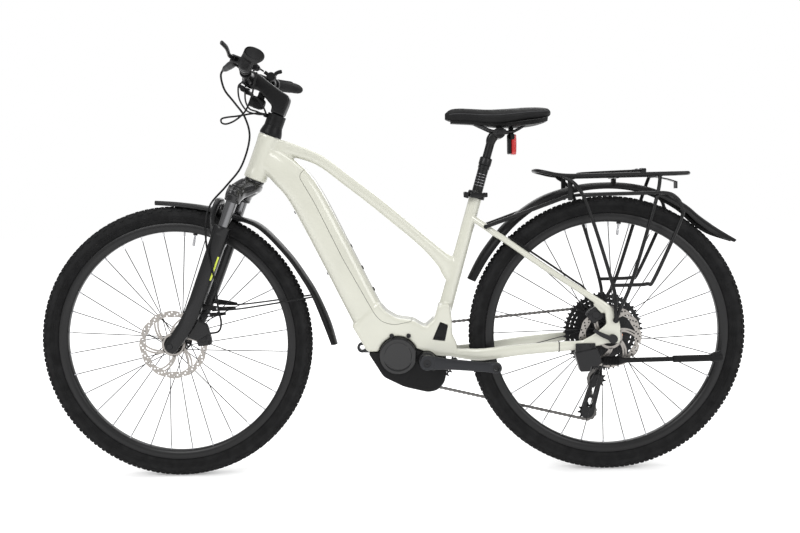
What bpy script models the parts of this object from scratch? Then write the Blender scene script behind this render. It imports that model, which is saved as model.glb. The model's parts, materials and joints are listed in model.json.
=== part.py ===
"""Electric hybrid bicycle with suspension fork, rack, mudguards, kickstand and lights."""

import math

import bmesh
import bpy
from mathutils import Vector

for old in list(bpy.data.objects):
    bpy.data.objects.remove(old, do_unlink=True)

# Main dimensions, metres. Front is -X, the left side is -Y, the ground is Z = 0
WHEELBASE = 1.135
WHEEL_RADIUS = 0.361
TYRE_WIDTH = 0.050
RIM_EDGE_RADIUS = 0.3168
RIM_DEPTH = 0.0228
RIM_INNER_RADIUS = RIM_EDGE_RADIUS - RIM_DEPTH
RIM_WIDTH = 0.027
WHEEL_SIDES = 24
SPOKES_PER_SIDE = 16
HEAD_LEAN = math.radians(21.5)
FORK_OFFSET = 0.051
FORK_TRAVEL = 0.063
SEAT_LEAN = math.atan(0.2928)
BAR_HALF = 0.320
CRANK_LENGTH = 0.1775
CRANK_ANGLE = math.radians(-5.2)
CHAIN_PITCH = 0.0127
CHAINRING_TEETH = 40
COG_TEETH = (51, 45, 39, 33, 28, 24, 21, 18, 15, 13, 11)
CHAIN_COG = 3
COG_SPACING = 0.0037
PULLEY_TEETH = 11
CHAIN_Y = 0.0443
FRONT_ROTOR_RADIUS = 0.090
REAR_ROTOR_RADIUS = 0.080
ROTOR_HALF = 0.0009
ROTOR_TRACK = 0.0155
FRONT_HALF_SPACE = 0.055
REAR_HALF_SPACE = 0.0745
GAP = 0.0003

# Points that the rest is placed from
FRONT_AXLE = Vector((-WHEELBASE / 2, 0, WHEEL_RADIUS))
REAR_AXLE = Vector((WHEELBASE / 2, 0, WHEEL_RADIUS))
STEER_UP = Vector((math.sin(HEAD_LEAN), 0, math.cos(HEAD_LEAN)))
STEER_AHEAD = Vector((-math.cos(HEAD_LEAN), 0, math.sin(HEAD_LEAN)))
STEER_BASE = FRONT_AXLE - STEER_AHEAD * FORK_OFFSET
SEAT_UP = Vector((math.sin(SEAT_LEAN), 0, math.cos(SEAT_LEAN)))
SEAT_TOP = Vector((0.2365, 0, 0.742))
CRANK_AXLE = Vector((0.096, 0, 0.306))
GUIDE_PULLEY = REAR_AXLE + Vector((-0.015, 0, -0.132))
TENSION_PULLEY = REAR_AXLE + Vector((-0.0405, 0, -0.220))
HANGER = REAR_AXLE + Vector((0.0135, 0, -0.034))
X, Y, Z = Vector((1, 0, 0)), Vector((0, 1, 0)), Vector((0, 0, 1))


def steer(ahead, y, up):
    """Point in the steering frame: ahead of the steering axis, sideways, up along it."""
    return STEER_BASE + STEER_AHEAD * ahead + STEER_UP * up + Y * y


def seat(along, y=0.0, behind=0.0):
    """Point on the seat-tube axis, measured up from the top of the seat tube."""
    return SEAT_TOP + SEAT_UP * along + SEAT_UP.cross(Y) * -behind + Y * y


def side(a, b, depth):
    return Vector((a, depth, b))


def steered(a, b, depth):
    return steer(a, depth, b)


def mirrored(piece):
    verts, faces = piece
    return [Vector((v[0], -v[1], v[2])) for v in verts], [tuple(reversed(f)) for f in faces]


def both(piece):
    return [piece, mirrored(piece)]


def loft(rings, closed=False):
    """Skin over rings of equal length, with flat ends unless it closes on itself."""
    count = len(rings[0])
    verts = [point for ring in rings for point in ring]
    faces = []
    for i in range(len(rings) if closed else len(rings) - 1):
        low, high = i * count, (i + 1) % len(rings) * count
        for j in range(count):
            k = (j + 1) % count
            faces.append((low + j, low + k, high + k, high + j))
    if not closed:
        faces.append(tuple(range(count - 1, -1, -1)))
        faces.append(tuple(range(len(verts) - count, len(verts))))
    return verts, faces


def inset(outline, distance):
    """Outline moved inwards by distance, or outwards where it is negative."""
    area = sum(a[0] * b[1] - b[0] * a[1] for a, b in zip(outline, outline[1:] + outline[:1]))
    turn = 1 if area > 0 else -1
    moved = []
    for i, here in enumerate(outline):
        back, on = outline[i - 1], outline[(i + 1) % len(outline)]
        one = Vector((here[0] - back[0], here[1] - back[1])).normalized()
        two = Vector((on[0] - here[0], on[1] - here[1])).normalized()
        one, two = Vector((-one.y, one.x)) * turn, Vector((-two.y, two.x)) * turn
        middle = (one + two).normalized()
        reach = distance / max(middle.dot(one), 0.35)
        moved.append((here[0] + middle.x * reach, here[1] + middle.y * reach))
    return moved


def extrude(outline, near, far, place=side, bevel=0.0):
    """Flat outline given depth from near to far, with its edges bevelled where asked."""
    if not bevel:
        return loft([[place(a, b, depth) for a, b in outline] for depth in (near, far)])
    small = inset(outline, bevel)
    step = bevel if far > near else -bevel
    levels = ((small, near), (outline, near + step), (outline, far - step), (small, far))
    return loft([[place(a, b, depth) for a, b in shape] for shape, depth in levels])


def refined(values, steps, closed=False):
    """Smooth curve through rows of numbers, with steps pieces between two of them."""
    if steps < 2:
        return [list(row) for row in values]
    count = len(values)
    result = []
    for i in range(count if closed else count - 1):
        if closed:
            rows = [values[(i + k) % count] for k in (-1, 0, 1, 2)]
        else:
            rows = [values[min(max(i + k, 0), count - 1)] for k in (-1, 0, 1, 2)]
        for step in range(steps):
            t = step / steps
            row = []
            for a, b, c, d in zip(*rows):
                curve = 2 * b + (c - a) * t + (2 * a - 5 * b + 4 * c - d) * t * t
                row.append((curve + (3 * b - a - 3 * c + d) * t ** 3) / 2)
            result.append(row)
    if not closed:
        result.append(list(values[-1]))
    return result


def tube(points, radius, sides=8, steps=0, closed=False):
    """Round bar along points; radius is one number or one for each point."""
    sizes = radius if isinstance(radius, (list, tuple)) else [radius] * len(points)
    rows = refined([(*point, size) for point, size in zip(points, sizes)], steps, closed)
    path = [Vector(row[:3]) for row in rows]
    count = len(path)
    runs = []
    for i in range(count):
        if closed:
            runs.append((path[(i + 1) % count] - path[i - 1]).normalized())
        else:
            runs.append((path[min(i + 1, count - 1)] - path[max(i - 1, 0)]).normalized())
    start = Z if abs(runs[0].z) < 0.9 else X
    across = (start - runs[0] * start.dot(runs[0])).normalized()
    rings = []
    for point, run, row in zip(path, runs, rows):
        across = (across - run * across.dot(run)).normalized()
        other = run.cross(across)
        rings.append([
            point + (across * math.cos(a) + other * math.sin(a)) * row[3]
            for a in (2 * math.pi * k / sides for k in range(sides))
        ])
    return loft(rings, closed)


def beam(stations, sides=12, square=0.7, steps=0, across=Y):
    """Bar with a rounded box section; a station is x, y, z, width across and depth."""
    rows = refined(stations, steps)
    path = [Vector(row[:3]) for row in rows]
    rings = []
    for i, point in enumerate(path):
        run = (path[min(i + 1, len(path) - 1)] - path[max(i - 1, 0)]).normalized()
        wide = (across - run * across.dot(run)).normalized()
        deep = run.cross(wide)
        ring = []
        for k in range(sides):
            angle = 2 * math.pi * (k + 0.5) / sides
            c, s = math.cos(angle), math.sin(angle)
            a = math.copysign(abs(c) ** square, c) * rows[i][3] / 2
            b = math.copysign(abs(s) ** square, s) * rows[i][4] / 2
            ring.append(point + wide * a + deep * b)
        rings.append(ring)
    return loft(rings)


def steer_beam(stations, **options):
    """Beam whose stations are given in the steering frame: ahead, y, up, width, depth."""
    return beam([(*steer(*row[:3]), *row[3:]) for row in stations], **options)


def round_axes(axis):
    reference = Z if abs(axis.z) < 0.9 else X
    one = (reference - axis * reference.dot(axis)).normalized()
    return one, axis.cross(one)


def turned(profile, start, axis, sides=16, phase=0.0):
    """Solid of revolution; profile is (along, radius) from one flat end to the other."""
    one, two = round_axes(axis)
    angles = [2 * math.pi * k / sides + phase for k in range(sides)]
    return loft([
        [start + axis * along + (one * math.cos(a) + two * math.sin(a)) * radius for a in angles]
        for along, radius in profile
    ])


def ringed(section, start, axis, sides=24, phase=0.0, true_flats=False):
    """Ring with a closed (along, radius) section round an axis."""
    one, two = round_axes(axis)
    grow = 1 / math.cos(math.pi / sides) if true_flats else 1.0
    rings = []
    for k in range(sides):
        angle = 2 * math.pi * (k + 0.5 * true_flats) / sides + phase
        out = one * math.cos(angle) + two * math.sin(angle)
        rings.append([start + axis * along + out * radius * grow for along, radius in section])
    return loft(rings, closed=True)


def rod(start, end, radius, sides=12):
    start, end = Vector(start), Vector(end)
    return turned(((0, radius), ((end - start).length, radius)), start, (end - start).normalized(), sides)


def across_rod(point, near, far, radius, sides=16):
    """Cylinder along Y through a point given in the side view."""
    return rod((point[0], near, point[2]), (point[0], far, point[2]), radius, sides)


def block(low, high, bevel=0.0):
    outline = [(low[0], low[2]), (high[0], low[2]), (high[0], high[2]), (low[0], high[2])]
    return extrude(outline, low[1], high[1], bevel=bevel)


def steer_block(low, high, bevel=0.0):
    outline = [(low[0], low[2]), (high[0], low[2]), (high[0], high[2]), (low[0], high[2])]
    return extrude(outline, low[1], high[1], steered, bevel)


def polar(centre, radius, degrees):
    """Side-view point at an angle from the rear (+X), turning upwards."""
    angle = math.radians(degrees)
    return centre[0] + radius * math.cos(angle), centre[1] + radius * math.sin(angle)


# Surface finishes: colour, roughness, metallic
PAINT = ((0.60, 0.60, 0.53), 0.25, 0.0)
BLACK_PAINT = ((0.018, 0.018, 0.02), 0.30, 0.0)
PLASTIC = ((0.025, 0.025, 0.027), 0.50, 0.0)
RUBBER = ((0.030, 0.029, 0.028), 0.80, 0.0)
GRIP_RUBBER = ((0.070, 0.068, 0.064), 0.75, 0.0)
DARK_ALLOY = ((0.035, 0.035, 0.038), 0.38, 0.6)
STEEL = ((0.55, 0.54, 0.52), 0.30, 1.0)
CHAIN_STEEL = ((0.16, 0.15, 0.14), 0.35, 1.0)
RED_LENS = ((0.55, 0.03, 0.02), 0.20, 0.0)


def mesh_object(name, piece):
    """Object from one closed piece, its faces turned outwards."""
    mesh = bpy.data.meshes.new(name)
    mesh.from_pydata([tuple(v) for v in piece[0]], [], piece[1])
    shape = bmesh.new()
    shape.from_mesh(mesh)
    bmesh.ops.recalc_face_normals(shape, faces=shape.faces)
    shape.to_mesh(mesh)
    shape.free()
    obj = bpy.data.objects.new(name, mesh)
    bpy.context.scene.collection.objects.link(obj)
    return obj


def combine(obj, operation, pieces):
    """Boolean of the object with closed pieces, made into its mesh."""
    helpers = bpy.data.collections.new("helpers")
    bpy.context.scene.collection.children.link(helpers)
    for piece in pieces:
        helper = mesh_object("helper", piece)
        bpy.context.scene.collection.objects.unlink(helper)
        helpers.objects.link(helper)
    modifier = obj.modifiers.new(operation, "BOOLEAN")
    modifier.operation = operation
    modifier.solver = "EXACT"
    modifier.operand_type = "COLLECTION"
    modifier.collection = helpers
    bpy.context.view_layer.update()
    graph = bpy.context.evaluated_depsgraph_get()
    made = bpy.data.meshes.new_from_object(obj.evaluated_get(graph))
    obj.modifiers.clear()
    obj.data = made
    for helper in list(helpers.objects):
        bpy.data.objects.remove(helper, do_unlink=True)
    bpy.data.collections.remove(helpers)


def solid(name, look, pieces, cuts=(), keep=(), pins=(), pivot=None):
    """Named sub-part: pieces joined, cuts taken out, pins added, and its origin put on its pivot."""
    obj = mesh_object(name, pieces[0])
    if len(pieces) > 1:
        combine(obj, "UNION", pieces[1:])
    if keep:
        combine(obj, "INTERSECT", keep)
    if cuts:
        combine(obj, "DIFFERENCE", cuts)
    if pins:
        combine(obj, "UNION", pins)
    shape = bmesh.new()
    shape.from_mesh(obj.data)
    bmesh.ops.remove_doubles(shape, verts=shape.verts, dist=1e-6)
    bmesh.ops.dissolve_limit(shape, angle_limit=math.radians(0.4), verts=shape.verts, edges=shape.edges)
    if pivot is not None:
        bmesh.ops.translate(shape, verts=shape.verts, vec=-Vector(pivot))
        obj.location = pivot
    shape.to_mesh(obj.data)
    shape.free()
    obj.data.name = name
    obj.data.shade_smooth()
    obj.data.set_sharp_from_angle(angle=math.radians(32))
    colour, roughness, metallic = look
    material = bpy.data.materials.new(name)
    material.use_nodes = True
    shader = material.node_tree.nodes["Principled BSDF"]
    shader.inputs["Base Color"].default_value = (*colour, 1.0)
    shader.inputs["Roughness"].default_value = roughness
    shader.inputs["Metallic"].default_value = metallic
    obj.data.materials.clear()
    obj.data.materials.append(material)
    return obj


# Wheels: tyre, rim with its valve, hub with spokes, brake rotor
VALVE_LENGTH = 0.032


def tyre(name, axle):
    half = TYRE_WIDTH / 2
    crown, bead = WHEEL_RADIUS, RIM_EDGE_RADIUS - 0.0038
    grip = RIM_WIDTH / 2 - 0.0022 - GAP
    rise = crown - RIM_EDGE_RADIUS
    outer = [(grip, bead), (grip, RIM_EDGE_RADIUS + 0.0012), (half - 0.0003, crown - 0.543 * rise)]
    outer += [(half - 0.0075, crown - 0.102 * rise), (0.006, crown)]
    inner = [(half - 0.0065, crown - 0.385 * rise), (grip - 0.003, bead)]
    left = [(-y, r) for y, r in outer]
    section = left + outer[::-1] + inner[::-1] + [(-y, r) for y, r in inner]
    piece = ringed(section, axle, Y, WHEEL_SIDES, true_flats=True)
    return solid(name, RUBBER, [piece], pivot=axle)


def rim(name, axle, valve_degrees):
    half, wall = RIM_WIDTH / 2, 0.0022
    right = [(0.0065, RIM_INNER_RADIUS), (half, RIM_INNER_RADIUS + 0.0095)]
    right += [(half, RIM_EDGE_RADIUS), (half - wall, RIM_EDGE_RADIUS)]
    right += [(half - wall, RIM_EDGE_RADIUS - 0.0044)]
    section = right + [(-y, r) for y, r in right[::-1]]
    x, z = polar((axle.x, axle.z), 1.0, valve_degrees)
    out = Vector((x, 0, z)) - axle
    valve_foot = axle + out * (RIM_INNER_RADIUS + 0.004)
    valve = rod(axle + out * (RIM_INNER_RADIUS - VALVE_LENGTH), valve_foot, 0.0032, 6)
    ring = ringed(section, axle, Y, WHEEL_SIDES, true_flats=True)
    return solid(name, BLACK_PAINT, [ring, valve], pivot=axle)


def hub(name, axle, profile, bore, flanges, first_degrees):
    """Turned hub shell with a bore, and spokes that stop just short of the rim."""
    section = list(profile) + [(profile[-1][0], bore), (profile[0][0], bore)]
    pieces = [ringed(section, axle, Y, 10)]
    reach = RIM_INNER_RADIUS - GAP
    step = 360 / SPOKES_PER_SIDE
    for side_sign, flange in zip((-1, 1), flanges):
        for k in range(SPOKES_PER_SIDE):
            lay = 1 if k % 2 else -1
            at_rim = first_degrees + step * (k + 0.5 * (side_sign > 0))
            x0, z0 = polar((axle.x, axle.z), 0.0265, at_rim + 36 * lay)
            x1, z1 = polar((axle.x, axle.z), reach, at_rim)
            start = (x0, flange + side_sign * 0.0012 * lay, z0)
            end = (x1, side_sign * (0.0026 + 0.0013 * lay), z1)
            pieces.append(tube([start, end], 0.00115, 3))
    return solid(name, DARK_ALLOY, pieces, pivot=axle)


def rotor(name, axle, y, radius):
    centre = axle + Y * y
    half = ROTOR_HALF
    track = radius - ROTOR_TRACK
    ring = [(-half, track), (half, track), (half, radius), (-half, radius)]
    carrier = [(-half, 0.0174), (half, 0.0174), (half, 0.031), (-half, 0.031)]
    pieces = [ringed(ring, centre, Y, 18), ringed(carrier, centre, Y, 10)]
    for k in range(5):
        x0, z0 = polar((axle.x, axle.z), 0.027, 72 * k)
        x1, z1 = polar((axle.x, axle.z), track + 0.0035, 72 * k + 24)
        start, end = Vector((x0, y, z0)), Vector((x1, y, z1))
        across = (end - start).cross(Y).normalized() * 0.0045
        outline = [start - across, start + across, end + across, end - across]
        pieces.append(extrude([(p.x, p.z) for p in outline], y - half, y + half))
    return solid(name, STEEL, pieces, pivot=centre)


FRONT_ROTOR_Y = -0.0445
REAR_ROTOR_Y = -0.0585
FRONT_HUB_END = FRONT_HALF_SPACE - GAP
REAR_HUB_END = REAR_HALF_SPACE - GAP
front_profile = [(-FRONT_HUB_END, 0.0105), (-0.0490, 0.0105), (-0.0490, 0.0165), (-0.0385, 0.0165)]
front_profile += [(-0.0240, 0.0135), (-0.0240, 0.0290), (-0.0195, 0.0290), (-0.0150, 0.0135)]
front_profile += [(0.0230, 0.0135), (0.0275, 0.0290), (0.0320, 0.0290), (0.0320, 0.0135)]
front_profile += [(FRONT_HUB_END, 0.0105)]
rear_profile = [(-REAR_HUB_END, 0.0110), (-0.0640, 0.0110), (-0.0640, 0.0165), (-0.0520, 0.0165)]
rear_profile += [(-0.0290, 0.0150), (-0.0290, 0.0300), (-0.0245, 0.0300), (-0.0190, 0.0165)]
rear_profile += [(0.0160, 0.0165), (0.0200, 0.0300), (0.0245, 0.0300), (0.0245, 0.0160)]
rear_profile += [(0.0290, 0.0120), (REAR_HUB_END, 0.0120)]

tyre("tyre_front", FRONT_AXLE)
tyre("tyre_rear", REAR_AXLE)
rim("rim_front", FRONT_AXLE, 78.3)
rim("rim_rear", REAR_AXLE, 83.0)
hub("hub_spokes_front", FRONT_AXLE, front_profile, 0.0080, (-0.02175, 0.02975), 83.9)
hub("hub_spokes_rear", REAR_AXLE, rear_profile, 0.0080, (-0.02675, 0.02225), 88.6)
rotor("rotor_front", FRONT_AXLE, FRONT_ROTOR_Y, FRONT_ROTOR_RADIUS)
rotor("rotor_rear", REAR_AXLE, REAR_ROTOR_Y, REAR_ROTOR_RADIUS)


# Chain drive. Every toothed wheel runs in the groove between the chain's side plates
def pitch_radius(teeth):
    return CHAIN_PITCH / 2 / math.sin(math.pi / teeth)


TOOTH_DROP = 0.0024
TOOTH_HALF = 0.0008
CHAIN_PLATE = (0.0014, 0.0024)
CHAIN_HALF_HEIGHT = 0.0040
CHAIN_WEB = 0.0012


def cassette():
    """Stepped stack of cogs, largest on the spoke side, with a bore round the hub."""
    radii = [pitch_radius(teeth) - TOOTH_DROP for teeth in COG_TEETH]
    levels = [CHAIN_Y + (k - CHAIN_COG) * COG_SPACING for k in range(len(COG_TEETH))]
    section = [(levels[0] - TOOTH_HALF, 0.0130)]
    for k, (y, radius) in enumerate(zip(levels, radii)):
        if k <= CHAIN_COG:
            section += [(y - TOOTH_HALF, radius), (y + TOOTH_HALF, radius)]
            if k < CHAIN_COG:
                core = radii[k + 1] - 0.0045
                section += [(y + TOOTH_HALF, core), (levels[k + 1] - TOOTH_HALF, core)]
        else:
            section += [(levels[k - 1] + TOOTH_HALF, radius), (y + TOOTH_HALF, radius)]
    section.append((levels[-1] + TOOTH_HALF, 0.0130))
    return solid("cassette", STEEL, [ringed(section, REAR_AXLE, Y, 10)], pivot=REAR_AXLE)


def pulley(name, centre):
    centre = centre + Y * CHAIN_Y
    rim_radius = pitch_radius(PULLEY_TEETH) - TOOTH_DROP
    section = [(-0.0024, 0.0036), (-0.0024, 0.0110), (-TOOTH_HALF, 0.0135), (-TOOTH_HALF, rim_radius)]
    section += [(-along, radius) for along, radius in section[::-1]]
    return solid(name, PLASTIC, [ringed(section, centre, Y, 8)], pivot=centre)


def chain():
    """Closed band along the outer tangents of the toothed wheels, grooved on both edges."""
    wheels = [
        (CRANK_AXLE, pitch_radius(CHAINRING_TEETH), 1),
        (REAR_AXLE, pitch_radius(COG_TEETH[CHAIN_COG]), 1),
        (GUIDE_PULLEY, pitch_radius(PULLEY_TEETH), -1),
        (TENSION_PULLEY, pitch_radius(PULLEY_TEETH), 1),
    ]
    headings = []
    for k, (centre, radius, turn) in enumerate(wheels):
        other, far_radius, far_turn = wheels[(k + 1) % len(wheels)]
        run = other - centre
        bend = math.asin((far_turn * far_radius - turn * radius) / math.hypot(run.x, run.z))
        headings.append(math.atan2(run.z, run.x) + bend)
    (n, d), (a, b), h = (CHAIN_HALF_HEIGHT, CHAIN_WEB), CHAIN_PLATE, []
    outline = [(n, -b), (n, -a), (d, -a), (d, a), (n, a), (n, b)]
    outline += [(-out, -y) for out, y in outline]
    for k, (centre, radius, turn) in enumerate(wheels):
        start, end = headings[k - 1], headings[k]
        sweep = (start - end) * turn % (2 * math.pi)
        stride = 16 if radius > 0.075 else 19 if radius > 0.05 else 27
        pieces = max(3, round(math.degrees(sweep) / stride))
        for step in range(pieces + 1):
            heading = start - turn * sweep * step / pieces
            left = Vector((-math.sin(heading), 0, math.cos(heading)))
            point = centre + left * radius * turn + Y * CHAIN_Y
            h.append([point + left * out + Y * y for out, y in outline])
    return solid("chain", CHAIN_STEEL, [loft(h, closed=True)])


cassette()
pulley("guide_pulley", GUIDE_PULLEY)
pulley("tension_pulley", TENSION_PULLEY)
chain()


# Cranks: the left arm carries the spindle, the right arm the chainring
SPINDLE_RADIUS = 0.0095


def crank_arm(direction, sign):
    """Arm, axle boss and pedal eye; sign is the side of the bike it is on."""
    def at(along, y):
        return CRANK_AXLE + direction * along + Y * (y * sign)

    stations = [(*at(0, 0.0725), 0.016, 0.036), (*at(0.045, 0.0735), 0.015, 0.030)]
    stations += [(*at(0.110, 0.0760), 0.014, 0.026), (*at(CRANK_LENGTH, 0.0785), 0.014, 0.024)]
    arm = beam(stations, 6, 0.6)
    boss = rod(at(0, 0.0615), at(0, 0.0840), 0.0200, 12)
    eye = rod(at(CRANK_LENGTH, 0.0710), at(CRANK_LENGTH, 0.0860), 0.0145, 10)
    pedal_hole = rod(at(CRANK_LENGTH, 0.060), at(CRANK_LENGTH, 0.095), 0.0071, 6)
    return [arm, boss, eye], pedal_hole


back = Vector((math.cos(CRANK_ANGLE), 0, math.sin(CRANK_ANGLE)))
pieces, hole = crank_arm(back, -1)
spindle = across_rod(CRANK_AXLE, -0.070, 0.0745, SPINDLE_RADIUS, 12)
solid("crank_arm_left", DARK_ALLOY, pieces + [spindle], [hole], pivot=CRANK_AXLE)

pieces, hole = crank_arm(-back, 1)
ring_radius = pitch_radius(CHAINRING_TEETH) - TOOTH_DROP
ring_section = [(-TOOTH_HALF, ring_radius), (TOOTH_HALF, ring_radius)]
ring_section += [(TOOTH_HALF, ring_radius - 0.0050), (0.0022, ring_radius - 0.0070), (0.0022, 0.0600)]
ring_section += [(-0.0010, 0.0600), (-0.0010, ring_radius - 0.0070), (-TOOTH_HALF, ring_radius - 0.0050)]
pieces.append(ringed(ring_section, CRANK_AXLE + Y * CHAIN_Y, Y, 20))
for k in range(4):
    x, z = polar((0, 0), 1.0, 45 + 90 * k)
    out = Vector((x, 0, z))
    stations = [(*(CRANK_AXLE + out * 0.008 + Y * 0.0655), 0.0075, 0.024)]
    stations += [(*(CRANK_AXLE + out * 0.040 + Y * 0.0540), 0.0060, 0.016)]
    stations += [(*(CRANK_AXLE + out * 0.066 + Y * 0.0455), 0.0040, 0.013)]
    pieces.append(beam(stations, 4, 1.0))
socket = across_rod(CRANK_AXLE, 0.030, 0.0750, SPINDLE_RADIUS + GAP * 1.5, 12)
solid("crank_arm_right", DARK_ALLOY, pieces, [hole, socket], pivot=CRANK_AXLE)


# Derailleur: body on the hanger, cage that swings round the guide pulley's axle
CAGE_OUTER_Y = CHAIN_Y + 0.0052
CAGE_INNER_Y = CHAIN_Y - 0.0052
CAGE_PLATE = 0.0018
BOLT_RADIUS = 0.0031

down = (TENSION_PULLEY - GUIDE_PULLEY).normalized()
off = down.cross(Y)
cage_outline = []
cage_ends = ((GUIDE_PULLEY, 0.0125, range(180, 361, 60)), (TENSION_PULLEY, 0.0165, range(0, 181, 60)))
for centre, radius, angles in cage_ends:
    for angle in angles:
        a = math.radians(angle)
        p = centre + off * math.cos(a) * radius + down * math.sin(a) * radius
        cage_outline.append((p.x, p.z))
outer_plate = extrude(cage_outline, CAGE_OUTER_Y, CAGE_OUTER_Y + CAGE_PLATE)
inner_plate = extrude(cage_outline, CAGE_INNER_Y, CAGE_INNER_Y - CAGE_PLATE)
bolts = [
    across_rod(p, CAGE_INNER_Y - CAGE_PLATE - 0.0008, CAGE_OUTER_Y + CAGE_PLATE + 0.0003, BOLT_RADIUS, 8)
    for p in (GUIDE_PULLEY, TENSION_PULLEY)
]
pivot = GUIDE_PULLEY + Y * CAGE_OUTER_Y
solid("derailleur_cage", DARK_ALLOY, [outer_plate, inner_plate, *bolts], pivot=pivot)

KNUCKLE_Y = CAGE_OUTER_Y + CAGE_PLATE + 2 * GAP
knuckle = across_rod(GUIDE_PULLEY, KNUCKLE_Y, 0.0760, 0.0195, 14)
upper_knuckle = across_rod(HANGER, REAR_HALF_SPACE + 0.0080 + GAP, 0.0975, 0.0125, 12)
links = [(GUIDE_PULLEY.x, 0.0640, GUIDE_PULLEY.z, 0.022, 0.030)]
links += [(0.566, 0.0848, 0.280, 0.016, 0.028), (HANGER.x, 0.0912, HANGER.z, 0.011, 0.020)]
solid("derailleur_body", DARK_ALLOY, [knuckle, upper_knuckle, beam(links, 8, 0.6)], pivot=HANGER)


# Frame
TUBE_HALF = 0.0380
CRADLE_HALF = 0.0392
CRADLE_WALL = 0.0070
MOTOR_CENTRE = (0.0203, 0.3189)
MOTOR_RADIUS = 0.058
COVER_RADIUS = 0.0490
HEAD_BORE = 0.0200
HEAD_LOW, HEAD_HIGH = 0.4770, 0.5990
POST_RADIUS = 0.01375
SEAT_BORE = POST_RADIUS + 2 * GAP
SEAT_TUBE_RADIUS = 0.0170
STAY_Y_AT_AXLE = 0.0793
DROPOUT_THICKNESS = 0.0095

top_tube = beam([
    (-0.318, 0, 0.876, 0.036, 0.046), (-0.275, 0, 0.869, 0.037, 0.041),
    (-0.240, 0, 0.860, 0.037, 0.036), (-0.172, 0, 0.832, 0.036, 0.031),
    (-0.094, 0, 0.7715, 0.035, 0.030), (-0.016, 0, 0.7085, 0.034, 0.031),
    (0.094, 0, 0.6125, 0.032, 0.031), (0.150, 0, 0.557, 0.031, 0.044),
    (0.172, 0, 0.5352, 0.030, 0.062),
], 8, 0.7)
down_tube = beam([
    (-0.322, 0, 0.850, 0.048, 0.055), (-0.300, 0, 0.834, 0.056, 0.068),
    (-0.262, 0, 0.802, 0.068, 0.083), (-0.215, 0, 0.745, 2 * TUBE_HALF, 0.088),
    (-0.139, 0, 0.594, 2 * TUBE_HALF, 0.088), (-0.088, 0, 0.487, 2 * TUBE_HALF, 0.088),
    (-0.052, 0, 0.414, 2 * TUBE_HALF, 0.090),
], 10, 0.55)
seat_tube = beam([
    (*seat(0), 0.0340, 0.0340), (*seat(-0.090), 0.0345, 0.0345),
    (*seat(-0.240), 0.0370, 0.0365), (*seat(-0.345), 0.0480, 0.0400),
], 10, 1.0)
head_tube = turned([
    (0, 0.0305), (0.012, 0.0305), (0.030, 0.0285), (0.095, 0.0285), (HEAD_HIGH - HEAD_LOW, 0.0300),
], steer(0, 0, HEAD_LOW), STEER_UP, 12)

cover_arc = [polar(MOTOR_CENTRE, COVER_RADIUS + 0.0020, a) for a in (169, 148, 124, 100, 75, 50, 32, 17)]
cradle_outline = [(-0.100, 0.400), (-0.0605, 0.3295), *cover_arc]
cradle_outline += [(0.0740, 0.3345), (0.1115, 0.3174), (0.1300, 0.3139), (0.172, 0.3135), (0.176, 0.345)]
cradle_outline += [(0.163, 0.372), (0.163, 0.415), (0.158, 0.452), (0.128, 0.450), (0.117, 0.415)]
cradle_outline += [(0.092, 0.392), (0.063, 0.4105), (0.020, 0.417), (-0.008, 0.434), (-0.028, 0.460)]
cradle = extrude(cradle_outline, -CRADLE_HALF, CRADLE_HALF, bevel=0.005)

seat_stay = beam([
    (0.212, -0.006, 0.681, 0.015, 0.018), (0.256, -0.028, 0.649, 0.016, 0.0175),
    (0.279, -0.0395, 0.632, 0.016, 0.0175),
    (0.310, -0.0440, 0.611, 0.016, 0.0175), (0.414, -0.0560, 0.536, 0.015, 0.0170),
    (0.505, -0.0735, 0.475, 0.012, 0.0175), (0.550, -STAY_Y_AT_AXLE, 0.443, 0.0095, 0.021),
    (0.566, -STAY_Y_AT_AXLE, 0.424, 0.0090, 0.024),
], 6, 0.9)
chain_stay = beam([
    (0.152, -0.0265, 0.3225, 0.020, 0.0180), (0.205, -0.0350, 0.3190, 0.0175, 0.0300),
    (0.245, -0.0430, 0.3190, 0.0175, 0.0330),
    (0.335, -0.0550, 0.3310, 0.0175, 0.0290), (0.432, -0.0670, 0.3400, 0.0165, 0.0270),
    (0.490, -0.0765, 0.3450, 0.0130, 0.0240), (0.525, -STAY_Y_AT_AXLE, 0.3560, 0.0092, 0.0270),
], 6, 0.75)
dropout_outline = [(0.490, 0.334), (0.527, 0.341), (0.556, 0.3485), (0.583, 0.347), (0.589, 0.354)]
dropout_outline += [(0.5885, 0.395), (0.582, 0.416), (0.568, 0.434), (0.552, 0.432), (0.550, 0.420)]
dropout_outline += [(0.5535, 0.398), (0.523, 0.373), (0.492, 0.357)]
dropout_out = REAR_HALF_SPACE + DROPOUT_THICKNESS
dropout = extrude(dropout_outline, -dropout_out, -REAR_HALF_SPACE, bevel=0.0012)
hanger_outline = [(0.566, 0.352), (0.568, 0.322), (0.575, 0.313)]
hanger_outline += [(0.588, 0.314), (0.594, 0.324), (0.586, 0.352)]
hanger = extrude(hanger_outline, REAR_HALF_SPACE + 0.0012, dropout_out - 0.0015)

# The battery cover is the upper part of the down tube, split along this line
cover_region = [(-0.225, 0.792), (-0.187, 0.725), (-0.116, 0.574), (-0.038, 0.429), (-0.020, 0.409)]
cover_region += [(0.012, 0.400), (0.0625, 0.4090), (0.063, 0.440), (0.020, 0.480), (-0.050, 0.600)]
cover_region += [(-0.130, 0.740), (-0.175, 0.800), (-0.203, 0.8205)]
TUBE_START = Vector((-0.215, 0, 0.745))
TUBE_RUN = Vector((0.4416, 0, -0.8972))
TUBE_FACE = Vector((0.8972, 0, 0.4416))


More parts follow.
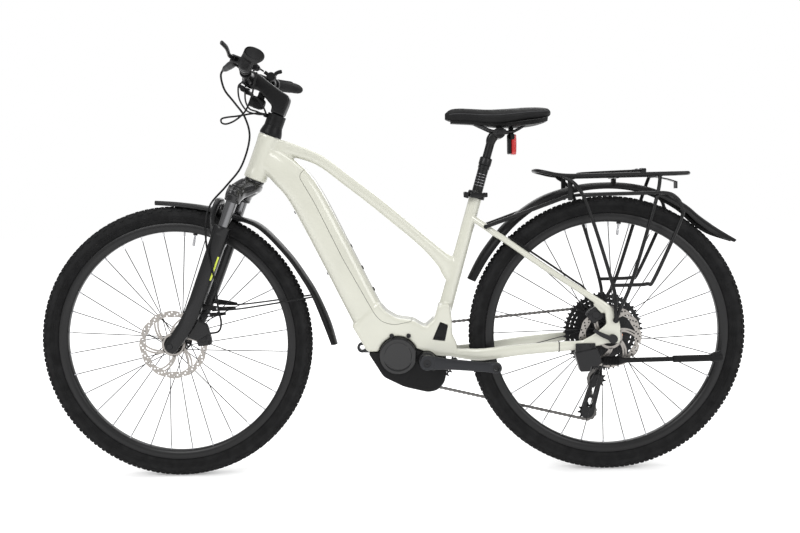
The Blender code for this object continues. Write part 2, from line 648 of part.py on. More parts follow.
def tube_block(run, face, half):
    """Box in the down tube: along its run, across towards its upper face, and half width."""
    corners = [(run[0], face[0]), (run[1], face[0]), (run[1], face[1]), (run[0], face[1])]
    points = [TUBE_START + TUBE_RUN * a + TUBE_FACE * b for a, b in corners]
    return extrude([(p.x, p.z) for p in points], -half, half)


PACK_RUN, PACK_FACE, PACK_HALF = (0.036, 0.300), (-0.0275, 0.0335), 0.0285
pack_space = tube_block((PACK_RUN[0] - 2 * GAP, PACK_RUN[1] + 2 * GAP),
                        (PACK_FACE[0] - 2 * GAP, PACK_FACE[1] + 2 * GAP), PACK_HALF + 2 * GAP)

bottle_bosses = []
for run in (0.176, 0.240, 0.304):
    base = TUBE_START + TUBE_RUN * run + TUBE_FACE * 0.0405
    bottle_bosses.append(rod(base, base + TUBE_FACE * 0.0060, 0.0055, 6))
studs = []
for run in (0.030, 0.212, 0.395):
    base = TUBE_START + TUBE_RUN * run - TUBE_FACE * 0.0400
    studs.append(rod(base, base - TUBE_FACE * 0.0062, 0.0042, 6))

motor_space = [(-0.0392, 0.20), (-0.0392, 0.3200)]
motor_space += [polar(MOTOR_CENTRE, MOTOR_RADIUS + 0.0015, a) for a in (165, 150, 130, 110, 90, 70, 50, 34)]
motor_space += [(0.092, 0.3450), (0.125, 0.3380), (0.1435, 0.320), (0.1435, 0.20)]
CRADLE_BOLTS = ((0.005, 0.372), (0.049, 0.371))
bolt_holes = [across_rod((x, 0, z), -0.06, 0.06, 0.0046, 6) for x, z in CRADLE_BOLTS]

flap_outline = [(0.1320, 0.4050), (0.1520, 0.3970), (0.1430, 0.3560), (0.1120, 0.3600)]
flap_recess = extrude(inset(flap_outline, -2 * GAP), -CRADLE_HALF - 0.01, -CRADLE_HALF + 0.0034)

stay_eyelets = [rod((0.575, y, 0.408), (0.575, y + 0.004, 0.408), 0.0060, 6) for y in (-0.0835, 0.0795)]

STAND_BOLTS = ((0.4810, 0.3400), (0.5165, 0.3440))
stand_holes = [across_rod((x, 0, z), -0.095, -0.0765, 0.0036, 6) for x, z in STAND_BOLTS]
caliper_lug = extrude([(0.562, 0.436), (0.538, 0.460), (0.521, 0.447), (0.543, 0.423)], -0.0770, -0.0688)

frame_pieces = [down_tube, top_tube, seat_tube, head_tube, cradle, *studs]
frame_pieces += both(seat_stay) + both(chain_stay) + both(dropout) + [hanger, caliper_lug]
frame_cuts = [
    rod(steer(0, 0, HEAD_LOW - 0.02), steer(0, 0, HEAD_HIGH + 0.02), HEAD_BORE, 12),
    rod(seat(-0.215), seat(0.03), SEAT_BORE, 10),
    extrude(inset(cover_region, -GAP), -0.08, 0.08),
    pack_space,
    extrude(motor_space, -CRADLE_HALF + CRADLE_WALL, CRADLE_HALF - CRADLE_WALL),
    flap_recess,
    across_rod(REAR_AXLE, -0.12, 0.12, 0.0066, 10),
    across_rod(HANGER, 0.060, 0.12, 0.0045, 6),
    *bolt_holes,
    *stand_holes,
    across_rod(CRANK_AXLE, -0.06, 0.06, 0.0248, 14),
]
solid("frame", PAINT, frame_pieces, frame_cuts)
solid("battery_cover", PAINT, [down_tube, cradle, *bottle_bosses], [pack_space],
      keep=[extrude(cover_region, -0.08, 0.08)])
solid("battery_pack", PLASTIC, [tube_block(PACK_RUN, PACK_FACE, PACK_HALF)])


# Drive unit in the cradle, with its side cover, skid plate and charge flap
def cylinder_y(point, near, far, radius, sides=16):
    return across_rod((point[0], 0, point[1]), near, far, radius, sides)


MOTOR_HALF = CRADLE_HALF - CRADLE_WALL - GAP
AXLE_POINT = (CRANK_AXLE.x, CRANK_AXLE.z)
skid_outline = [(-0.0590, 0.3282), (-0.0190, 0.2622), (0.0346, 0.2351), (0.0974, 0.2195), (0.1216, 0.2244)]
skid_outline += [(0.1400, 0.2437), (0.1466, 0.2712), (0.1475, 0.3108), (0.1290, 0.3125), (0.1110, 0.3158)]
skid_outline += [(0.0712, 0.3332), (-0.0300, 0.3282)]
housing = [*inset(skid_outline, 0.0058)[1:8], (0.121, 0.3300), (0.060, 0.3400), (-0.020, 0.3300)]
motor = [cylinder_y(MOTOR_CENTRE, -MOTOR_HALF, MOTOR_HALF, MOTOR_RADIUS, 16)]
motor.append(extrude(housing, -MOTOR_HALF + 0.0004, MOTOR_HALF - 0.0004))
motor.append(cylinder_y(AXLE_POINT, -0.0560, 0.0400, 0.0235, 12))
for x, z in CRADLE_BOLTS:
    motor.append(cylinder_y((x, z), -0.0440, 0.0405, 0.0042, 6))
    motor.append(cylinder_y((x, z), -0.0440, -CRADLE_HALF - GAP, 0.0057, 10))
spindle_hole = cylinder_y(AXLE_POINT, -0.10, 0.10, SPINDLE_RADIUS + 0.0007, 12)
solid("drive_motor", PLASTIC, motor, [spindle_hole])

inner_skid = inset(skid_outline, 0.0042)
skid_cut = [(inner_skid[0][0], 0.42), *inner_skid[0:8], (inner_skid[7][0], 0.42)]
skid = extrude(skid_outline, -CRADLE_HALF + 0.0005, CRADLE_HALF - 0.0010)
side_disc = cylinder_y(MOTOR_CENTRE, -0.0455, -MOTOR_HALF - GAP, COVER_RADIUS, 18)
solid("motor_cover", PLASTIC, [skid, side_disc], [
    extrude(skid_cut, -MOTOR_HALF - GAP, MOTOR_HALF + GAP),
    cylinder_y(AXLE_POINT, -0.10, 0.10, 0.0248, 12),
])

flap_plate = extrude(flap_outline, -CRADLE_HALF - 0.0006, -CRADLE_HALF + 0.0030, bevel=0.0008)
hinge = Vector((flap_outline[0][0], -CRADLE_HALF, flap_outline[0][1]))
solid("charge_port_flap", PLASTIC, [flap_plate], pivot=hinge)


# Seat post, its clamp and the saddle
SHAFT_RADIUS = 0.0110
POST_LOW, POST_HIGH = -0.145, 0.0900
SHAFT_LOW, SHAFT_HIGH = -0.0250, 0.1500
SADDLE_RAIL = 0.0035
RAIL_Y = 0.022

collar = turned([
    (POST_LOW, POST_RADIUS), (0.0600, POST_RADIUS), (0.0610, 0.0150), (0.0690, 0.0150),
    (0.0700, 0.0162), (0.0880, 0.0162), (POST_HIGH, 0.0150),
], SEAT_TOP, SEAT_UP, 10)
solid("seatpost_lower", BLACK_PAINT, [collar],
      [rod(seat(SHAFT_LOW - 0.045), seat(0.12), SHAFT_RADIUS + 2 * GAP, 10)], pivot=seat(0))

HEAD_CENTRE = Vector((0.2950, 0, 0.8905))
rail_line = [(0.231, -0.009, 0.9155), (0.252, -0.017, 0.9060), (0.275, -RAIL_Y, 0.8960)]
rail_line += [(0.300, -RAIL_Y, 0.8925), (0.328, -RAIL_Y, 0.8930)]
rail_line += [(0.348, -0.023, 0.9010), (0.366, -0.024, 0.9125)]
post_head = [rod(seat(SHAFT_LOW), seat(SHAFT_HIGH), SHAFT_RADIUS, 10)]
post_head.append(across_rod(HEAD_CENTRE, -0.0300, 0.0300, 0.0150, 12))
post_head.append(beam([(*seat(0.134), 0.024, 0.026), (0.283, 0, 0.8880, 0.026, 0.026)], 8, 0.7))
post_head += both(across_rod(HEAD_CENTRE, -0.0330, -0.0290, 0.0060, 6))
solid("seatpost_upper", BLACK_PAINT, post_head, both(tube(rail_line, SADDLE_RAIL + 0.0008, 5)), pivot=seat(0))

clamp_ring = turned([(-0.0190, 0.0225), (-0.0010, 0.0225)], SEAT_TOP, SEAT_UP, 12)
ears = block((0.2160, -0.0350, 0.7255), (0.2500, -0.0190, 0.7385), 0.0015)
nut = rod((0.2490, -0.0275, 0.7320), (0.2620, -0.0275, 0.7320), 0.0062, 6)
solid("seat_clamp", BLACK_PAINT, [clamp_ring, ears, nut],
      [rod(seat(-0.05), seat(0.02), SEAT_TUBE_RADIUS + 0.0009, 10)])

lever_axle = Vector((0.2073, -0.0270, 0.7330))
lever_hub = rod(lever_axle - SEAT_UP * 0.0075, lever_axle + SEAT_UP * 0.0075, 0.0066, 10)
lever_arm = beam([
    (0.2080, -0.028, 0.7335, 0.005, 0.012), (0.2030, -0.010, 0.7350, 0.005, 0.013),
    (0.2040, 0.012, 0.7360, 0.004, 0.012), (0.2110, 0.026, 0.7360, 0.004, 0.010),
], 8, 0.6, across=X)
solid("seat_clamp_lever", BLACK_PAINT, [lever_hub, lever_arm], pivot=lever_axle)

# Saddle stations: x, half width, top, lower edge of the cushion
saddle = [
    (0.4245, 0.030, 0.9440, 0.9330), (0.4160, 0.052, 0.9500, 0.9260), (0.3930, 0.071, 0.9525, 0.9200),
    (0.3620, 0.0785, 0.9530, 0.9160), (0.3300, 0.070, 0.9520, 0.9130), (0.2950, 0.050, 0.9515, 0.9120),
    (0.2600, 0.035, 0.9520, 0.9150), (0.2250, 0.0265, 0.9545, 0.9200), (0.1930, 0.0235, 0.9565, 0.9225),
    (0.1700, 0.0200, 0.9540, 0.9240), (0.1560, 0.0110, 0.9440, 0.9290),
]


def cushion_ring(x, half, top, edge):
    """Crowned cushion section, its sides drawn in under the widest line."""
    rise = top - edge
    right = [(0.0, top), (0.30, top - 0.02 * rise), (0.62, top - 0.10 * rise), (0.88, top - 0.30 * rise)]
    right += [(1.0, top - 0.58 * rise), (0.95, top - 0.84 * rise), (0.84, edge)]
    left = [(-a, z) for a, z in right[1:]][::-1]
    return [Vector((x, a * half, z)) for a, z in right + left]


solid("saddle_cover", RUBBER, [loft([cushion_ring(*row) for row in saddle])])
base_rings = []
for x, half, top, edge in saddle[1:-1]:
    low = edge - (0.0095 if x > 0.34 else 0.0048)
    shape = [(-0.78, edge - 2 * GAP), (0.78, edge - 2 * GAP), (0.66, low), (-0.66, low)]
    base_rings.append([Vector((x, a * half, z)) for a, z in shape])
solid("saddle_base", PLASTIC, [loft(base_rings), *both(tube(rail_line, SADDLE_RAIL, 5))])

RAIL_CLIP_Y = 0.0036 - RAIL_Y
light = [block((0.3170, -0.0180, 0.8380), (0.3340, 0.0180, 0.8850))]
light.append(beam([(0.3335, 0, 0.8365, 0.034, 0.020), (0.3335, 0, 0.8860, 0.034, 0.020)], 8, 0.7))
light.append(block((0.3200, -0.0080, 0.8800), (0.3320, 0.0080, 0.9050)))
light.append(block((0.3200, RAIL_CLIP_Y, 0.8890), (0.3320, -RAIL_CLIP_Y, 0.8965)))
solid("tail_light", RED_LENS, light)


# Rack with its sprung clip
RACK_TUBE = 0.0050
rack = []
half_deck = [(0.384, 0, 0.7915), (0.389, 0.030, 0.7905), (0.407, 0.045, 0.7860), (0.440, 0.0510, 0.7785)]
half_deck += [(0.485, 0.0520, 0.7755), (0.745, 0.0500, 0.7755), (0.771, 0.036, 0.7755), (0.778, 0, 0.7755)]
deck = half_deck + [(x, -y, z) for x, y, z in half_deck[1:-1]][::-1]
rack.append(tube(deck, RACK_TUBE, 5, closed=True))
for x in (0.478, 0.590, 0.698):
    rack.append(rod((x, -0.052, 0.7700), (x, 0.052, 0.7700), 0.0042, 4))
rack += both(rod((0.478, -0.018, 0.7710), (0.698, -0.018, 0.7710), 0.0030, 4))
front_leg = [(0.452, -0.051, 0.7740), (0.500, -0.073, 0.7200), (0.569, -0.083, 0.4980)]
front_leg += [(0.5740, -0.0896, 0.4380), (0.5752, -0.0896, 0.4080)]
rear_leg = [(0.697, -0.050, 0.7740), (0.680, -0.074, 0.7090), (0.618, -0.083, 0.5080)]
rear_leg += [(0.5880, -0.0896, 0.4420), (0.5765, -0.0896, 0.4120)]
hoop = [(0.498, -0.0735, 0.7240), (0.560, -0.080, 0.7260), (0.703, -0.080, 0.7270), (0.735, -0.080, 0.7080)]
hoop += [(0.7450, -0.080, 0.6700), (0.674, -0.082, 0.5120), (0.655, -0.083, 0.4975), (0.566, -0.083, 0.4965)]
strut = [(0.2520, -0.0445, 0.6500), (0.330, -0.0460, 0.6770), (0.466, -0.0520, 0.7250)]
for points, radius in ((front_leg, 0.0046), (rear_leg, 0.0046), (hoop, 0.0046), (strut, 0.0050)):
    rack += both(tube(points, radius, 4 if points is strut else 5))
rack += both(across_rod((0.575, 0, 0.408), -0.0935, -0.0843, 0.0068, 6))
rack += both(across_rod((0.2540, 0, 0.6505), -0.0480, -0.0388, 0.0056, 6))
rack += both(block((0.4630, -0.0560, 0.7130), (0.4750, -0.0490, 0.7745)))
CLIP_AXLE = Vector((0.655, 0, 0.7850))
rack += both(block((0.6490, -0.0545, 0.7725), (0.6610, -0.0440, 0.7900)))
light_bracket = [(0.698, 0.7665), (0.728, 0.7600), (0.7490, 0.7530), (0.7490, 0.7370)]
light_bracket += [(0.7515, 0.7370), (0.7515, 0.7550), (0.729, 0.7625), (0.698, 0.7695)]
rack.append(extrude(light_bracket, -0.013, 0.013))
solid("rack", BLACK_PAINT, rack, [across_rod(CLIP_AXLE, -0.06, 0.06, 0.0037, 6)])

clip_wire = [(0.655, -0.0345, 0.7850), (0.600, -0.0345, 0.7842)]
clip_wire += [(0.520, -0.0345, 0.7822), (0.500, -0.0200, 0.7816)]
clip_wire += [(x, -y, z) for x, y, z in clip_wire[::-1]]
solid("rack_spring_clip", BLACK_PAINT,
      [across_rod(CLIP_AXLE, -0.0480, 0.0480, 0.0030, 6), tube(clip_wire, 0.0028, 5)], pivot=CLIP_AXLE)


# Mudguards: a thin arched sheet along the tyre
def guard(points, widths, droops, axle, sheet=0.0022):
    """Sheet whose crown runs along side-view points; its edges hang towards the axle."""
    rings = []
    for (x, z), half, droop in zip(points, widths, droops):
        crown = Vector((x, 0, z))
        inward = (axle - crown).normalized()
        outer = [(-1.0, 1.0), (-0.55, 0.12), (0.55, 0.12), (1.0, 1.0)]
        ring = [crown + Y * a * half + inward * b * droop for a, b in outer]
        for a, b in outer[::-1]:
            ring.append(crown + Y * a * (half - sheet) + inward * (b * droop + sheet * (1.3 - b)))
        rings.append(ring)
    return loft(rings)


rear_guard = [(0.2058, 0.5151), (0.2416, 0.5808), (0.2928, 0.6458), (0.3435, 0.6900), (0.4100, 0.7290)]
rear_guard += [(0.490, 0.7510), (0.557, 0.7570), (0.630, 0.7530), (0.700, 0.7355), (0.7694, 0.6991)]
rear_guard += [(0.8121, 0.6638), (0.8577, 0.6312), (0.9062, 0.6014)]
rear_widths = [0.022, 0.028, 0.029, 0.029, 0.030, 0.030, 0.030, 0.030, 0.031, 0.031, 0.032, 0.033, 0.016]
rear_droops = [0.021, 0.023, 0.023, 0.021, 0.019, 0.017, 0.016, 0.016, 0.018, 0.020, 0.022, 0.022, 0.0107]
guard_brackets = [
    block((x - 0.005, -0.009, low), (x + 0.005, 0.009, 0.7655))
    for x, low in ((0.478, 0.7450), (0.590, 0.7530))
]
solid("rear_mudguard", PLASTIC, [guard(rear_guard, rear_widths, rear_droops, REAR_AXLE), *guard_brackets])

front_line = [(0.229, 0.335), (0.165, 0.354), (0.085, 0.371)]
front_line += [(0.013, 0.3735), (-0.057, 0.3725), (-0.149, 0.3300)]
front_line += [(-0.216, 0.2850), (-0.2605, 0.2490), (-0.313, 0.195), (-0.351, 0.144)]
front_widths = [0.012, 0.024, 0.028, 0.029, 0.029, 0.029, 0.030, 0.031, 0.032, 0.026]
front_droops = [0.011] * 6 + [0.012, 0.014, 0.017, 0.014]
front_guard = [(p.x, p.z) for p in (steer(f, 0, s) for f, s in front_line)]
stay_line = [(-0.012, -0.0560, 0.1240), (-0.080, -0.0520, 0.1500), (-0.2515, -0.0295, 0.2440)]
guard_stay = tube([steer(*point) for point in stay_line], 0.0022, 4)
stay_foot = rod(steer(0.0067, -0.0560, 0.1270), steer(-0.0130, -0.0560, 0.1240), 0.0040, 6)
solid("front_mudguard", PLASTIC, [
    guard(front_guard, front_widths, front_droops, FRONT_AXLE), *both(guard_stay), *both(stay_foot),
    steer_block((0.0610, -0.0080, 0.3695), (0.0750, 0.0080, 0.3823)),
])


# Kickstand folded back along the left chainstay
STAND_TILT = math.radians(15)
STAND_AXIS = Vector((0, math.cos(STAND_TILT), -math.sin(STAND_TILT)))
STAND_HINGE = Vector((0.5290, -0.0815, 0.3030))
STAND_RUN = Vector((1, 0, 0.0100)).normalized()
SLOT_HALF = 0.0075
mount_outline = [(0.4710, 0.3265), (0.4850, 0.2780), (0.5095, 0.2785), (0.5120, 0.2930), (0.5262, 0.2932)]
mount_outline += [(0.5318, 0.2942), (0.5368, 0.2980), (0.5385, 0.3040), (0.5370, 0.3130), (0.5270, 0.3380)]
mount_outline += [(0.4920, 0.3310)]
stand_mount = [extrude(mount_outline, -0.0930, -0.0667)]
stand_mount.append(block((0.4735, -0.0890, 0.3180), (0.5240, -0.0848, 0.3507)))
for x, z in STAND_BOLTS:
    stand_mount.append(cylinder_y((x, z), -0.0860, -0.0770, 0.0032, 6))
    stand_mount.append(cylinder_y((x, z), -0.0912, -0.0878, 0.0055, 6))
stand_up = STAND_RUN.cross(STAND_AXIS)


def about_stand(run, up, along):
    return STAND_HINGE + STAND_RUN * run + stand_up * up + STAND_AXIS * along


slot = [(-0.0140, -0.060), (0.050, -0.060), (0.050, 0.0140), (-0.0140, 0.0140)]
slot_cut = loft([[about_stand(a, b, c) for a, b in slot] for c in (-SLOT_HALF, SLOT_HALF)])
pin = rod(STAND_HINGE - STAND_AXIS * 0.0100, STAND_HINGE + STAND_AXIS * 0.0100, 0.0034, 8)
solid("kickstand_mount", DARK_ALLOY, stand_mount, [slot_cut], pins=[pin])

leg_profile = [(0.0070, 0.0062), (0.0132, 0.0062), (0.0138, 0.0098)]
for k in range(11):
    leg_profile += [(0.0150 + 0.0038 * k, 0.0120), (0.0168 + 0.0038 * k, 0.0098)]
leg_profile += [(0.0575, 0.0105), (0.0710, 0.0060), (0.1920, 0.0060), (0.1925, 0.0086), (0.2840, 0.0086)]
leg_profile += [(0.2850, 0.0075), (0.2900, 0.0100), (0.3120, 0.0110), (0.3160, 0.0085)]
leg_hub = rod(STAND_HINGE - STAND_AXIS * 0.0068, STAND_HINGE + STAND_AXIS * 0.0068, 0.0112, 12)
foot = beam([
    (*about_stand(0.290, 0.0020, 0), 0.016, 0.016),
    (*about_stand(0.312, 0.0120, 0), 0.016, 0.010),
], 8, 0.6)
solid("kickstand_leg", DARK_ALLOY, [turned(leg_profile, STAND_HINGE, STAND_RUN, 6), leg_hub, foot],
      [rod(STAND_HINGE - STAND_AXIS * 0.02, STAND_HINGE + STAND_AXIS * 0.02, 0.0039, 8)], pivot=STAND_HINGE)


# Brake calipers: a body over the edge of the rotor, slotted for it
def caliper(name, axle, rotor, lean, near, far, reach):
    """Body centred at an angle round the axle, between radii, from near to far in Y."""
    rotor_y, rotor_radius = rotor
    out = Vector((math.cos(lean), 0, math.sin(lean)))
    along = Vector((-out.z, 0, out.x))
    shape = [(reach[0], -0.019), (reach[1] - 0.004, -0.022), (reach[1], -0.012)]
    shape += [(reach[1], 0.012), (reach[1] - 0.004, 0.022), (reach[0], 0.019)]
    points = [axle + out * a + along * b for a, b in shape]
    body = extrude([(p.x, p.z) for p in points], near, far, bevel=0.002)
    edge = rotor_radius + 0.0018
    slot_ring = turned(((-0.0021, edge), (0.0021, edge)), axle + Y * rotor_y, Y, 24)
    return solid(name, DARK_ALLOY, [body], [slot_ring])


caliper("rear_caliper", REAR_AXLE, (REAR_ROTOR_Y, REAR_ROTOR_RADIUS), math.radians(122.5), -0.0685, -0.0480,
        (0.053, 0.0885))
back_up = (STEER_AHEAD * -0.843 + STEER_UP * 0.542).normalized()
caliper("front_caliper", FRONT_AXLE, (FRONT_ROTOR_Y, FRONT_ROTOR_RADIUS), math.atan2(back_up.z, back_up.x),
        -0.0500, -0.0345, (0.063, 0.1020))

rear_lever = beam([
    (*(REAR_AXLE + Vector((-0.0040, -0.0920, 0.001))), 0.008, 0.012),
    (*(REAR_AXLE + Vector((-0.0275, -0.0935, 0.011))), 0.007, 0.011),
    (*(REAR_AXLE + Vector((-0.0485, -0.0930, 0.024))), 0.006, 0.008),
], 8, 0.7)
solid("rear_thru_axle", DARK_ALLOY, [
    across_rod(REAR_AXLE, -0.0880, REAR_HALF_SPACE + DROPOUT_THICKNESS - 0.001, 0.0060, 10),
    across_rod(REAR_AXLE, -0.0960, -REAR_HALF_SPACE - DROPOUT_THICKNESS - GAP, 0.0115, 12), rear_lever,
], pivot=REAR_AXLE)


# Suspension fork: crown with steerer and stanchions, and the lower legs that slide on them
LEG_Y, LEG_AHEAD = 0.0660, 0.0250
STANCHION_RADIUS = 0.0145
STEERER_RADIUS = 0.0143
STEERER_TOP = 0.7030
STANCHION_LOW, LEG_TOP, BORE_LOW = 0.2050, 0.3370, 0.1350

half_crown = [(LEG_AHEAD, -0.084, 0.4270, 0.030, 0.034), (LEG_AHEAD, -LEG_Y, 0.4270, 0.044, 0.040)]
half_crown += [(0.020, -0.045, 0.4400, 0.046, 0.037), (0.006, -0.020, 0.4580, 0.054, 0.031)]
crown = [*half_crown, (0.003, 0, 0.4580, 0.056, 0.031)]
crown += [(f, -y, s, wide, deep) for f, y, s, wide, deep in half_crown[::-1]]
crown_race = turned([(0, 0.0230), (0.0080, 0.0262), (0.0100, 0.0262)], steer(0, 0, 0.4666), STEER_UP, 10)
left_cap = turned([(0, 0.0130), (0.0050, 0.0120)], steer(LEG_AHEAD, -LEG_Y, 0.4470), STEER_UP, 10)
stanchion = rod(steer(LEG_AHEAD, -LEG_Y, STANCHION_LOW), steer(LEG_AHEAD, -LEG_Y, 0.440), STANCHION_RADIUS, 8)
socket = rod(steer(LEG_AHEAD, -LEG_Y, 0.403), steer(LEG_AHEAD, -LEG_Y, 0.448), 0.0205, 10)
solid("fork_upper", BLACK_PAINT, [
    steer_beam(crown, sides=8, square=0.7, across=STEER_AHEAD), crown_race, left_cap,
    rod(steer(0, 0, 0.455), steer(0, 0, STEERER_TOP), STEERER_RADIUS, 10), *both(stanchion), *both(socket),
], [
    rod(steer(LEG_AHEAD, LEG_Y, 0.4480), steer(LEG_AHEAD, LEG_Y, 0.490), 0.0155, 12),
], pivot=steer(0, 0, HEAD_LOW))
knob_profile = [(0, 0.0140), (0.0080, 0.0145), (0.0130, 0.0105)]
knob = turned(knob_profile, steer(LEG_AHEAD, LEG_Y, 0.4483), STEER_UP, 10)
solid("lockout_knob", BLACK_PAINT, [knob], pivot=steer(LEG_AHEAD, LEG_Y, 0.4483))

leg = steer_beam([
    (LEG_AHEAD, -LEG_Y, 0.3300, 0.037, 0.043), (LEG_AHEAD, -LEG_Y, 0.2000, 0.037, 0.042),
    (0.026, -LEG_Y, 0.1250, 0.036, 0.040), (0.031, -LEG_Y, 0.0700, 0.025, 0.040),
    (0.047, -LEG_Y, 0.0050, 0.022, 0.036), (0.051, -LEG_Y, -0.0140, 0.022, 0.028),
], sides=8, square=0.75)
leg_collar = rod(steer(LEG_AHEAD, -LEG_Y, 0.3220), steer(LEG_AHEAD, -LEG_Y, LEG_TOP), 0.0200, 10)
half_arch = [(0.042, -0.0665, 0.3100, 0.016, 0.022)]
half_arch += [(0.061, -0.053, 0.3500, 0.016, 0.018), (0.068, -0.027, 0.3870, 0.016, 0.017)]
arch = [*half_arch, (0.068, 0, 0.3930, 0.016, 0.017)]
arch += [(f, -y, s, wide, deep) for f, y, s, wide, deep in half_arch[::-1]]
caliper_tab = [(0.022, 0.034), (0.022, 0.088), (-0.018, 0.086), (-0.032, 0.066), (-0.008, 0.034)]
bore_top, bore_end = steer(LEG_AHEAD, -LEG_Y, 0.36), steer(LEG_AHEAD, -LEG_Y, BORE_LOW)
leg_bore = rod(bore_top, bore_end, STANCHION_RADIUS + 0.0005, 8)
solid("fork_lowers", BLACK_PAINT, [
    leg, mirrored(leg), *both(leg_collar), steer_beam(arch, sides=6, square=0.75, across=STEER_AHEAD),
    extrude(caliper_tab, -0.0600, -0.0503, steered),
], [*both(leg_bore), across_rod(FRONT_AXLE, -0.12, 0.12, 0.0076, 10)])
solid("front_thru_axle", DARK_ALLOY, [
    across_rod(FRONT_AXLE, -0.0785, 0.0790, 0.0070, 10), across_rod(FRONT_AXLE, 0.0775, 0.0820, 0.0105, 10),
])


# Headset cover and spacers, stem and handlebar
spacer_ring = [(HEAD_HIGH + GAP, STEERER_RADIUS + 0.0006), (HEAD_HIGH + GAP, 0.0290), (0.6050, 0.0292)]
spacer_ring += [(0.6210, 0.0245), (0.6248, 0.0240), (0.6396, 0.0240), (0.6402, 0.0230), (0.6408, 0.0240)]
spacer_ring += [(0.6552, 0.0240)]
spacer_ring += [(0.6552, STEERER_RADIUS + 0.0006)]
solid("headset_spacers", PLASTIC, [ringed(spacer_ring, steer(0, 0, 0), STEER_UP, 10)])

BAR_AHEAD, BAR_UP = 0.0940, 0.7180
BAR_RADIUS = 0.0111
stem_outline = [(-0.0185, 0.6555), (0.0175, 0.6555), (0.0185, 0.6720), (0.040, 0.6850), (0.067, 0.6985)]
stem_outline += [(0.078, 0.6975), (0.094, 0.6950), (0.109, 0.7000), (0.1165, 0.7140), (0.114, 0.7280)]
stem_outline += [(0.105, 0.7375), (0.092, 0.7405), (0.078, 0.7385), (0.050, 0.7290), (0.010, 0.7170)]
stem_outline += [(-0.012, 0.7125), (-0.0195, 0.7040), (-0.0205, 0.6900)]
stem = [extrude(stem_outline, -0.0190, 0.0190, steered)]
for s in (0.6860, 0.6710):
    stem.append(rod(steer(-0.0140, -0.0180, s), steer(-0.0140, -0.0205, s), 0.0034, 6))
solid("stem", BLACK_PAINT, stem, [
    rod(steer(0, 0, 0.60), steer(0, 0, STEERER_TOP + GAP), STEERER_RADIUS + 0.0005, 10),
    rod(steer(BAR_AHEAD, -0.05, BAR_UP), steer(BAR_AHEAD, 0.05, BAR_UP), 0.0168, 12),
])

# Handlebar line: sideways, ahead, up, radius
BAR_LINE = [(0, BAR_AHEAD, BAR_UP, 0.0159), (0.035, BAR_AHEAD, BAR_UP, 0.0159)]
BAR_LINE += [(0.052, 0.0938, 0.7187, 0.0138)]
BAR_LINE += [(0.080, 0.0930, 0.7220, BAR_RADIUS), (0.130, 0.0870, 0.7300, BAR_RADIUS)]
BAR_LINE += [(0.200, 0.0735, 0.7380, BAR_RADIUS), (0.316, 0.0400, 0.7570, BAR_RADIUS)]


def bar_at(y):
    """Point on the handlebar's centre line at a distance from its middle."""
    for one, two in zip(BAR_LINE, BAR_LINE[1:]):
        if abs(y) <= two[0] or two is BAR_LINE[-1]:
            t = (abs(y) - one[0]) / (two[0] - one[0])
            return steer(one[1] + t * (two[1] - one[1]), y, one[2] + t * (two[2] - one[2]))


def on_bar(low, high, radius, sides=12):
    return rod(bar_at(low), bar_at(high), radius, sides)


def bar_hole(low, high):
    """Hole for the handlebar, following its bends between two distances."""
    stops = [low] + [row[0] for row in BAR_LINE if low < row[0] < high] + [high]
    return tube([bar_at(y) for y in stops], BAR_RADIUS + 0.0008, 10)


half_bar = [(bar_at(y), radius) for y, ahead, up, radius in BAR_LINE[1:]]
bar_points = [p for p, r in half_bar][::-1] + [bar_at(0)] + [p for p, r in half_bar]
bar_points = [Vector((p.x, -p.y, p.z)) if k < len(half_bar) else p for k, p in enumerate(bar_points)]
bar_sizes = [r for p, r in half_bar][::-1] + [BAR_LINE[0][3]] + [r for p, r in half_bar]
solid("handlebar", BLACK_PAINT, [tube(bar_points, bar_sizes, 10)])


def grip_rows():
    """Grip stations at distances along the bar: wider behind the bar towards its end."""
    rows = []
    for y, back, wide, deep in ((0.1990, 0.0, 0.0335, 0.0335), (0.2120, 0.0, 0.0320, 0.0320),
                                (0.2500, 0.0010, 0.0345, 0.0310), (0.2800, 0.0040, 0.0420, 0.0290),
                                (0.3060, 0.0060, 0.0470, 0.0280), (0.3200, 0.0050, 0.0430, 0.0250)):
        point = bar_at(y) - STEER_AHEAD * back
        rows.append((*point, wide, deep))
    return rows


grip = beam(grip_rows(), 8, 0.9, across=STEER_AHEAD)
lock_ring = on_bar(0.1930, 0.2010, 0.0178, 10)
grip_bore = bar_hole(0.150, 0.3164)
for name, flip in (("grip_right", False), ("grip_left", True)):
    parts = [mirrored(p) if flip else p for p in (grip, lock_ring, grip_bore)]
    solid(name, GRIP_RUBBER, parts[:2], parts[2:])

# Brake controls: clamp, master cylinder and a lever on its pin
LEVER_AXLE = (0.1120, 0.1720, 0.7420)
lever_low, lever_high = LEVER_AXLE[2] - 0.0044, LEVER_AXLE[2] + 0.0044
brake_pieces = [
    on_bar(0.1630, 0.1770, 0.0165, 8),
    rod(steer(0.1060, 0.1680, 0.7350), steer(0.1370, 0.1220, 0.7120), 0.0092, 10),
    steer_block((0.0880, 0.1640, 0.7320), (0.1180, 0.1790, lever_high + 0.0042)),
]
lever_space = steer_block((0.0975, 0.1650, lever_low - GAP), (0.1400, 0.2200, lever_high + GAP))
pin_low = steer(*LEVER_AXLE[:2], lever_low - 0.003)
brake_pin = rod(pin_low, steer(*LEVER_AXLE[:2], lever_high + 0.003), 0.0025, 6)
blade = steer_beam([
    (0.1125, 0.1740, 0.7420, 0.0080, 0.0082), (0.1160, 0.2000, 0.7430, 0.0060, 0.0110),
    (0.1130, 0.2350, 0.7480, 0.0060, 0.0110), (0.1130, 0.2620, 0.7530, 0.0065, 0.0110),
    (0.1180, 0.2920, 0.7570, 0.0070, 0.0100),
], sides=6, square=0.8, across=STEER_AHEAD)
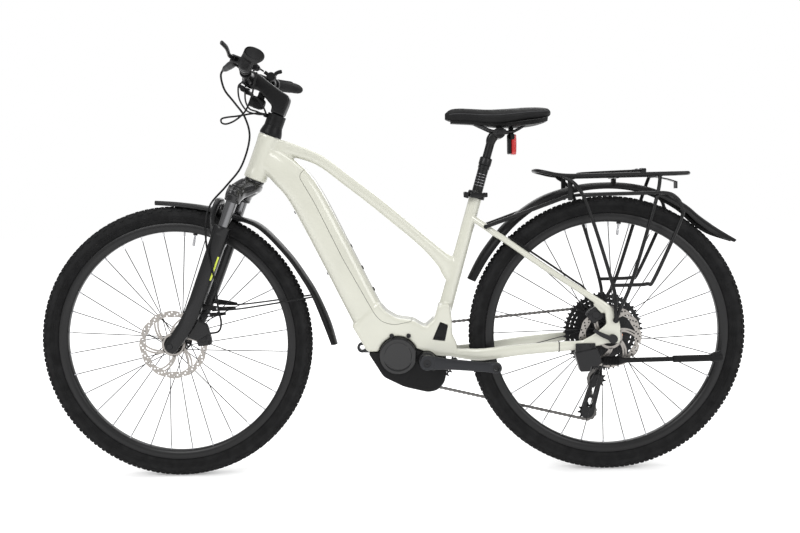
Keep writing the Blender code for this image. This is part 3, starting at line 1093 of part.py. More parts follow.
lever_boss = rod(steer(*LEVER_AXLE[:2], lever_low), steer(*LEVER_AXLE[:2], lever_high), 0.0066, 10)
lever_hole = rod(steer(*LEVER_AXLE[:2], 0.72), steer(*LEVER_AXLE[:2], 0.77), 0.0032, 6)
for name, flip in (("right", False), ("left", True)):
    pieces = [mirrored(p) if flip else p for p in brake_pieces]
    cuts = [mirrored(p) if flip else p for p in (lever_space, bar_hole(0.150, 0.190))]
    pins = [mirrored(brake_pin) if flip else brake_pin]
    solid("brake_body_" + name, DARK_ALLOY, pieces, cuts, pins=pins)
    pieces = [mirrored(p) if flip else p for p in (blade, lever_boss, lever_hole)]
    sign = -1 if flip else 1
    lever_point = steer(LEVER_AXLE[0], sign * LEVER_AXLE[1], LEVER_AXLE[2])
    solid("brake_lever_" + name, DARK_ALLOY, pieces[:2], pieces[2:], pivot=lever_point)

# Right: gear shifter with its thumb paddle. Left: remote with a button, and a bell
POD = (0.0750, 0.7520)
pod_pin = rod(steer(POD[0], 0.140, POD[1]), steer(POD[0], 0.1560, POD[1]), 0.0028, 6)
shifter = [on_bar(0.1310, 0.1430, 0.0160, 10)]
shifter.append(rod(steer(POD[0], 0.1240, POD[1]), steer(POD[0], 0.1480, POD[1]), 0.0120, 12))
shifter.append(rod(steer(0.0780, 0.1350, 0.7520), steer(0.0970, 0.1330, 0.7580), 0.0050, 6))
shifter.append(pod_pin)
solid("shifter_body", PLASTIC, shifter, [bar_hole(0.1150, 0.165)])
paddle_hub = rod(steer(POD[0], 0.1485, POD[1]), steer(POD[0], 0.1535, POD[1]), 0.0085, 10)
paddle = steer_beam([
    (0.0735, 0.1510, 0.7560, 0.0120, 0.0045), (0.0680, 0.1510, 0.7680, 0.0100, 0.0040),
    (0.0590, 0.1520, 0.7750, 0.0110, 0.0040),
], sides=8, square=0.7, across=STEER_AHEAD)
solid("shifter_paddle", PLASTIC, [paddle_hub, paddle],
      [rod(steer(POD[0], 0.144, POD[1]), steer(POD[0], 0.170, POD[1]), 0.0033, 6)],
      pivot=steer(POD[0], 0.1510, POD[1]))

remote = [mirrored(on_bar(0.1380, 0.1500, 0.0158, 10))]
remote.append(steer_block((0.0530, -0.1580, 0.7340), (0.0780, -0.1320, 0.7500), 0.002))
button_low, button_high = (0.0500, -0.1515, 0.7380), (0.0560, -0.1385, 0.7460)
pocket = steer_block([v - 0.0004 for v in button_low], [v + 0.0004 for v in button_high])
pocket_run = steer_block((0.0560, -0.1519, 0.7376), (0.0580, -0.1381, 0.7464))
solid("remote_body", PLASTIC, remote, [mirrored(bar_hole(0.1305, 0.170)), pocket, pocket_run])
solid("remote_button", PLASTIC, [steer_block(button_low, button_high)])

bell = [mirrored(on_bar(0.0950, 0.1050, 0.0150, 8))]
bell_arm = [(0.1020, -0.100, 0.7290, 0.007, 0.007), (0.1200, -0.100, 0.7350, 0.007, 0.007)]
bell.append(steer_beam(bell_arm, sides=6))
bell_cup = [(0, 0.0105), (0.0070, 0.0105), (0.0110, 0.0070)]
bell.append(turned(bell_cup, steer(0.1230, -0.100, 0.7310), STEER_UP, 10))
bell.append(rod(steer(0.1310, -0.100, 0.7370), steer(0.1370, -0.100, 0.7390), 0.0022, 5))
solid("bell", BLACK_PAINT, bell, [mirrored(bar_hole(0.0850, 0.115))])

slab = [(0.0835, 0.6775), (0.1150, 0.6875), (0.1160, 0.6925)]
slab += [(0.1130, 0.6965), (0.0822, 0.6870), (0.0808, 0.6815)]
display = [extrude(slab, -0.0300, 0.0300, steered)]
display.append(steer_block((0.0895, -0.0080, 0.6860), (0.0985, 0.0080, 0.6946)))
display.append(rod(steer(0.0950, -0.0600, 0.6845), steer(0.0950, -0.0290, 0.6845), 0.0052, 10))
solid("display_unit", PLASTIC, display)

lamp = [turned([(0, 0.0110), (0.0060, 0.0145), (0.0360, 0.0150), (0.0380, 0.0140)],
               steer(0.0400, 0, 0.6675), STEER_AHEAD, 14)]
lamp_neck = [(0.0460, 0.6780), (0.0640, 0.6780), (0.0640, 0.6962), (0.0460, 0.6872)]
lamp.append(extrude(lamp_neck, -0.005, 0.005, steered))
solid("headlight", PLASTIC, lamp)

# Cables into the headset cover, and the front brake's hose down to its caliper
CABLE = 0.0023
entry = steer_block((0.0248, -0.0075, 0.6400), (0.0330, 0.0075, 0.6500))
loop_line = [(0.0565, -0.1360, 0.7312), (0.0580, -0.1120, 0.7020), (0.0620, -0.0780, 0.6720)]
loop_line += [(0.0700, -0.0560, 0.6350), (0.0880, -0.0450, 0.6060), (0.1080, -0.0370, 0.5890)]
loop_line += [(0.1230, -0.0300, 0.5870), (0.1280, -0.0250, 0.5960), (0.1170, -0.0210, 0.6050)]
loop_line += [(0.0940, -0.0170, 0.6170), (0.0670, -0.0110, 0.6330)]
loop_line += [(0.0450, -0.0050, 0.6440), (0.0310, -0.0035, 0.6465)]
brake_line = [(0.1372, 0.1218, 0.7119), (0.1423, 0.1142, 0.7081), (0.1440, 0.1010, 0.6930)]
brake_line += [(0.1250, 0.0800, 0.6620), (0.0900, 0.0500, 0.6400)]
brake_line += [(0.0550, 0.0160, 0.6400), (0.0310, 0.0040, 0.6460)]
shift_line = [(0.0990, 0.1328, 0.7586), (0.1200, 0.1290, 0.7580), (0.1300, 0.1100, 0.7200)]
shift_line += [(0.1120, 0.0780, 0.6720), (0.0850, 0.0420, 0.6480)]
shift_line += [(0.0550, 0.0080, 0.6460), (0.0310, 0, 0.6440)]
wire_line = [(0.0890, -0.0345, 0.6790), (0.0600, -0.0265, 0.6780), (0.0400, -0.0250, 0.6650)]
wire_line += [(0.0270, -0.0160, 0.6500), (0.0290, -0.0060, 0.6450)]
cables = [entry]
for line in (loop_line, brake_line, shift_line, wire_line):
    cables.append(tube([steer(*point) for point in line], CABLE, 4))
solid("control_cables", PLASTIC, cables)

hose_line = [(0.1372, -0.1218, 0.7119), (0.1423, -0.1142, 0.7081), (0.1440, -0.1030, 0.6930)]
hose_line += [(0.1270, -0.0930, 0.6660), (0.0950, -0.0860, 0.6450)]
hose_line += [(0.0620, -0.0720, 0.6200), (0.0380, -0.0520, 0.5750)]
hose_line += [(0.0350, -0.0480, 0.5000), (0.0530, -0.0580, 0.4400), (0.0720, -0.0740, 0.3830)]
hose_line += [(0.0640, -0.0900, 0.3340), (0.0400, -0.0900, 0.2750), (-0.0040, -0.0885, 0.2060)]
hose_line += [(-0.0320, -0.0760, 0.1420), (-0.0500, -0.0560, 0.1010), (-0.0490, -0.0430, 0.0745)]
hose_line += [(-0.0313, -0.0425, 0.0623)]
solid("front_brake_hose", PLASTIC, [tube([steer(*point) for point in hose_line], 0.0026, 4)])
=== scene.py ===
"""Looks of an electric hybrid bike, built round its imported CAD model."""

import json
import math

import bmesh
import bpy
from bpy.props import FloatProperty, FloatVectorProperty, IntProperty, PointerProperty
from mathutils import Matrix, Vector
from mathutils.geometry import tessellate_polygon

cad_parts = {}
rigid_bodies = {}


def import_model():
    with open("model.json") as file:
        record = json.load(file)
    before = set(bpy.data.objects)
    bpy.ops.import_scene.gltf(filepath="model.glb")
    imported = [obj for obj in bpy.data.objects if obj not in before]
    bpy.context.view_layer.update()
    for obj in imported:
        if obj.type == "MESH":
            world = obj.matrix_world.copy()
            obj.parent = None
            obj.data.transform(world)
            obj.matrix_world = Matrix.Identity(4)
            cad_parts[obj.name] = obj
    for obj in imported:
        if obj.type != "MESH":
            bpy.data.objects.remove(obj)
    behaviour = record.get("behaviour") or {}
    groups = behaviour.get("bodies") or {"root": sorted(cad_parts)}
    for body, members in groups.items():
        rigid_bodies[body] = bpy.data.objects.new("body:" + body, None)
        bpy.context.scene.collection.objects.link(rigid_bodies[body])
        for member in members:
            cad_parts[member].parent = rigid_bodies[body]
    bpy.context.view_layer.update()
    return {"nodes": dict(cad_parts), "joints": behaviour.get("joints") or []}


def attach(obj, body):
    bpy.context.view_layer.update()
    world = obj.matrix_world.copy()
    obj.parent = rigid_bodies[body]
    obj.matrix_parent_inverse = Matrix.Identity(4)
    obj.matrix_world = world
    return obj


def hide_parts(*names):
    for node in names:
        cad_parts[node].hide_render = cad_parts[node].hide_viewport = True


bl_info = {
    "name": "Electric hybrid bike", "version": (1, 0, 0), "blender": (4, 5, 0),
    "location": "3D View > Sidebar > Bike",
    "description": "Builds the finished look of an electric hybrid bike round its CAD model",
    "category": "Object"
}

for leftover in list(bpy.data.objects):
    bpy.data.objects.remove(leftover, do_unlink=True)
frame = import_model()

# Main dimensions in metres, as the CAD has them. Front is -X, the left side is -Y
RIM_EDGE_RADIUS = 0.3168
RIM_DEPTH = 0.0228
RIM_INNER_RADIUS = RIM_EDGE_RADIUS - RIM_DEPTH
RIM_HALF = 0.0135
HEAD_LEAN = math.radians(21.5)
FORK_OFFSET = 0.051
CRANK_ANGLE = math.radians(-5.2)
CRANK_LENGTH = 0.1775
CHAIN_PITCH = 0.0127
CHAIN_Y = 0.0443
CHAINRING_TEETH = 40
COG_TEETH = (51, 45, 39, 33, 28, 24, 21, 18, 15, 13, 11)
CHAIN_COG = 3
COG_SPACING = 0.0037
PULLEY_TEETH = 11
FRONT_ROTOR_RADIUS, FRONT_ROTOR_Y = 0.090, -0.0445
REAR_ROTOR_RADIUS, REAR_ROTOR_Y = 0.080, -0.0585
ROTOR_HALF = 0.0009
FRONT_FLANGES, REAR_FLANGES = (-0.02175, 0.02975), (-0.02675, 0.02225)
SPOKES_PER_SIDE = 16
SPOKE_STEP = 360 / SPOKES_PER_SIDE
SPOKE_RADIUS = 0.0012
HUB_BORE_RADIUS = 0.0082
X, Y, Z = Vector((1, 0, 0)), Vector((0, 1, 0)), Vector((0, 0, 1))


def joint_place(name):
    """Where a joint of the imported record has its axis."""
    return Vector(next(j for j in frame["joints"] if j["name"] == name)["pos_m"])


FRONT_AXLE = joint_place("front_wheel_spin")
REAR_AXLE = joint_place("rear_wheel_spin")
CRANK_AXLE = joint_place("crank_spin")
GUIDE_PULLEY = joint_place("guide_pulley_spin")
TENSION_PULLEY = joint_place("tension_pulley_spin")
GUIDE_PULLEY.y = TENSION_PULLEY.y = 0
STAND_HINGE = joint_place("kickstand_fold")
STEER_UP = Vector((math.sin(HEAD_LEAN), 0, math.cos(HEAD_LEAN)))
STEER_AHEAD = Vector((-math.cos(HEAD_LEAN), 0, math.sin(HEAD_LEAN)))
STEER_BASE = FRONT_AXLE - STEER_AHEAD * FORK_OFFSET
SEAT_LEAN = math.atan(0.2928)
SEAT_UP = Vector((math.sin(SEAT_LEAN), 0, math.cos(SEAT_LEAN)))
SEAT_TOP = Vector((0.2365, 0, 0.742))
GEAR_HANGER = REAR_AXLE + Vector((0.0135, 0, -0.034))


def steer(ahead, y, up):
    """Point in the steering frame: ahead of the steering axis, sideways, up along it."""
    return STEER_BASE + STEER_AHEAD * ahead + STEER_UP * up + Y * y


def seat(along, y=0.0):
    """Point on the seat-tube axis, measured up from the top of the seat tube."""
    return SEAT_TOP + SEAT_UP * along + Y * y


def side(a, b, depth):
    """Point of a side-view outline."""
    return Vector((a, depth, b))


def steered(a, b, depth):
    """Point of an outline drawn in the steering frame."""
    return steer(a, depth, b)


def polar(centre, radius, degrees):
    """Side-view point at an angle from the rear (+X), turning upwards."""
    angle = math.radians(degrees)
    return centre[0] + radius * math.cos(angle), centre[1] + radius * math.sin(angle)


# Shapes. A piece is (points, faces), and one mesh can hold many closed pieces
def mirrored(piece):
    """The piece on the other side of the bike."""
    points, faces = piece
    return [Vector((v[0], -v[1], v[2])) for v in points], [tuple(reversed(f)) for f in faces]


def both(piece):
    """The piece and its mirror image across the bike."""
    return [piece, mirrored(piece)]


def loft(rings, closed=False):
    """Skin over rings of equal length, with flat ends unless it closes on itself."""
    count = len(rings[0])
    points = [point for ring in rings for point in ring]
    faces = []
    for i in range(len(rings) if closed else len(rings) - 1):
        low, high = i * count, (i + 1) % len(rings) * count
        for j in range(count):
            k = (j + 1) % count
            faces.append((low + j, low + k, high + k, high + j))
    if not closed:
        faces.append(tuple(range(count - 1, -1, -1)))
        faces.append(tuple(range(len(points) - count, len(points))))
    return points, faces


def inset(outline, distance):
    """Outline moved inwards by distance, or outwards where it is negative."""
    area = sum(a[0] * b[1] - b[0] * a[1] for a, b in zip(outline, outline[1:] + outline[:1]))
    turn = 1 if area > 0 else -1
    moved = []
    for i, here in enumerate(outline):
        back, on = outline[i - 1], outline[(i + 1) % len(outline)]
        one = Vector((here[0] - back[0], here[1] - back[1])).normalized()
        two = Vector((on[0] - here[0], on[1] - here[1])).normalized()
        one, two = Vector((-one.y, one.x)) * turn, Vector((-two.y, two.x)) * turn
        middle = (one + two).normalized()
        reach = distance / max(middle.dot(one), 0.35)
        moved.append((here[0] + middle.x * reach, here[1] + middle.y * reach))
    return moved


def refined(values, steps, closed=False):
    """Smooth curve through rows of numbers, with steps pieces between two of them."""
    count = len(values)
    result = []
    for i in range(count if closed else count - 1):
        if closed:
            rows = [values[(i + k) % count] for k in (-1, 0, 1, 2)]
        else:
            rows = [values[min(max(i + k, 0), count - 1)] for k in (-1, 0, 1, 2)]
        for step in range(steps):
            t = step / steps
            row = []
            for a, b, c, d in zip(*rows):
                curve = 2 * b + (c - a) * t + (2 * a - 5 * b + 4 * c - d) * t * t
                row.append((curve + (3 * b - a - 3 * c + d) * t ** 3) / 2)
            result.append(row)
    if not closed:
        result.append(list(values[-1]))
    return result


def rounded(outline, radius, steps=4):
    """Outline with each corner cut to a round of about that radius."""
    result = []
    for i, here in enumerate(outline):
        back, on, here = Vector(outline[i - 1]), Vector(outline[(i + 1) % len(outline)]), Vector(here)
        one = here + (back - here).normalized() * min(radius, (back - here).length * 0.45)
        two = here + (on - here).normalized() * min(radius, (on - here).length * 0.45)
        for k in range(steps + 1):
            t = k / steps
            point = one * (1 - t) ** 2 + here * 2 * t * (1 - t) + two * t * t
            result.append((point.x, point.y))
    return result


def extrude(outline, near, far, place=side, bevel=0.0):
    """Flat outline given depth from near to far, with rounded edges where asked."""
    if not bevel:
        return loft([[place(a, b, depth) for a, b in outline] for depth in (near, far)])
    sign = 1 if far > near else -1
    levels = []
    for k in range(4):
        angle = math.pi / 2 * k / 3
        levels.append((bevel * (1 - math.sin(angle)), near + sign * bevel * (1 - math.cos(angle))))
    levels += [(back, far + near - depth) for back, depth in levels[::-1]]
    return loft([[place(a, b, depth) for a, b in inset(outline, back)] for back, depth in levels])


def plate(loops, near, far, place=side):
    """Flat sheet between two depths: the first loop is its edge, the others are holes."""
    flat = [point for loop in loops for point in loop]
    triangles = tessellate_polygon([[Vector((a, b, 0)) for a, b in loop] for loop in loops])
    count = len(flat)
    points = [place(a, b, depth) for depth in (near, far) for a, b in flat]
    faces = [tuple(t) for t in triangles]
    faces += [tuple(i + count for i in reversed(t)) for t in triangles]
    start = 0
    for loop in loops:
        for j in range(len(loop)):
            k = (j + 1) % len(loop)
            faces.append((start + j, start + k, start + k + count, start + j + count))
        start += len(loop)
    return points, faces


def circle(centre, radius, sides=16):
    """Round outline or hole."""
    return [polar(centre, radius, 360 * k / sides) for k in range(sides)]


def frames_along(path, closed=False):
    """Run, across and other directions at each point of a path, without twist."""
    count = len(path)
    runs = []
    for i in range(count):
        if closed:
            runs.append((path[(i + 1) % count] - path[i - 1]).normalized())
        else:
            runs.append((path[min(i + 1, count - 1)] - path[max(i - 1, 0)]).normalized())
    start = Z if abs(runs[0].z) < 0.9 else X
    across = (start - runs[0] * start.dot(runs[0])).normalized()
    result = []
    for run in runs:
        across = (across - run * across.dot(run)).normalized()
        result.append((run, across, run.cross(across)))
    return result


def tube(points, radius, sides=16, steps=6, closed=False):
    """Round bar along points; radius is one number or one for each point."""
    sizes = radius if isinstance(radius, (list, tuple)) else [radius] * len(points)
    rows = [(*point, size) for point, size in zip(points, sizes)]
    if steps > 1:
        rows = refined(rows, steps, closed)
    path = [Vector(row[:3]) for row in rows]
    rings = []
    for point, row, (_, across, other) in zip(path, rows, frames_along(path, closed)):
        angles = (2 * math.pi * k / sides for k in range(sides))
        rings.append([point + (across * math.cos(a) + other * math.sin(a)) * row[3] for a in angles])
    return loft(rings, closed)


def beam(stations, sides=32, square=0.7, steps=4, across=Y):
    """Bar with a rounded box section; a station is x, y, z, width across and depth."""
    rows = refined(stations, steps) if steps > 1 else [list(row) for row in stations]
    path = [Vector(row[:3]) for row in rows]
    rings = []
    for i, point in enumerate(path):
        run = (path[min(i + 1, len(path) - 1)] - path[max(i - 1, 0)]).normalized()
        wide = (across - run * across.dot(run)).normalized()
        deep = run.cross(wide)
        ring = []
        for k in range(sides):
            angle = 2 * math.pi * (k + 0.5) / sides
            c, s = math.cos(angle), math.sin(angle)
            a = math.copysign(abs(c) ** square, c) * rows[i][3] / 2
            b = math.copysign(abs(s) ** square, s) * rows[i][4] / 2
            ring.append(point + wide * a + deep * b)
        rings.append(ring)
    return loft(rings)


def steer_beam(stations, **options):
    """Beam whose stations are given in the steering frame: ahead, y, up, width, depth."""
    return beam([(*steer(*row[:3]), *row[3:]) for row in stations], **options)


def round_axes(axis):
    """Two directions square to an axis and to each other."""
    reference = Z if abs(axis.z) < 0.9 else X
    one = (reference - axis * reference.dot(axis)).normalized()
    return one, axis.cross(one)


def turned(profile, start, axis, sides=32, phase=0.0):
    """Solid of revolution; profile is (along, radius) from one flat end to the other."""
    one, two = round_axes(axis)
    angles = [2 * math.pi * k / sides + phase for k in range(sides)]
    return loft(
        [
            [start + axis * along + (one * math.cos(a) + two * math.sin(a)) * radius for a in angles]
            for along, radius in profile
        ]
    )


def ringed(section, start, axis, sides=96):
    """Ring with a closed (along, radius) section round an axis."""
    one, two = round_axes(axis)
    rings = []
    for k in range(sides):
        angle = 2 * math.pi * k / sides
        out = one * math.cos(angle) + two * math.sin(angle)
        rings.append([start + axis * along + out * radius for along, radius in section])
    return loft(rings, closed=True)


def rod(start, end, radius, sides=24, edge=0.0):
    """Cylinder between two points, its end edges chamfered where asked."""
    start, end = Vector(start), Vector(end)
    length = (end - start).length
    profile = [(0, radius - edge), (edge, radius), (length - edge, radius), (length, radius - edge)]
    if not edge:
        profile = [(0, radius), (length, radius)]
    return turned(profile, start, (end - start).normalized(), sides)


def across_rod(point, near, far, radius, sides=32, edge=0.0):
    """Cylinder along Y through a point given in the side view."""
    return rod((point[0], near, point[2]), (point[0], far, point[2]), radius, sides, edge)


def block(low, high, bevel=0.0, frame_of=side):
    """Box between two corners given as (along, across, up)."""
    outline = [(low[0], low[2]), (high[0], low[2]), (high[0], high[2]), (low[0], high[2])]
    if bevel:
        outline = rounded(outline, bevel * 1.5)
    return extrude(outline, low[1], high[1], frame_of, bevel * 0.6)


def steer_block(low, high, bevel=0.0):
    """Box between two corners given in the steering frame."""
    return block(low, high, bevel, steered)


def handed(pieces, left):
    """The pieces, mirrored where they are for the left side."""
    return [mirrored(piece) for piece in pieces] if left else pieces


def screw(point, out, radius, head=0.003):
    """Socket screw head standing on a surface, with a recess."""
    profile = [
        (0, radius), (head * 0.7, radius), (head, radius * 0.82), (head, radius * 0.5),
        (head * 0.4, radius * 0.45)
    ]
    return turned(profile, Vector(point), out, 18)


# Meshes and objects
def join(pieces):
    """One mesh from closed pieces, its faces turned outwards."""
    points, faces = [], []
    for piece in pieces:
        start = len(points)
        points += [tuple(v) for v in piece[0]]
        faces += [tuple(i + start for i in face) for face in piece[1]]
    mesh = bpy.data.meshes.new("piece")
    mesh.from_pydata(points, [], faces)
    shape = bmesh.new()
    shape.from_mesh(mesh)
    bmesh.ops.recalc_face_normals(shape, faces=shape.faces)
    shape.to_mesh(mesh)
    shape.free()
    return mesh


def added(name, data):
    """New object with that data, put into the scene."""
    obj = bpy.data.objects.new(name, data)
    bpy.context.scene.collection.objects.link(obj)
    return obj


def taken(obj):
    """Copy of an object's mesh; the object itself goes."""
    mesh = obj.data.copy()
    bpy.data.objects.remove(obj, do_unlink=True)
    return mesh


def evaluated(obj):
    """The object with its modifiers made into its own mesh."""
    bpy.context.view_layer.update()
    graph = bpy.context.evaluated_depsgraph_get()
    made = bpy.data.meshes.new_from_object(obj.evaluated_get(graph))
    obj.modifiers.clear()
    obj.data = made


def place(name, mesh, material, body, replaces=(), slot=None, angle=32):
    """Object of one mesh that rides on a body and may stand for CAD nodes."""
    mesh.name = name
    obj = added(name, mesh)
    mesh.shade_smooth()
    mesh.set_sharp_from_angle(angle=math.radians(angle))
    mesh.materials.clear()
    mesh.materials.append(material)
    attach(obj, body)
    if replaces:
        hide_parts(*replaces)
    return obj


def add_boolean(obj, operation, pieces):
    """Object cut by the pieces, or cut down to what lies in them."""
    helper = added("helper", join(pieces))
    modifier = obj.modifiers.new(operation, "BOOLEAN")
    modifier.operation = operation
    modifier.solver = "MANIFOLD"
    modifier.object = helper
    evaluated(obj)
    bpy.data.objects.remove(helper, do_unlink=True)


def fused_mesh(pieces, voxel, rounds, cuts=()):
    """Pieces melted into one skin with soft joins, then cut with sharp edges."""
    obj = added("fused", join(pieces))
    remesh = obj.modifiers.new("Melt", "REMESH")
    remesh.mode = "VOXEL"
    remesh.voxel_size = voxel
    smooth = obj.modifiers.new("Soften", "SMOOTH")
    smooth.factor = 0.5
    smooth.iterations = rounds
    evaluated(obj)
    for cut in cuts:
        add_boolean(obj, "DIFFERENCE", [cut])
    return taken(obj)


# Sizes and colours that a user may change
def size_property(name, description, default):
    """Length that is never below zero."""
    return FloatProperty(
        name=name, description=description, default=default, min=0.0, unit="LENGTH", precision=4
    )


def colour_property(name, description, default):
    """Linear colour."""
    return FloatVectorProperty(
        name=name, description=description, default=default, size=3, subtype="COLOR", min=0.0, max=1.0
    )


class BikeSizes(bpy.types.PropertyGroup):
    """Sizes of details that the CAD leaves to the looks."""
    tread_pitches: IntProperty(
        name="Tread pitches", description="Tread blocks in one row round a tyre", default=84, min=12,
        max=160
    )
    cable_radius: size_property("Cable radius", "Half the thickness of a control cable's sheath", 0.0023)
    hose_radius: size_property("Hose radius", "Half the thickness of a brake hose", 0.0026)
    shut_gap: size_property("Shut gap", "Gap round the battery cover on the down tube", 0.0011)
    melt_size: size_property("Weld size", "Mesh size at which the frame's tubes are melted together", 0.0022)
    floor_size: size_property("Floor size", "Length of each side of the floor", 30.0)


class BikeColours(bpy.types.PropertyGroup):
    """Colours of the finishes."""
    frame: colour_property("Frame", "Lacquer of the frame and battery cover", (0.58, 0.58, 0.50))
    fittings: colour_property(
        "Fittings", "Powder coat of the rack, bar, stem and post", (0.0050, 0.0050, 0.0054)
    )
    fork: colour_property("Fork", "Enamel of the suspension fork", (0.0070, 0.0070, 0.0076))
    rims: colour_property("Rims", "Anodising of the rims", (0.0070, 0.0070, 0.0075))
    plastic: colour_property("Plastic", "Moulded covers, mudguards and controls", (0.0055, 0.0055, 0.0059))
    tyres: colour_property("Tyres", "Tyre rubber", (0.0085, 0.0085, 0.0089))
    grips: colour_property("Grips", "Handlebar grips", (0.0120, 0.0120, 0.0124))
    saddle: colour_property("Saddle", "Saddle cover", (0.0055, 0.0055, 0.0058))
    steel: colour_property("Steel", "Cogs and rollers", (0.40, 0.40, 0.41))
    discs: colour_property("Discs", "Brake discs", (0.33, 0.31, 0.29))
    alloy: colour_property("Alloy", "Brake and gear bodies", (0.0120, 0.0120, 0.0130))
    cranks: colour_property("Cranks", "Anodising of the crank arms", (0.0240, 0.0250, 0.0280))
    accents: colour_property("Accents", "Axle ends and small marks", (0.85, 0.20, 0.02))
    tail_lamp: colour_property("Tail lamp", "Rear lamp lens", (0.45, 0.015, 0.015))


# Finishes: every one is a small node tree with its own grain, tone drift and bump
def new_finish(name):
    """Material with its tree, its main shader and the place on the piece."""
    material = bpy.data.materials.new(name)
    material.use_nodes = True
    tree = material.node_tree
    return material, tree, tree.nodes["Principled BSDF"], tree.nodes.new(
        "ShaderNodeTexCoord"
    ).outputs["Object"]


def shader_node(tree, kind, values, links):
    """New shader node with some inputs set and others linked."""
    node = tree.nodes.new("ShaderNode" + kind)
    for name, value in values.items():
        node.inputs[name].default_value = value
    for name, socket in links.items():
        tree.links.new(socket, node.inputs[name])
    return node


def noise_at(tree, coords, scale, detail=3.0):
    """Noise value over the piece."""
    return shader_node(
        tree, "TexNoise", {"Scale": scale, "Detail": detail}, {"Vector": coords}
    ).outputs["Fac"]


def spread(tree, value, low, high, start=0.3, end=0.7):
    """Value mapped from start..end onto low..high."""
    ends = {"From Min": start, "From Max": end, "To Min": low, "To Max": high}
    return shader_node(tree, "MapRange", ends, {"Value": value}).outputs["Result"]


def tint(tree, value, dark, light):
    """Colour between dark and light."""
    node = tree.nodes.new("ShaderNodeMix")
    node.data_type = "RGBA"
    node.inputs["A"].default_value = (*dark, 1)
    node.inputs["B"].default_value = (*light, 1)
    tree.links.new(value, node.inputs["Factor"])
    return node.outputs["Result"]


def add_bump(tree, shader, height, strength, distance):
    """Relief of the surface."""
    bump = shader_node(tree, "Bump", {"Strength": strength, "Distance": distance}, {"Height": height})
    tree.links.new(bump.outputs["Normal"], shader.inputs["Normal"])


def set_inputs(shader, **values):
    """Inputs of a shader, an underscore standing for the space in a name."""
    for name, value in values.items():
        shader.inputs[name.replace("_", " ")].default_value = value


def shade_pair(colour, drift):
    """A little darker and a little lighter than the colour."""
    return [max(c * (1 - drift), 0) for c in colour[:3]], [min(c * (1 + drift), 1) for c in colour[:3]]


def painted(name, colour, roughness, coat, flake=0.0, shine=0.5):
    """Sprayed paint under lacquer: faint orange peel and, for metallics, fine flake."""
    material, tree, shader, coords = new_finish(name)
    dark, light = shade_pair(colour, 0.035)
    cloud = spread(tree, noise_at(tree, coords, 9.0), 0, 1)
    tree.links.new(tint(tree, cloud, dark, light), shader.inputs["Base Color"])
    grain = noise_at(tree, coords, 2600.0, 1.0)
    tree.links.new(spread(tree, grain, roughness * 0.85, roughness * 1.2), shader.inputs["Roughness"])
    set_inputs(shader, Metallic=flake, Specular_IOR_Level=shine, Coat_Weight=coat, Coat_Roughness=0.06)
    add_bump(tree, shader, noise_at(tree, coords, 420.0, 2.0), 0.02, 0.0002)
    return material


def moulded(name, colour, roughness, grain_size=1500.0, depth=0.22, dust=0.0):
    """Moulded plastic or rubber with an eroded grain and dusty, worn patches."""
    material, tree, shader, coords = new_finish(name)
    dark, light = shade_pair(colour, 0.14)
    light = [min(c + dust, 1) for c in light]
    cloud = spread(tree, noise_at(tree, coords, 38.0, 6.0), 0, 1, 0.32, 0.74)
    tree.links.new(tint(tree, cloud, dark, light), shader.inputs["Base Color"])
    grain = noise_at(tree, coords, grain_size, 2.0)
    tree.links.new(
        spread(tree, grain, roughness * 0.88, min(roughness * 1.15, 1)), shader.inputs["Roughness"]
    )
    set_inputs(shader, Specular_IOR_Level=0.17)
    add_bump(tree, shader, grain, depth, 0.0003)
    return material


def metal(name, colour, roughness, metallic=1.0, scale=900.0, depth=0.08):
    """Ground or anodised metal with a fine grain in its tone, gloss and relief."""
    material, tree, shader, coords = new_finish(name)
    dark, light = shade_pair(colour, 0.10)
    grain = noise_at(tree, coords, scale, 4.0)
    tree.links.new(tint(tree, spread(tree, grain, 0, 1), dark, light), shader.inputs["Base Color"])
    tree.links.new(spread(tree, grain, roughness * 0.75, roughness * 1.3), shader.inputs["Roughness"])
    set_inputs(shader, Metallic=metallic)
    add_bump(tree, shader, grain, depth, 0.0002)
    return material


def stitched_cover(name, colour, roughness):
    """Saddle cover: pebbled synthetic leather."""
    material, tree, shader, coords = new_finish(name)
    cells = shader_node(tree, "TexVoronoi", {"Scale": 620.0}, {"Vector": coords})
    dark, light = shade_pair(colour, 0.18)
    cloud = spread(tree, noise_at(tree, coords, 30.0, 5.0), 0, 1)
    tree.links.new(tint(tree, cloud, dark, light), shader.inputs["Base Color"])
    rough = spread(tree, noise_at(tree, coords, 60.0), roughness * 0.85, roughness * 1.15)
    tree.links.new(rough, shader.inputs["Roughness"])
    set_inputs(shader, Specular_IOR_Level=0.19)
    add_bump(tree, shader, cells.outputs["Distance"], 0.45, 0.0006)
    return material


def lens(name, colour, roughness, glow=0.0):
    """Coloured lamp lens with prism ribs."""
    material, tree, shader, coords = new_finish(name)
    ribs = shader_node(tree, "TexWave", {"Scale": 180.0}, {"Vector": coords})
    dark, light = shade_pair(colour, 0.22)
    tree.links.new(tint(tree, ribs.outputs["Fac"], dark, light), shader.inputs["Base Color"])
    grain = spread(tree, noise_at(tree, coords, 300.0), roughness * 0.8, roughness * 1.3)
    tree.links.new(grain, shader.inputs["Roughness"])
    set_inputs(shader, Coat_Weight=0.6, Emission_Color=(*colour, 1), Emission_Strength=glow)
    add_bump(tree, shader, ribs.outputs["Fac"], 0.3, 0.0005)
    return material


finishes = {}


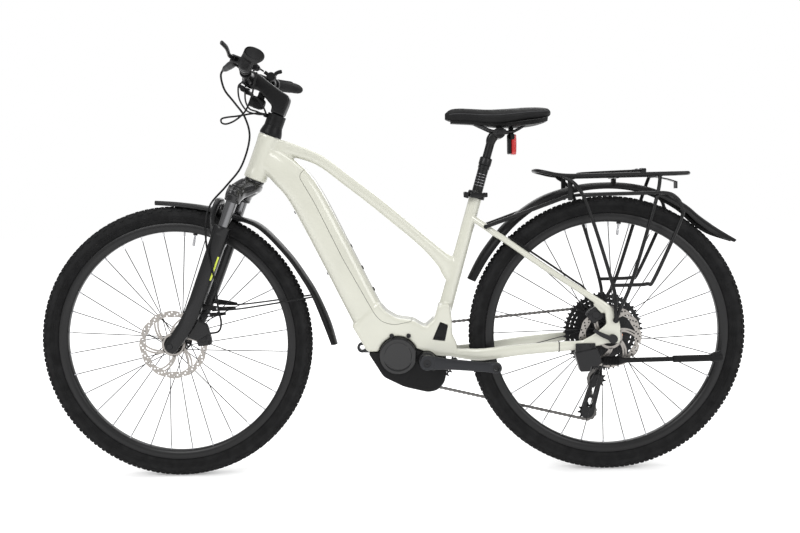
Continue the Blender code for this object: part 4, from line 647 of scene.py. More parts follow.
def finish_of(key):
    """The finish under that name, made when it is first asked for."""
    if key not in finishes:
        colours = bpy.context.scene.bike_colours
        makers = {
            "ivory": lambda: painted("Ivory lacquer", colours.frame, 0.27, 0.9, 0.0),
            "black": lambda: painted("Black powder coat", colours.fittings, 0.34, 0.06, 0.0, 0.24),
            "fork": lambda: painted("Black fork enamel", colours.fork, 0.32, 0.08, 0.0, 0.26),
            "gloss": lambda: painted("Black gloss enamel", colours.fork, 0.20, 0.35, 0.0, 0.30),
            "disc": lambda: metal("Brake disc steel", colours.discs, 0.34, 0.9, 1300.0, 0.10),
            "stanchion": lambda: metal("Polished tube", (0.16, 0.16, 0.165), 0.12),
            "rim": lambda: metal("Black anodised rim", colours.rims, 0.36, 0.35, 700.0),
            "plastic": lambda: moulded("Black moulded plastic", colours.plastic, 0.52),
            "cover": lambda: moulded("Satin black shell", colours.plastic, 0.38, 1100.0, 0.15),
            "screen": lambda: painted("Display glass", (0.012, 0.013, 0.015), 0.10, 1.0),
            "tyre": lambda: moulded("Tyre rubber", colours.tyres, 0.82, 900.0, 0.4, 0.006),
            "grip": lambda: moulded("Grip rubber", colours.grips, 0.78, 1400.0, 0.5, 0.005),
            "cable": lambda: moulded("Cable sheath", colours.plastic, 0.42, 1800.0, 0.1),
            "saddle": lambda: stitched_cover("Saddle cover", colours.saddle, 0.56),
            "thread": lambda: moulded("Saddle thread", (0.055, 0.055, 0.058), 0.8, 2600.0, 0.4),
            "steel": lambda: metal("Ground steel", colours.steel, 0.30, 1.0, 1300.0, 0.10),
            "chain": lambda: metal("Chain steel", (0.13, 0.125, 0.12), 0.36, 0.95, 1600.0, 0.12),
            "spoke": lambda: metal("Black spoke steel", (0.014, 0.014, 0.015), 0.38, 0.5),
            "bolt": lambda: metal("Zinc-plated screws", (0.58, 0.58, 0.60), 0.28),
            "alloy": lambda: metal("Black anodised alloy", colours.alloy, 0.40, 0.45, 1200.0),
            "crank": lambda: metal("Grey anodised crank", colours.cranks, 0.42, 0.6, 1200.0),
            "orange": lambda: painted("Orange anodised alloy", colours.accents, 0.30, 0.6, 0.3),
            "lime": lambda: painted("Lime fork stripe", (0.62, 0.72, 0.05), 0.35, 0.6),
            "red": lambda: lens("Red lamp lens", colours.tail_lamp, 0.18, 0.06),
            "clear": lambda: lens("Clear lamp lens", (0.72, 0.74, 0.76), 0.12),
            # Dark matt sheet inside the frame: painted shade behind the battery cover's gap
            "gap_shade": lambda: moulded("Painted shade behind gap", (0.012, 0.012, 0.012), 0.9)
        }
        finishes[key] = makers[key]()
    return finishes[key]


SLOT_OF = {
    "ivory": "ivory_paint", "black": "black_paint", "fork": "black_paint", "gloss": "black_paint",
    "rim": "black_paint", "plastic": "black_plastic", "cover": "black_plastic", "cable": "black_plastic",
    "tyre": "tyre", "grip": "rubber", "saddle": "rubber", "steel": "steel", "chain": "steel",
    "disc": "steel", "alloy": "dark_alloy", "crank": "dark_alloy", "spoke": "dark_alloy",
    "red": "red_lens"
}


def part(name, body, finish, pieces, replaces=(), angle=32):
    """One finished piece of the bike."""
    return place(name, join(pieces), finish_of(finish), body, replaces, SLOT_OF.get(finish), angle)


def melted(name, body, finish, pieces, voxel, rounds, cuts=(), replaces=(), angle=40):
    """One finished piece whose parts are melted together and then cut."""
    mesh = fused_mesh(pieces, voxel * (1), rounds, cuts)
    return place(name, mesh, finish_of(finish), body, replaces, SLOT_OF.get(finish), angle)


# Wheels
TYRE_SECTION = [
    (0.0107, 0.3128), (0.0109, 0.3172), (0.0140, 0.3200), (0.0188, 0.3252), (0.0226, 0.3322),
    (0.0243, 0.3395), (0.0240, 0.3455), (0.0218, 0.3508), (0.0172, 0.3549), (0.0100, 0.3574), (0, 0.3582)
]


def knob(axle, degrees, across, radius, lean, size, height):
    """Tread block on the tyre: size is (sideways, round the tyre), lean tips it outwards."""
    angle = math.radians(degrees)
    out, on = Vector((math.cos(angle), 0, math.sin(angle))), Vector((-math.sin(angle), 0, math.cos(angle)))
    up = out * math.cos(lean) + Y * math.sin(lean)
    wide = Y * math.cos(lean) - out * math.sin(lean)
    foot = axle + out * radius + Y * across
    rings = []
    for level, share in ((-0.0010, 1.0), (height * 0.75, 0.93), (height, 0.80)):
        ring = []
        for a, b in ((-1, -0.6), (-0.6, -1), (0.6, -1), (1, -0.6), (1, 0.6), (0.6, 1), (-0.6, 1), (-1, 0.6)):
            ring.append(
                foot
                + up * level
                + wide * (a * size[0] / 2 * share)
                + on * (b * size[1] / 2 * share)
            )
        rings.append(ring)
    return loft(rings)


def tyre_pieces(axle):
    """Tyre casing with its bead lines and rows of tread blocks."""
    half = refined(TYRE_SECTION, 3)
    outer = [(y, r) for y, r in half] + [(-y, r) for y, r in half[-2::-1]]
    inner = [(-0.0080, 0.3135), (-0.0190, 0.3400), (0, 0.3545), (0.0190, 0.3400), (0.0080, 0.3135)]
    pieces = [ringed(outer + inner, axle, Y, 168)]
    for radius, across in ((0.3262, 0.0196), (0.3300, 0.0217), (0.3345, 0.0235)):
        bead = [
            (across - 0.0006, radius), (across + 0.0008, radius - 0.0006),
            (across + 0.0009, radius + 0.0006)
        ]
        pieces += both(ringed(bead, axle, Y, 120))
    pitches = bpy.context.scene.bike_sizes.tread_pitches
    step = 360 / pitches
    for k in range(pitches):
        at = k * step
        pieces.append(knob(axle, at, 0.0033, 0.3579, 0.0, (0.0052, 0.0098), 0.0030))
        pieces.append(knob(axle, at + step / 2, -0.0033, 0.3579, 0.0, (0.0052, 0.0098), 0.0030))
        for sign in (-1, 1):
            shift = step * 0.25 * (1 + sign)
            pieces.append(
                knob(axle, at + shift, sign * 0.0108, 0.3566, sign * 0.26, (0.0056, 0.0120), 0.0030)
            )
            pieces.append(
                knob(
                    axle, at + shift + step / 2, sign * 0.0170, 0.3545, sign * 0.62, (0.0052, 0.0100),
                    0.0030
                )
            )
            pieces.append(
                knob(axle, at + shift, sign * 0.0222, 0.3500, sign * 1.02, (0.0060, 0.0135), 0.0026)
            )
    return pieces


def spoke_ends(axle, flange, sign, first, k):
    """Flange end and rim end of a spoke, laid inside or outside the flange in turn."""
    lay = 1 if k % 2 else -1
    at_rim = first + SPOKE_STEP * (k + 0.5 * (sign > 0))
    x0, z0 = polar((axle.x, axle.z), 0.0265, at_rim + 36 * lay)
    x1, z1 = polar((axle.x, axle.z), RIM_INNER_RADIUS + 0.001, at_rim)
    start = Vector((x0, flange + sign * SPOKE_RADIUS * lay, z0))
    return start, Vector((x1, sign * (0.0026 + 0.0013 * lay), z1)), lay


def build_wheel(end, axle, valve_degrees, first, flanges):
    """Tyre, rim, valve, spokes and nipples of one wheel."""
    body = end + "_wheel"
    part("tyre_tread_" + end, body, "tyre", tyre_pieces(axle), ["tyre_" + end], 26)
    half = RIM_HALF
    right = [
        (0.0050, RIM_INNER_RADIUS), (0.0078, RIM_INNER_RADIUS + 0.0007),
        (0.0110, RIM_INNER_RADIUS + 0.0036), (0.0129, RIM_INNER_RADIUS + 0.0085),
        (half, RIM_INNER_RADIUS + 0.0130), (half, RIM_EDGE_RADIUS - 0.0012),
        (half - 0.0007, RIM_EDGE_RADIUS), (half - 0.0017, RIM_EDGE_RADIUS),
        (half - 0.0022, RIM_EDGE_RADIUS - 0.0012), (half - 0.0022, RIM_EDGE_RADIUS - 0.0062)
    ]
    section = [(-y, r) for y, r in right] + right[::-1]
    pieces = [ringed(section[::-1], axle, Y, 180)]
    x, z = polar((0, 0), 1.0, valve_degrees)
    out = Vector((x, 0, z))
    nut = rod(axle + out * 0.2895, axle + out * 0.2945, 0.0060, 8, 0.0008)
    part("rim_" + end + "_band", body, "rim", pieces + [nut], ["rim_" + end])
    valve = [
        (0, 0.0018), (0.002, 0.0034), (0.013, 0.0034), (0.0145, 0.0030), (0.030, 0.0030), (0.034, 0.0030)
    ]
    part("valve_" + end, body, "bolt", [turned(valve, axle + out * 0.260, out, 16)])
    nipples, spokes, elbows = [], [], []
    for sign, flange in zip((-1, 1), flanges):
        for k in range(SPOKES_PER_SIDE):
            start, finish, lay = spoke_ends(axle, flange, sign, first, k)
            run = (finish - start).normalized()
            spokes.append(rod(start, finish, SPOKE_RADIUS, 8))
            nipple = [(0, 0.0013), (0.001, 0.0020), (0.012, 0.0022), (0.0135, 0.0034), (0.016, 0.0036)]
            nipples.append(turned(nipple, finish - run * 0.0125, run, 10))
            head = Vector((start.x, flange - sign * 0.0020 * lay, start.z))
            elbows.append(tube([start + run * 0.003, start, head], SPOKE_RADIUS, 8, 3))
    part("spokes_" + end, body, "spoke", spokes + elbows)
    part("nipples_" + end, body, "bolt", nipples)


def hub_pieces(axle, profile, flanges):
    """Turned hub shell with drilled flanges and end caps."""
    bore = [(profile[-1][0], HUB_BORE_RADIUS), (profile[0][0], HUB_BORE_RADIUS)]
    pieces = [ringed(list(profile) + bore, axle, Y, 64)]
    for flange in flanges:
        loops = [circle((axle.x, axle.z), 0.0300, 64), circle((axle.x, axle.z), 0.0150, 32)]
        loops += [
            circle(polar((axle.x, axle.z), 0.0228, SPOKE_STEP * k + 11), 0.0028, 10)
            for k in range(SPOKES_PER_SIDE)
        ]
        pieces.append(plate(loops, flange - 0.0016, flange + 0.0016))
    return pieces


def wavy(centre, radius, swing, waves, phase=0.0, sides=240):
    """Round outline with even waves."""
    loop = []
    for k in range(sides):
        degrees = 360 * k / sides
        loop.append(polar(centre, radius + swing * math.cos(math.radians(waves * degrees + phase)), degrees))
    return loop


def build_rotor(end, axle, y, radius):
    """Perforated brake disc with twelve swept arms, a black centre and a lobed lock ring."""
    body = end + "_wheel"
    centre = (axle.x, axle.z)
    loops = [wavy(centre, radius - 0.0010, 0.0010, 12), wavy(centre, radius - 0.0168, 0.0012, 12, 180)]
    for k in range(24):
        for back, turn, size in ((0.0044, 0, 0.0023), (0.0088, 5.0, 0.0025), (0.0132, 10.0, 0.0021)):
            loops.append(circle(polar(centre, radius - back, 15 * k + turn), size, 10))
    reach = radius - 0.0160 - 0.0290
    arms = []
    for k in range(12):
        paired = 60 * (k // 2) + (9 if k % 2 else 0)
        rows = []
        for step in range(9):
            t = step / 8
            rows.append((polar(centre, radius - 0.0160 - reach * t, paired + 30 * t), 0.0020 + 0.0008 * t))
        left, right = [], []
        for n, (p, width) in enumerate(rows):
            before, after = rows[max(n - 1, 0)][0], rows[min(n + 1, 8)][0]
            run = Vector((after[0] - before[0], after[1] - before[1])).normalized()
            left.append((p[0] - run.y * width, p[1] + run.x * width))
            right.append((p[0] + run.y * width, p[1] - run.x * width))
        arms.append(extrude(left + right[::-1], y - 0.0008, y + 0.0008))
    hub_ring = plate([circle(centre, 0.0310, 64), circle(centre, 0.0240, 48)], y - 0.0008, y + 0.0008)
    ring = plate(loops, y - ROTOR_HALF, y + ROTOR_HALF)
    part("rotor_" + end + "_disc", body, "disc", [ring, *arms, hub_ring], ["rotor_" + end], 30)
    lobed = plate([wavy(centre, 0.0220, 0.0011, 10), circle(centre, 0.0125, 40)], y - 0.0044, y - 0.0012)
    carrier = plate([circle(centre, 0.0245, 56), circle(centre, 0.0195, 40)], y - 0.0014, y + 0.0014)
    part("rotor_" + end + "_centre", body, "plastic", [carrier, lobed])


def build_wheels():
    """Both wheels with their hubs and brake discs."""
    build_wheel("front", FRONT_AXLE, 78.3, 83.9, FRONT_FLANGES)
    build_wheel("rear", REAR_AXLE, 83.0, 88.6, REAR_FLANGES)
    front = [
        (-0.0545, 0.0100), (-0.0535, 0.0105), (-0.0490, 0.0105), (-0.0490, 0.0162), (-0.0485, 0.0167),
        (-0.0385, 0.0167), (-0.0300, 0.0138), (-0.0240, 0.0142), (-0.0235, 0.0200), (-0.0200, 0.0200),
        (-0.0150, 0.0142), (0.0, 0.0132), (0.0230, 0.0142), (0.0280, 0.0200), (0.0315, 0.0200),
        (0.0322, 0.0140), (0.0540, 0.0106), (0.0545, 0.0100)
    ]
    rear = [
        (-0.0740, 0.0105), (-0.0730, 0.0110), (-0.0640, 0.0110), (-0.0640, 0.0165), (-0.0520, 0.0168),
        (-0.0400, 0.0150), (-0.0295, 0.0158), (-0.0285, 0.0210), (-0.0245, 0.0210), (-0.0190, 0.0170),
        (0.0, 0.0156), (0.0160, 0.0170), (0.0205, 0.0210), (0.0240, 0.0210), (0.0250, 0.0128),
        (0.0730, 0.0120), (0.0740, 0.0115)
    ]
    part(
        "hub_front", "front_wheel", "alloy", hub_pieces(FRONT_AXLE, front, FRONT_FLANGES),
        ["hub_spokes_front"]
    )
    part("hub_rear", "rear_wheel", "alloy", hub_pieces(REAR_AXLE, rear, REAR_FLANGES), ["hub_spokes_rear"])
    build_rotor("front", FRONT_AXLE, FRONT_ROTOR_Y, FRONT_ROTOR_RADIUS)
    build_rotor("rear", REAR_AXLE, REAR_ROTOR_Y, REAR_ROTOR_RADIUS)
    for end, axle, offset in (
        ("front", FRONT_AXLE, (-0.0065, -0.0300, 0.0310)), ("rear", REAR_AXLE, (0.0345, -0.0320, 0.0))
    ):
        tag = axle + Vector(offset)
        box = block(
            (tag.x - 0.0035, tag.y - 0.0015, tag.z - 0.0025),
            (tag.x + 0.0035, tag.y + 0.0015, tag.z + 0.0025), 0.0008
        )
        part("hub_mark_" + end, end + "_wheel", "orange", [box])


# Chain drive
def pitch_radius(teeth):
    """Radius of the circle that the chain runs on."""
    return CHAIN_PITCH / 2 / math.sin(math.pi / teeth)


def toothed(centre, teeth, phase=0.0, tall=0.0030, tip=0.22):
    """Outline of a chain wheel: rounded valleys for the rollers and slim teeth."""
    radius = pitch_radius(teeth)
    loop = []
    for k in range(teeth):
        for share, level in (
            (0.0, -0.0034), (0.16, -0.0031), (0.30, -0.0012), (0.5 - tip / 2, tall),
            (0.5 + tip / 2, tall), (0.70, -0.0012), (0.84, -0.0031)
        ):
            loop.append(polar(centre, radius + level, 360 * (k + share) / teeth + phase))
    return loop


def chain_route():
    """Straight runs and arcs of the chain's pitch line, as (kind, values, length)."""
    wheels = [
        (CRANK_AXLE, CHAINRING_TEETH, 1), (REAR_AXLE, COG_TEETH[CHAIN_COG], 1),
        (GUIDE_PULLEY, PULLEY_TEETH, -1), (TENSION_PULLEY, PULLEY_TEETH, 1)
    ]
    wheels = [(Vector((c.x, c.z)), pitch_radius(teeth), turn) for c, teeth, turn in wheels]
    headings = []
    for k, (centre, radius, turn) in enumerate(wheels):
        other, far_radius, far_turn = wheels[(k + 1) % len(wheels)]
        run = other - centre
        headings.append(
            math.atan2(run.y, run.x)
            + math.asin((far_turn * far_radius - turn * radius) / run.length)
        )
    route = []
    for k, (centre, radius, turn) in enumerate(wheels):
        start, end = headings[k - 1], headings[k]
        sweep = (start - end) * turn % (2 * math.pi)
        route.append(("arc", (centre, radius, turn, start), sweep * radius))
        leave = centre + Vector((-math.sin(end), math.cos(end))) * radius * turn
        other, far_radius, far_turn = wheels[(k + 1) % len(wheels)]
        meet = other + Vector((-math.sin(end), math.cos(end))) * far_radius * far_turn
        route.append(("line", (leave, meet), (meet - leave).length))
    return route


def along_route(route, distance):
    """Point at a distance along the chain line."""
    for kind, values, length in route:
        if distance <= length:
            if kind == "line":
                return values[0].lerp(values[1], distance / length)
            centre, radius, turn, start = values
            heading = start - turn * distance / radius
            return centre + Vector((-math.sin(heading), math.cos(heading))) * radius * turn
        distance -= length
    return along_route(route, distance)


def link_plate(one, two, y_low, y_high, waist, end):
    """Waisted plate between two pins."""
    run = (two - one).normalized()
    off = Vector((-run.y, run.x))
    middle, half = (one + two) / 2, (two - one).length / 2
    loop = []
    for sign in (1, -1):
        for degrees in (-80, -45, 0, 45, 80):
            a = math.radians(degrees)
            point = middle + run * sign * (half + math.cos(a) * end) + off * sign * math.sin(a) * end
            loop.append((point.x, point.y))
        loop.append(tuple(middle + off * sign * waist))
    return extrude(loop, y_low, y_high)


def build_chain():
    """Links and rollers along the chain line."""
    route = chain_route()
    total = sum(length for _, _, length in route)
    count = 2 * round(total / CHAIN_PITCH / 2)
    pins = [along_route(route, total * (k + 0.5) / count) for k in range(count)]
    outer, inner, rollers = [], [], []
    for k, pin in enumerate(pins):
        on = pins[(k + 1) % count]
        low, high = (0.0021, 0.0028) if k % 2 else (0.0013, 0.0020)
        target = outer if k % 2 else inner
        for sign in (-1, 1):
            y_low, y_high = sorted((CHAIN_Y + sign * low, CHAIN_Y + sign * high))
            target.append(link_plate(pin, on, y_low, y_high, 0.0026, 0.0041))
        rollers.append(rod((pin.x, CHAIN_Y - 0.0013, pin.y), (pin.x, CHAIN_Y + 0.0013, pin.y), 0.0037, 10))
        rollers.append(rod((pin.x, CHAIN_Y - 0.0032, pin.y), (pin.x, CHAIN_Y + 0.0032, pin.y), 0.0016, 8))
    part("chain_outer_links", "frame", "chain", outer, ["chain"], 30)
    part("chain_inner_links", "frame", "chain", inner, (), 30)
    part("chain_rollers", "frame", "chain", rollers)


def build_cogs():
    """Rear cogs with their spacers and lock ring."""
    centre = (REAR_AXLE.x, REAR_AXLE.z)
    large, small = [], []
    for k, teeth in enumerate(COG_TEETH):
        y = CHAIN_Y + (k - CHAIN_COG) * COG_SPACING
        inner = pitch_radius(teeth) - (0.0125 if teeth > 28 else 0.0075)
        loops = [toothed(centre, teeth, 2.1 * k, 0.0028)]
        if teeth > 20:
            loops.append(circle(centre, 0.0200 if teeth < 40 else 0.0240, 40))
            for n in range(8):
                arc = [polar(centre, inner, 45 * n + a) for a in (4, 12, 20, 28, 36)]
                arc += [polar(centre, max(inner - 0.016, 0.026), 45 * n + a + 9) for a in (34, 22, 10)]
                if inner > 0.040:
                    loops.append(arc)
        else:
            loops.append(circle(centre, 0.0132, 24))
        (large if teeth > 36 else small).append(plate(loops, y - 0.0009, y + 0.0009))
    part("cassette_large_cogs", "cassette", "alloy", large, ["cassette"], 30)
    spacer = [
        ringed(
            [(a, r) for a, r in ((-0.0125, 0.0134), (0.029, 0.0134), (0.029, 0.0165), (-0.0125, 0.0215))],
            REAR_AXLE + Y * CHAIN_Y, Y, 48
        )
    ]
    lock = ringed(
        [(0.0268, 0.0125), (0.0300, 0.0125), (0.0300, 0.0160), (0.0268, 0.0175)], REAR_AXLE + Y * CHAIN_Y,
        Y, 48
    )
    part("cassette_small_cogs", "cassette", "steel", small + [lock], (), 30)
    part("cassette_spider", "cassette", "alloy", spacer)


def build_pulleys():
    """The two pulleys of the rear gear."""
    for name, centre in (("guide_pulley", GUIDE_PULLEY), ("tension_pulley", TENSION_PULLEY)):
        flat = (centre.x, centre.z)
        loops = [toothed(flat, PULLEY_TEETH, 4.0, 0.0034, 0.16), circle(flat, 0.0050, 24)]
        loops += [circle(polar(flat, 0.0116, 72 * k), 0.0024, 12) for k in range(5)]
        wheel = plate(loops, CHAIN_Y - 0.0011, CHAIN_Y + 0.0011)
        core = ringed(
            [(-0.0024, 0.0036), (-0.0024, 0.0072), (0.0024, 0.0072), (0.0024, 0.0036)],
            centre + Y * CHAIN_Y, Y, 32
        )
        part(name + "_wheel", name, "plastic", [wheel, core], [name], 30)


def crank_pieces(direction, sign):
    """Crank arm with its boss and pedal eye."""
    def at(along, y, up=0.0):
        across = Vector((-direction.z, 0, direction.x))
        return CRANK_AXLE + direction * along + Y * (y * sign) + across * up

    stations = [
        (*at(-0.013, 0.0735), 0.0150, 0.0300), (*at(0.0, 0.0735), 0.0170, 0.0385),
        (*at(0.020, 0.0735), 0.0165, 0.0350), (*at(0.050, 0.0740), 0.0150, 0.0290),
        (*at(0.110, 0.0762), 0.0138, 0.0262), (*at(0.150, 0.0775), 0.0138, 0.0258),
        (*at(CRANK_LENGTH, 0.0785), 0.0145, 0.0280), (*at(CRANK_LENGTH + 0.012, 0.0785), 0.0135, 0.0160)
    ]
    arm = beam(stations, 40, 0.62, 6)
    boss = rod(at(0, 0.0615), at(0, 0.0840), 0.0195, 48, 0.0012)
    eye = rod(at(CRANK_LENGTH, 0.0712), at(CRANK_LENGTH, 0.0858), 0.0142, 40, 0.0010)
    hole = rod(at(CRANK_LENGTH, 0.060), at(CRANK_LENGTH, 0.095), 0.0071, 32)
    pocket = rod(at(0, 0.0800), at(0, 0.0900), 0.0105, 32)
    return [arm, boss, eye], [hole, pocket], at


def build_cranks():
    """Crank arms, spindle and chainring."""
    back = Vector((math.cos(CRANK_ANGLE), 0, math.sin(CRANK_ANGLE)))
    for name, direction, sign in (("left", back, -1), ("right", -back, 1)):
        pieces, cuts, at = crank_pieces(direction, sign)
        melted("crank_" + name, "cranks", "crank", pieces, 0.0011, 5, cuts, ["crank_arm_" + name], 34)
        bolt = [
            ringed(
                [(0, 0.0042), (0.0035, 0.0042), (0.0035, 0.0100), (0, 0.0103)], at(0, 0.0795), Y * sign,
                40
            )
        ]
        thread = [
            ringed(
                [(0, 0.0070), (0.0012, 0.0078), (0.0012, 0.0096), (0, 0.0100)], at(CRANK_LENGTH, 0.0853),
                Y * sign, 36
            )
        ]
        part("crank_bolt_" + name, "cranks", "alloy", bolt + thread)
        pinch = [screw(at(0.018, 0.0735, -0.0172), Vector((-back.z, 0, back.x)) * -1, 0.0034)]
        part("crank_pinch_" + name, "cranks", "alloy", pinch)
    part("crank_spindle", "cranks", "alloy", [across_rod(CRANK_AXLE, -0.0640, 0.0640, 0.0095, 40)])
    centre = (CRANK_AXLE.x, CRANK_AXLE.z)
    loops = [toothed(centre, CHAINRING_TEETH, 3.0, 0.0030), wavy(centre, 0.0690, 0.0022, 4, 180)]
    loops += [circle(polar(centre, 0.0738, 15 * k + 7), 0.0013, 8) for k in range(24)]
    ring = plate(loops, CHAIN_Y - 0.0011, CHAIN_Y + 0.0011)
    part("chainring", "cranks", "alloy", [ring])
    arms = []
    for k in range(4):
        x, z = polar((0, 0), 1.0, 45 + 90 * k)
        out = Vector((x, 0, z))
        rows = [
            (*(CRANK_AXLE + out * 0.006 + Y * 0.0660), 0.0085, 0.030),
            (*(CRANK_AXLE + out * 0.030 + Y * 0.0580), 0.0068, 0.019),
            (*(CRANK_AXLE + out * 0.052 + Y * 0.0495), 0.0050, 0.0150),
            (*(CRANK_AXLE + out * 0.071 + Y * 0.0462), 0.0036, 0.0150)
        ]
        arms.append(beam(rows, 24, 0.7, 5))
    part("chainring_spider", "cranks", "crank", arms)
    bolts = []
    for k in range(4):
        x, z = polar(centre, 0.0700, 45 + 90 * k)
        bolts.append(across_rod((x, 0, z), CHAIN_Y - 0.0030, CHAIN_Y + 0.0058, 0.0045, 20, 0.0006))
    part("chainring_bolts", "cranks", "bolt", bolts)


def build_derailleur():
    """Rear gear body, cage and fittings."""
    plate_y = (CHAIN_Y + 0.0052, CHAIN_Y + 0.0070), (CHAIN_Y - 0.0070, CHAIN_Y - 0.0052)
    down = (TENSION_PULLEY - GUIDE_PULLEY).normalized()
    off = down.cross(Y)
    loop = []
    for centre, radius, angles in (
        (GUIDE_PULLEY, 0.0135, range(180, 361, 15)), (TENSION_PULLEY, 0.0175, range(0, 181, 15))
    ):
        for angle in angles:
            a = math.radians(angle)
            p = centre + off * math.cos(a) * radius + down * math.sin(a) * radius
            loop.append((p.x, p.z))
    slots = []
    for start, end, width in ((0.020, 0.046, 0.0055), (0.053, 0.080, 0.0075)):
        corners = []
        for along, across in ((start, -width), (end, -width), (end, width), (start, width)):
            p = GUIDE_PULLEY + down * along + off * across
            corners.append((p.x, p.z))
        slots.append(rounded(corners, 0.004))
    pieces = [plate([loop, *slots], *levels) for levels in plate_y]
    for centre in (GUIDE_PULLEY, TENSION_PULLEY):
        pieces.append(across_rod(centre, CHAIN_Y - 0.0078, CHAIN_Y + 0.0073, 0.0034, 20, 0.0004))
    part("gear_cage", "frame", "alloy", pieces, ["derailleur_cage"], 30)
    hanger = GEAR_HANGER
    body = [across_rod(GUIDE_PULLEY, 0.0521, 0.0760, 0.0190, 48, 0.0025)]
    body.append(across_rod(hanger, 0.0829, 0.0975, 0.0122, 40, 0.0015))
    rows = [
        (GUIDE_PULLEY.x, 0.0640, GUIDE_PULLEY.z, 0.024, 0.033), (0.560, 0.0740, 0.255, 0.019, 0.030),
        (0.566, 0.0848, 0.280, 0.016, 0.027), (0.574, 0.0890, 0.305, 0.014, 0.022),
        (hanger.x, 0.0912, hanger.z, 0.012, 0.020)
    ]
    body.append(beam(rows, 28, 0.6, 5))
    melted("gear_arm", "frame", "alloy", body, 0.0010, 4, (), ["derailleur_body"], 34)
    trims = [across_rod(GUIDE_PULLEY, 0.0755, 0.0775, 0.0090, 24, 0.0006)]
    trims.append(screw((hanger.x, 0.0972, hanger.z), Y, 0.0060, 0.0028))
    trims += [screw((0.5500 + 0.0065 * k, 0.0735, 0.2620), Y, 0.0020, 0.0030) for k in range(2)]
    part("gear_screws", "frame", "bolt", trims)
    line = [
        (0.590, 0.0890, 0.296), (0.603, 0.0900, 0.301), (0.612, 0.0905, 0.318), (0.604, 0.0905, 0.338),
        (0.575, 0.0900, 0.352), (0.540, 0.0880, 0.3500), (0.505, 0.0835, 0.3420)
    ]
    part("gear_cable_tail", "frame", "cable", [tube(line, bpy.context.scene.bike_sizes.cable_radius, 14, 8)])


# Frame, battery cover and drive unit
CRADLE_HALF = 0.0392
MOTOR_CENTRE = (0.0203, 0.3189)
TUBE_START = Vector((-0.215, 0, 0.745))
TUBE_RUN = Vector((0.4416, 0, -0.8972))
TUBE_FACE = Vector((0.8972, 0, 0.4416))
STAY_Y = 0.0793
DOWN_TUBE = [
    (-0.322, 0, 0.850, 0.048, 0.055), (-0.300, 0, 0.834, 0.056, 0.068), (-0.262, 0, 0.802, 0.068, 0.083),
    (-0.215, 0, 0.745, 0.076, 0.088), (-0.139, 0, 0.594, 0.076, 0.088), (-0.088, 0, 0.487, 0.076, 0.088),
    (-0.052, 0, 0.414, 0.076, 0.090)
]
TOP_TUBE = [
    (-0.318, 0, 0.876, 0.036, 0.046), (-0.275, 0, 0.869, 0.037, 0.041), (-0.240, 0, 0.860, 0.037, 0.036),
    (-0.172, 0, 0.832, 0.036, 0.031), (-0.094, 0, 0.7715, 0.035, 0.030),
    (-0.016, 0, 0.7085, 0.034, 0.031), (0.094, 0, 0.6125, 0.032, 0.031), (0.150, 0, 0.557, 0.031, 0.044),
    (0.172, 0, 0.5352, 0.030, 0.062)
]
SEAT_STAY = [
    (0.212, -0.006, 0.681, 0.015, 0.018), (0.256, -0.028, 0.649, 0.016, 0.0175),
    (0.279, -0.0395, 0.632, 0.016, 0.0175), (0.310, -0.0440, 0.611, 0.016, 0.0175),
    (0.414, -0.0560, 0.536, 0.015, 0.0170), (0.505, -0.0735, 0.475, 0.012, 0.0175),
    (0.550, -STAY_Y, 0.443, 0.0095, 0.021), (0.566, -STAY_Y, 0.424, 0.0090, 0.024)
]
CHAIN_STAY = [
    (0.152, -0.0265, 0.3225, 0.020, 0.0180), (0.205, -0.0350, 0.3190, 0.0175, 0.0300),
    (0.245, -0.0430, 0.3190, 0.0175, 0.0330), (0.335, -0.0550, 0.3310, 0.0175, 0.0290),
    (0.432, -0.0670, 0.3400, 0.0165, 0.0270), (0.490, -0.0765, 0.3450, 0.0130, 0.0240),
    (0.525, -STAY_Y, 0.3560, 0.0092, 0.0270)
]
CRADLE = [(-0.100, 0.400), (-0.0605, 0.3295)]
CRADLE += [
    polar(MOTOR_CENTRE, 0.0510, a)
    for a in (169, 158, 148, 136, 124, 112, 100, 88, 75, 62, 50, 41, 32, 24, 17)
]
CRADLE += [(0.0740, 0.3345), (0.1115, 0.3174), (0.1300, 0.3139), (0.172, 0.3135), (0.176, 0.345)]
CRADLE += [(0.163, 0.372), (0.163, 0.415), (0.158, 0.452), (0.128, 0.450), (0.117, 0.415)]
CRADLE += [(0.092, 0.392), (0.063, 0.4105), (0.020, 0.417), (-0.008, 0.434), (-0.028, 0.460)]
DROPOUT = [
    (0.490, 0.334), (0.527, 0.341), (0.556, 0.3485), (0.583, 0.347), (0.589, 0.354), (0.5885, 0.395),
    (0.582, 0.416), (0.568, 0.434), (0.552, 0.432), (0.550, 0.420), (0.5535, 0.398), (0.523, 0.373),
    (0.492, 0.357)
]
HANGER = [(0.566, 0.352), (0.568, 0.322), (0.575, 0.313), (0.588, 0.314), (0.594, 0.324), (0.586, 0.352)]
COVER_REGION = [
    (-0.225, 0.792), (-0.187, 0.725), (-0.116, 0.574), (-0.038, 0.429), (-0.020, 0.409), (0.012, 0.400),
    (0.0625, 0.4090), (0.063, 0.440), (0.020, 0.480), (-0.050, 0.600), (-0.130, 0.740), (-0.175, 0.800),
    (-0.203, 0.8205)
]
FLAP = [(0.1320, 0.4050), (0.1520, 0.3970), (0.1430, 0.3560), (0.1120, 0.3600)]
SKID = [
    (-0.0590, 0.3282), (-0.0190, 0.2622), (0.0346, 0.2351), (0.0974, 0.2195), (0.1216, 0.2244),
    (0.1400, 0.2437), (0.1466, 0.2712), (0.1475, 0.3108), (0.1290, 0.3125), (0.1110, 0.3158),
    (0.0712, 0.3332), (-0.0300, 0.3282)
]


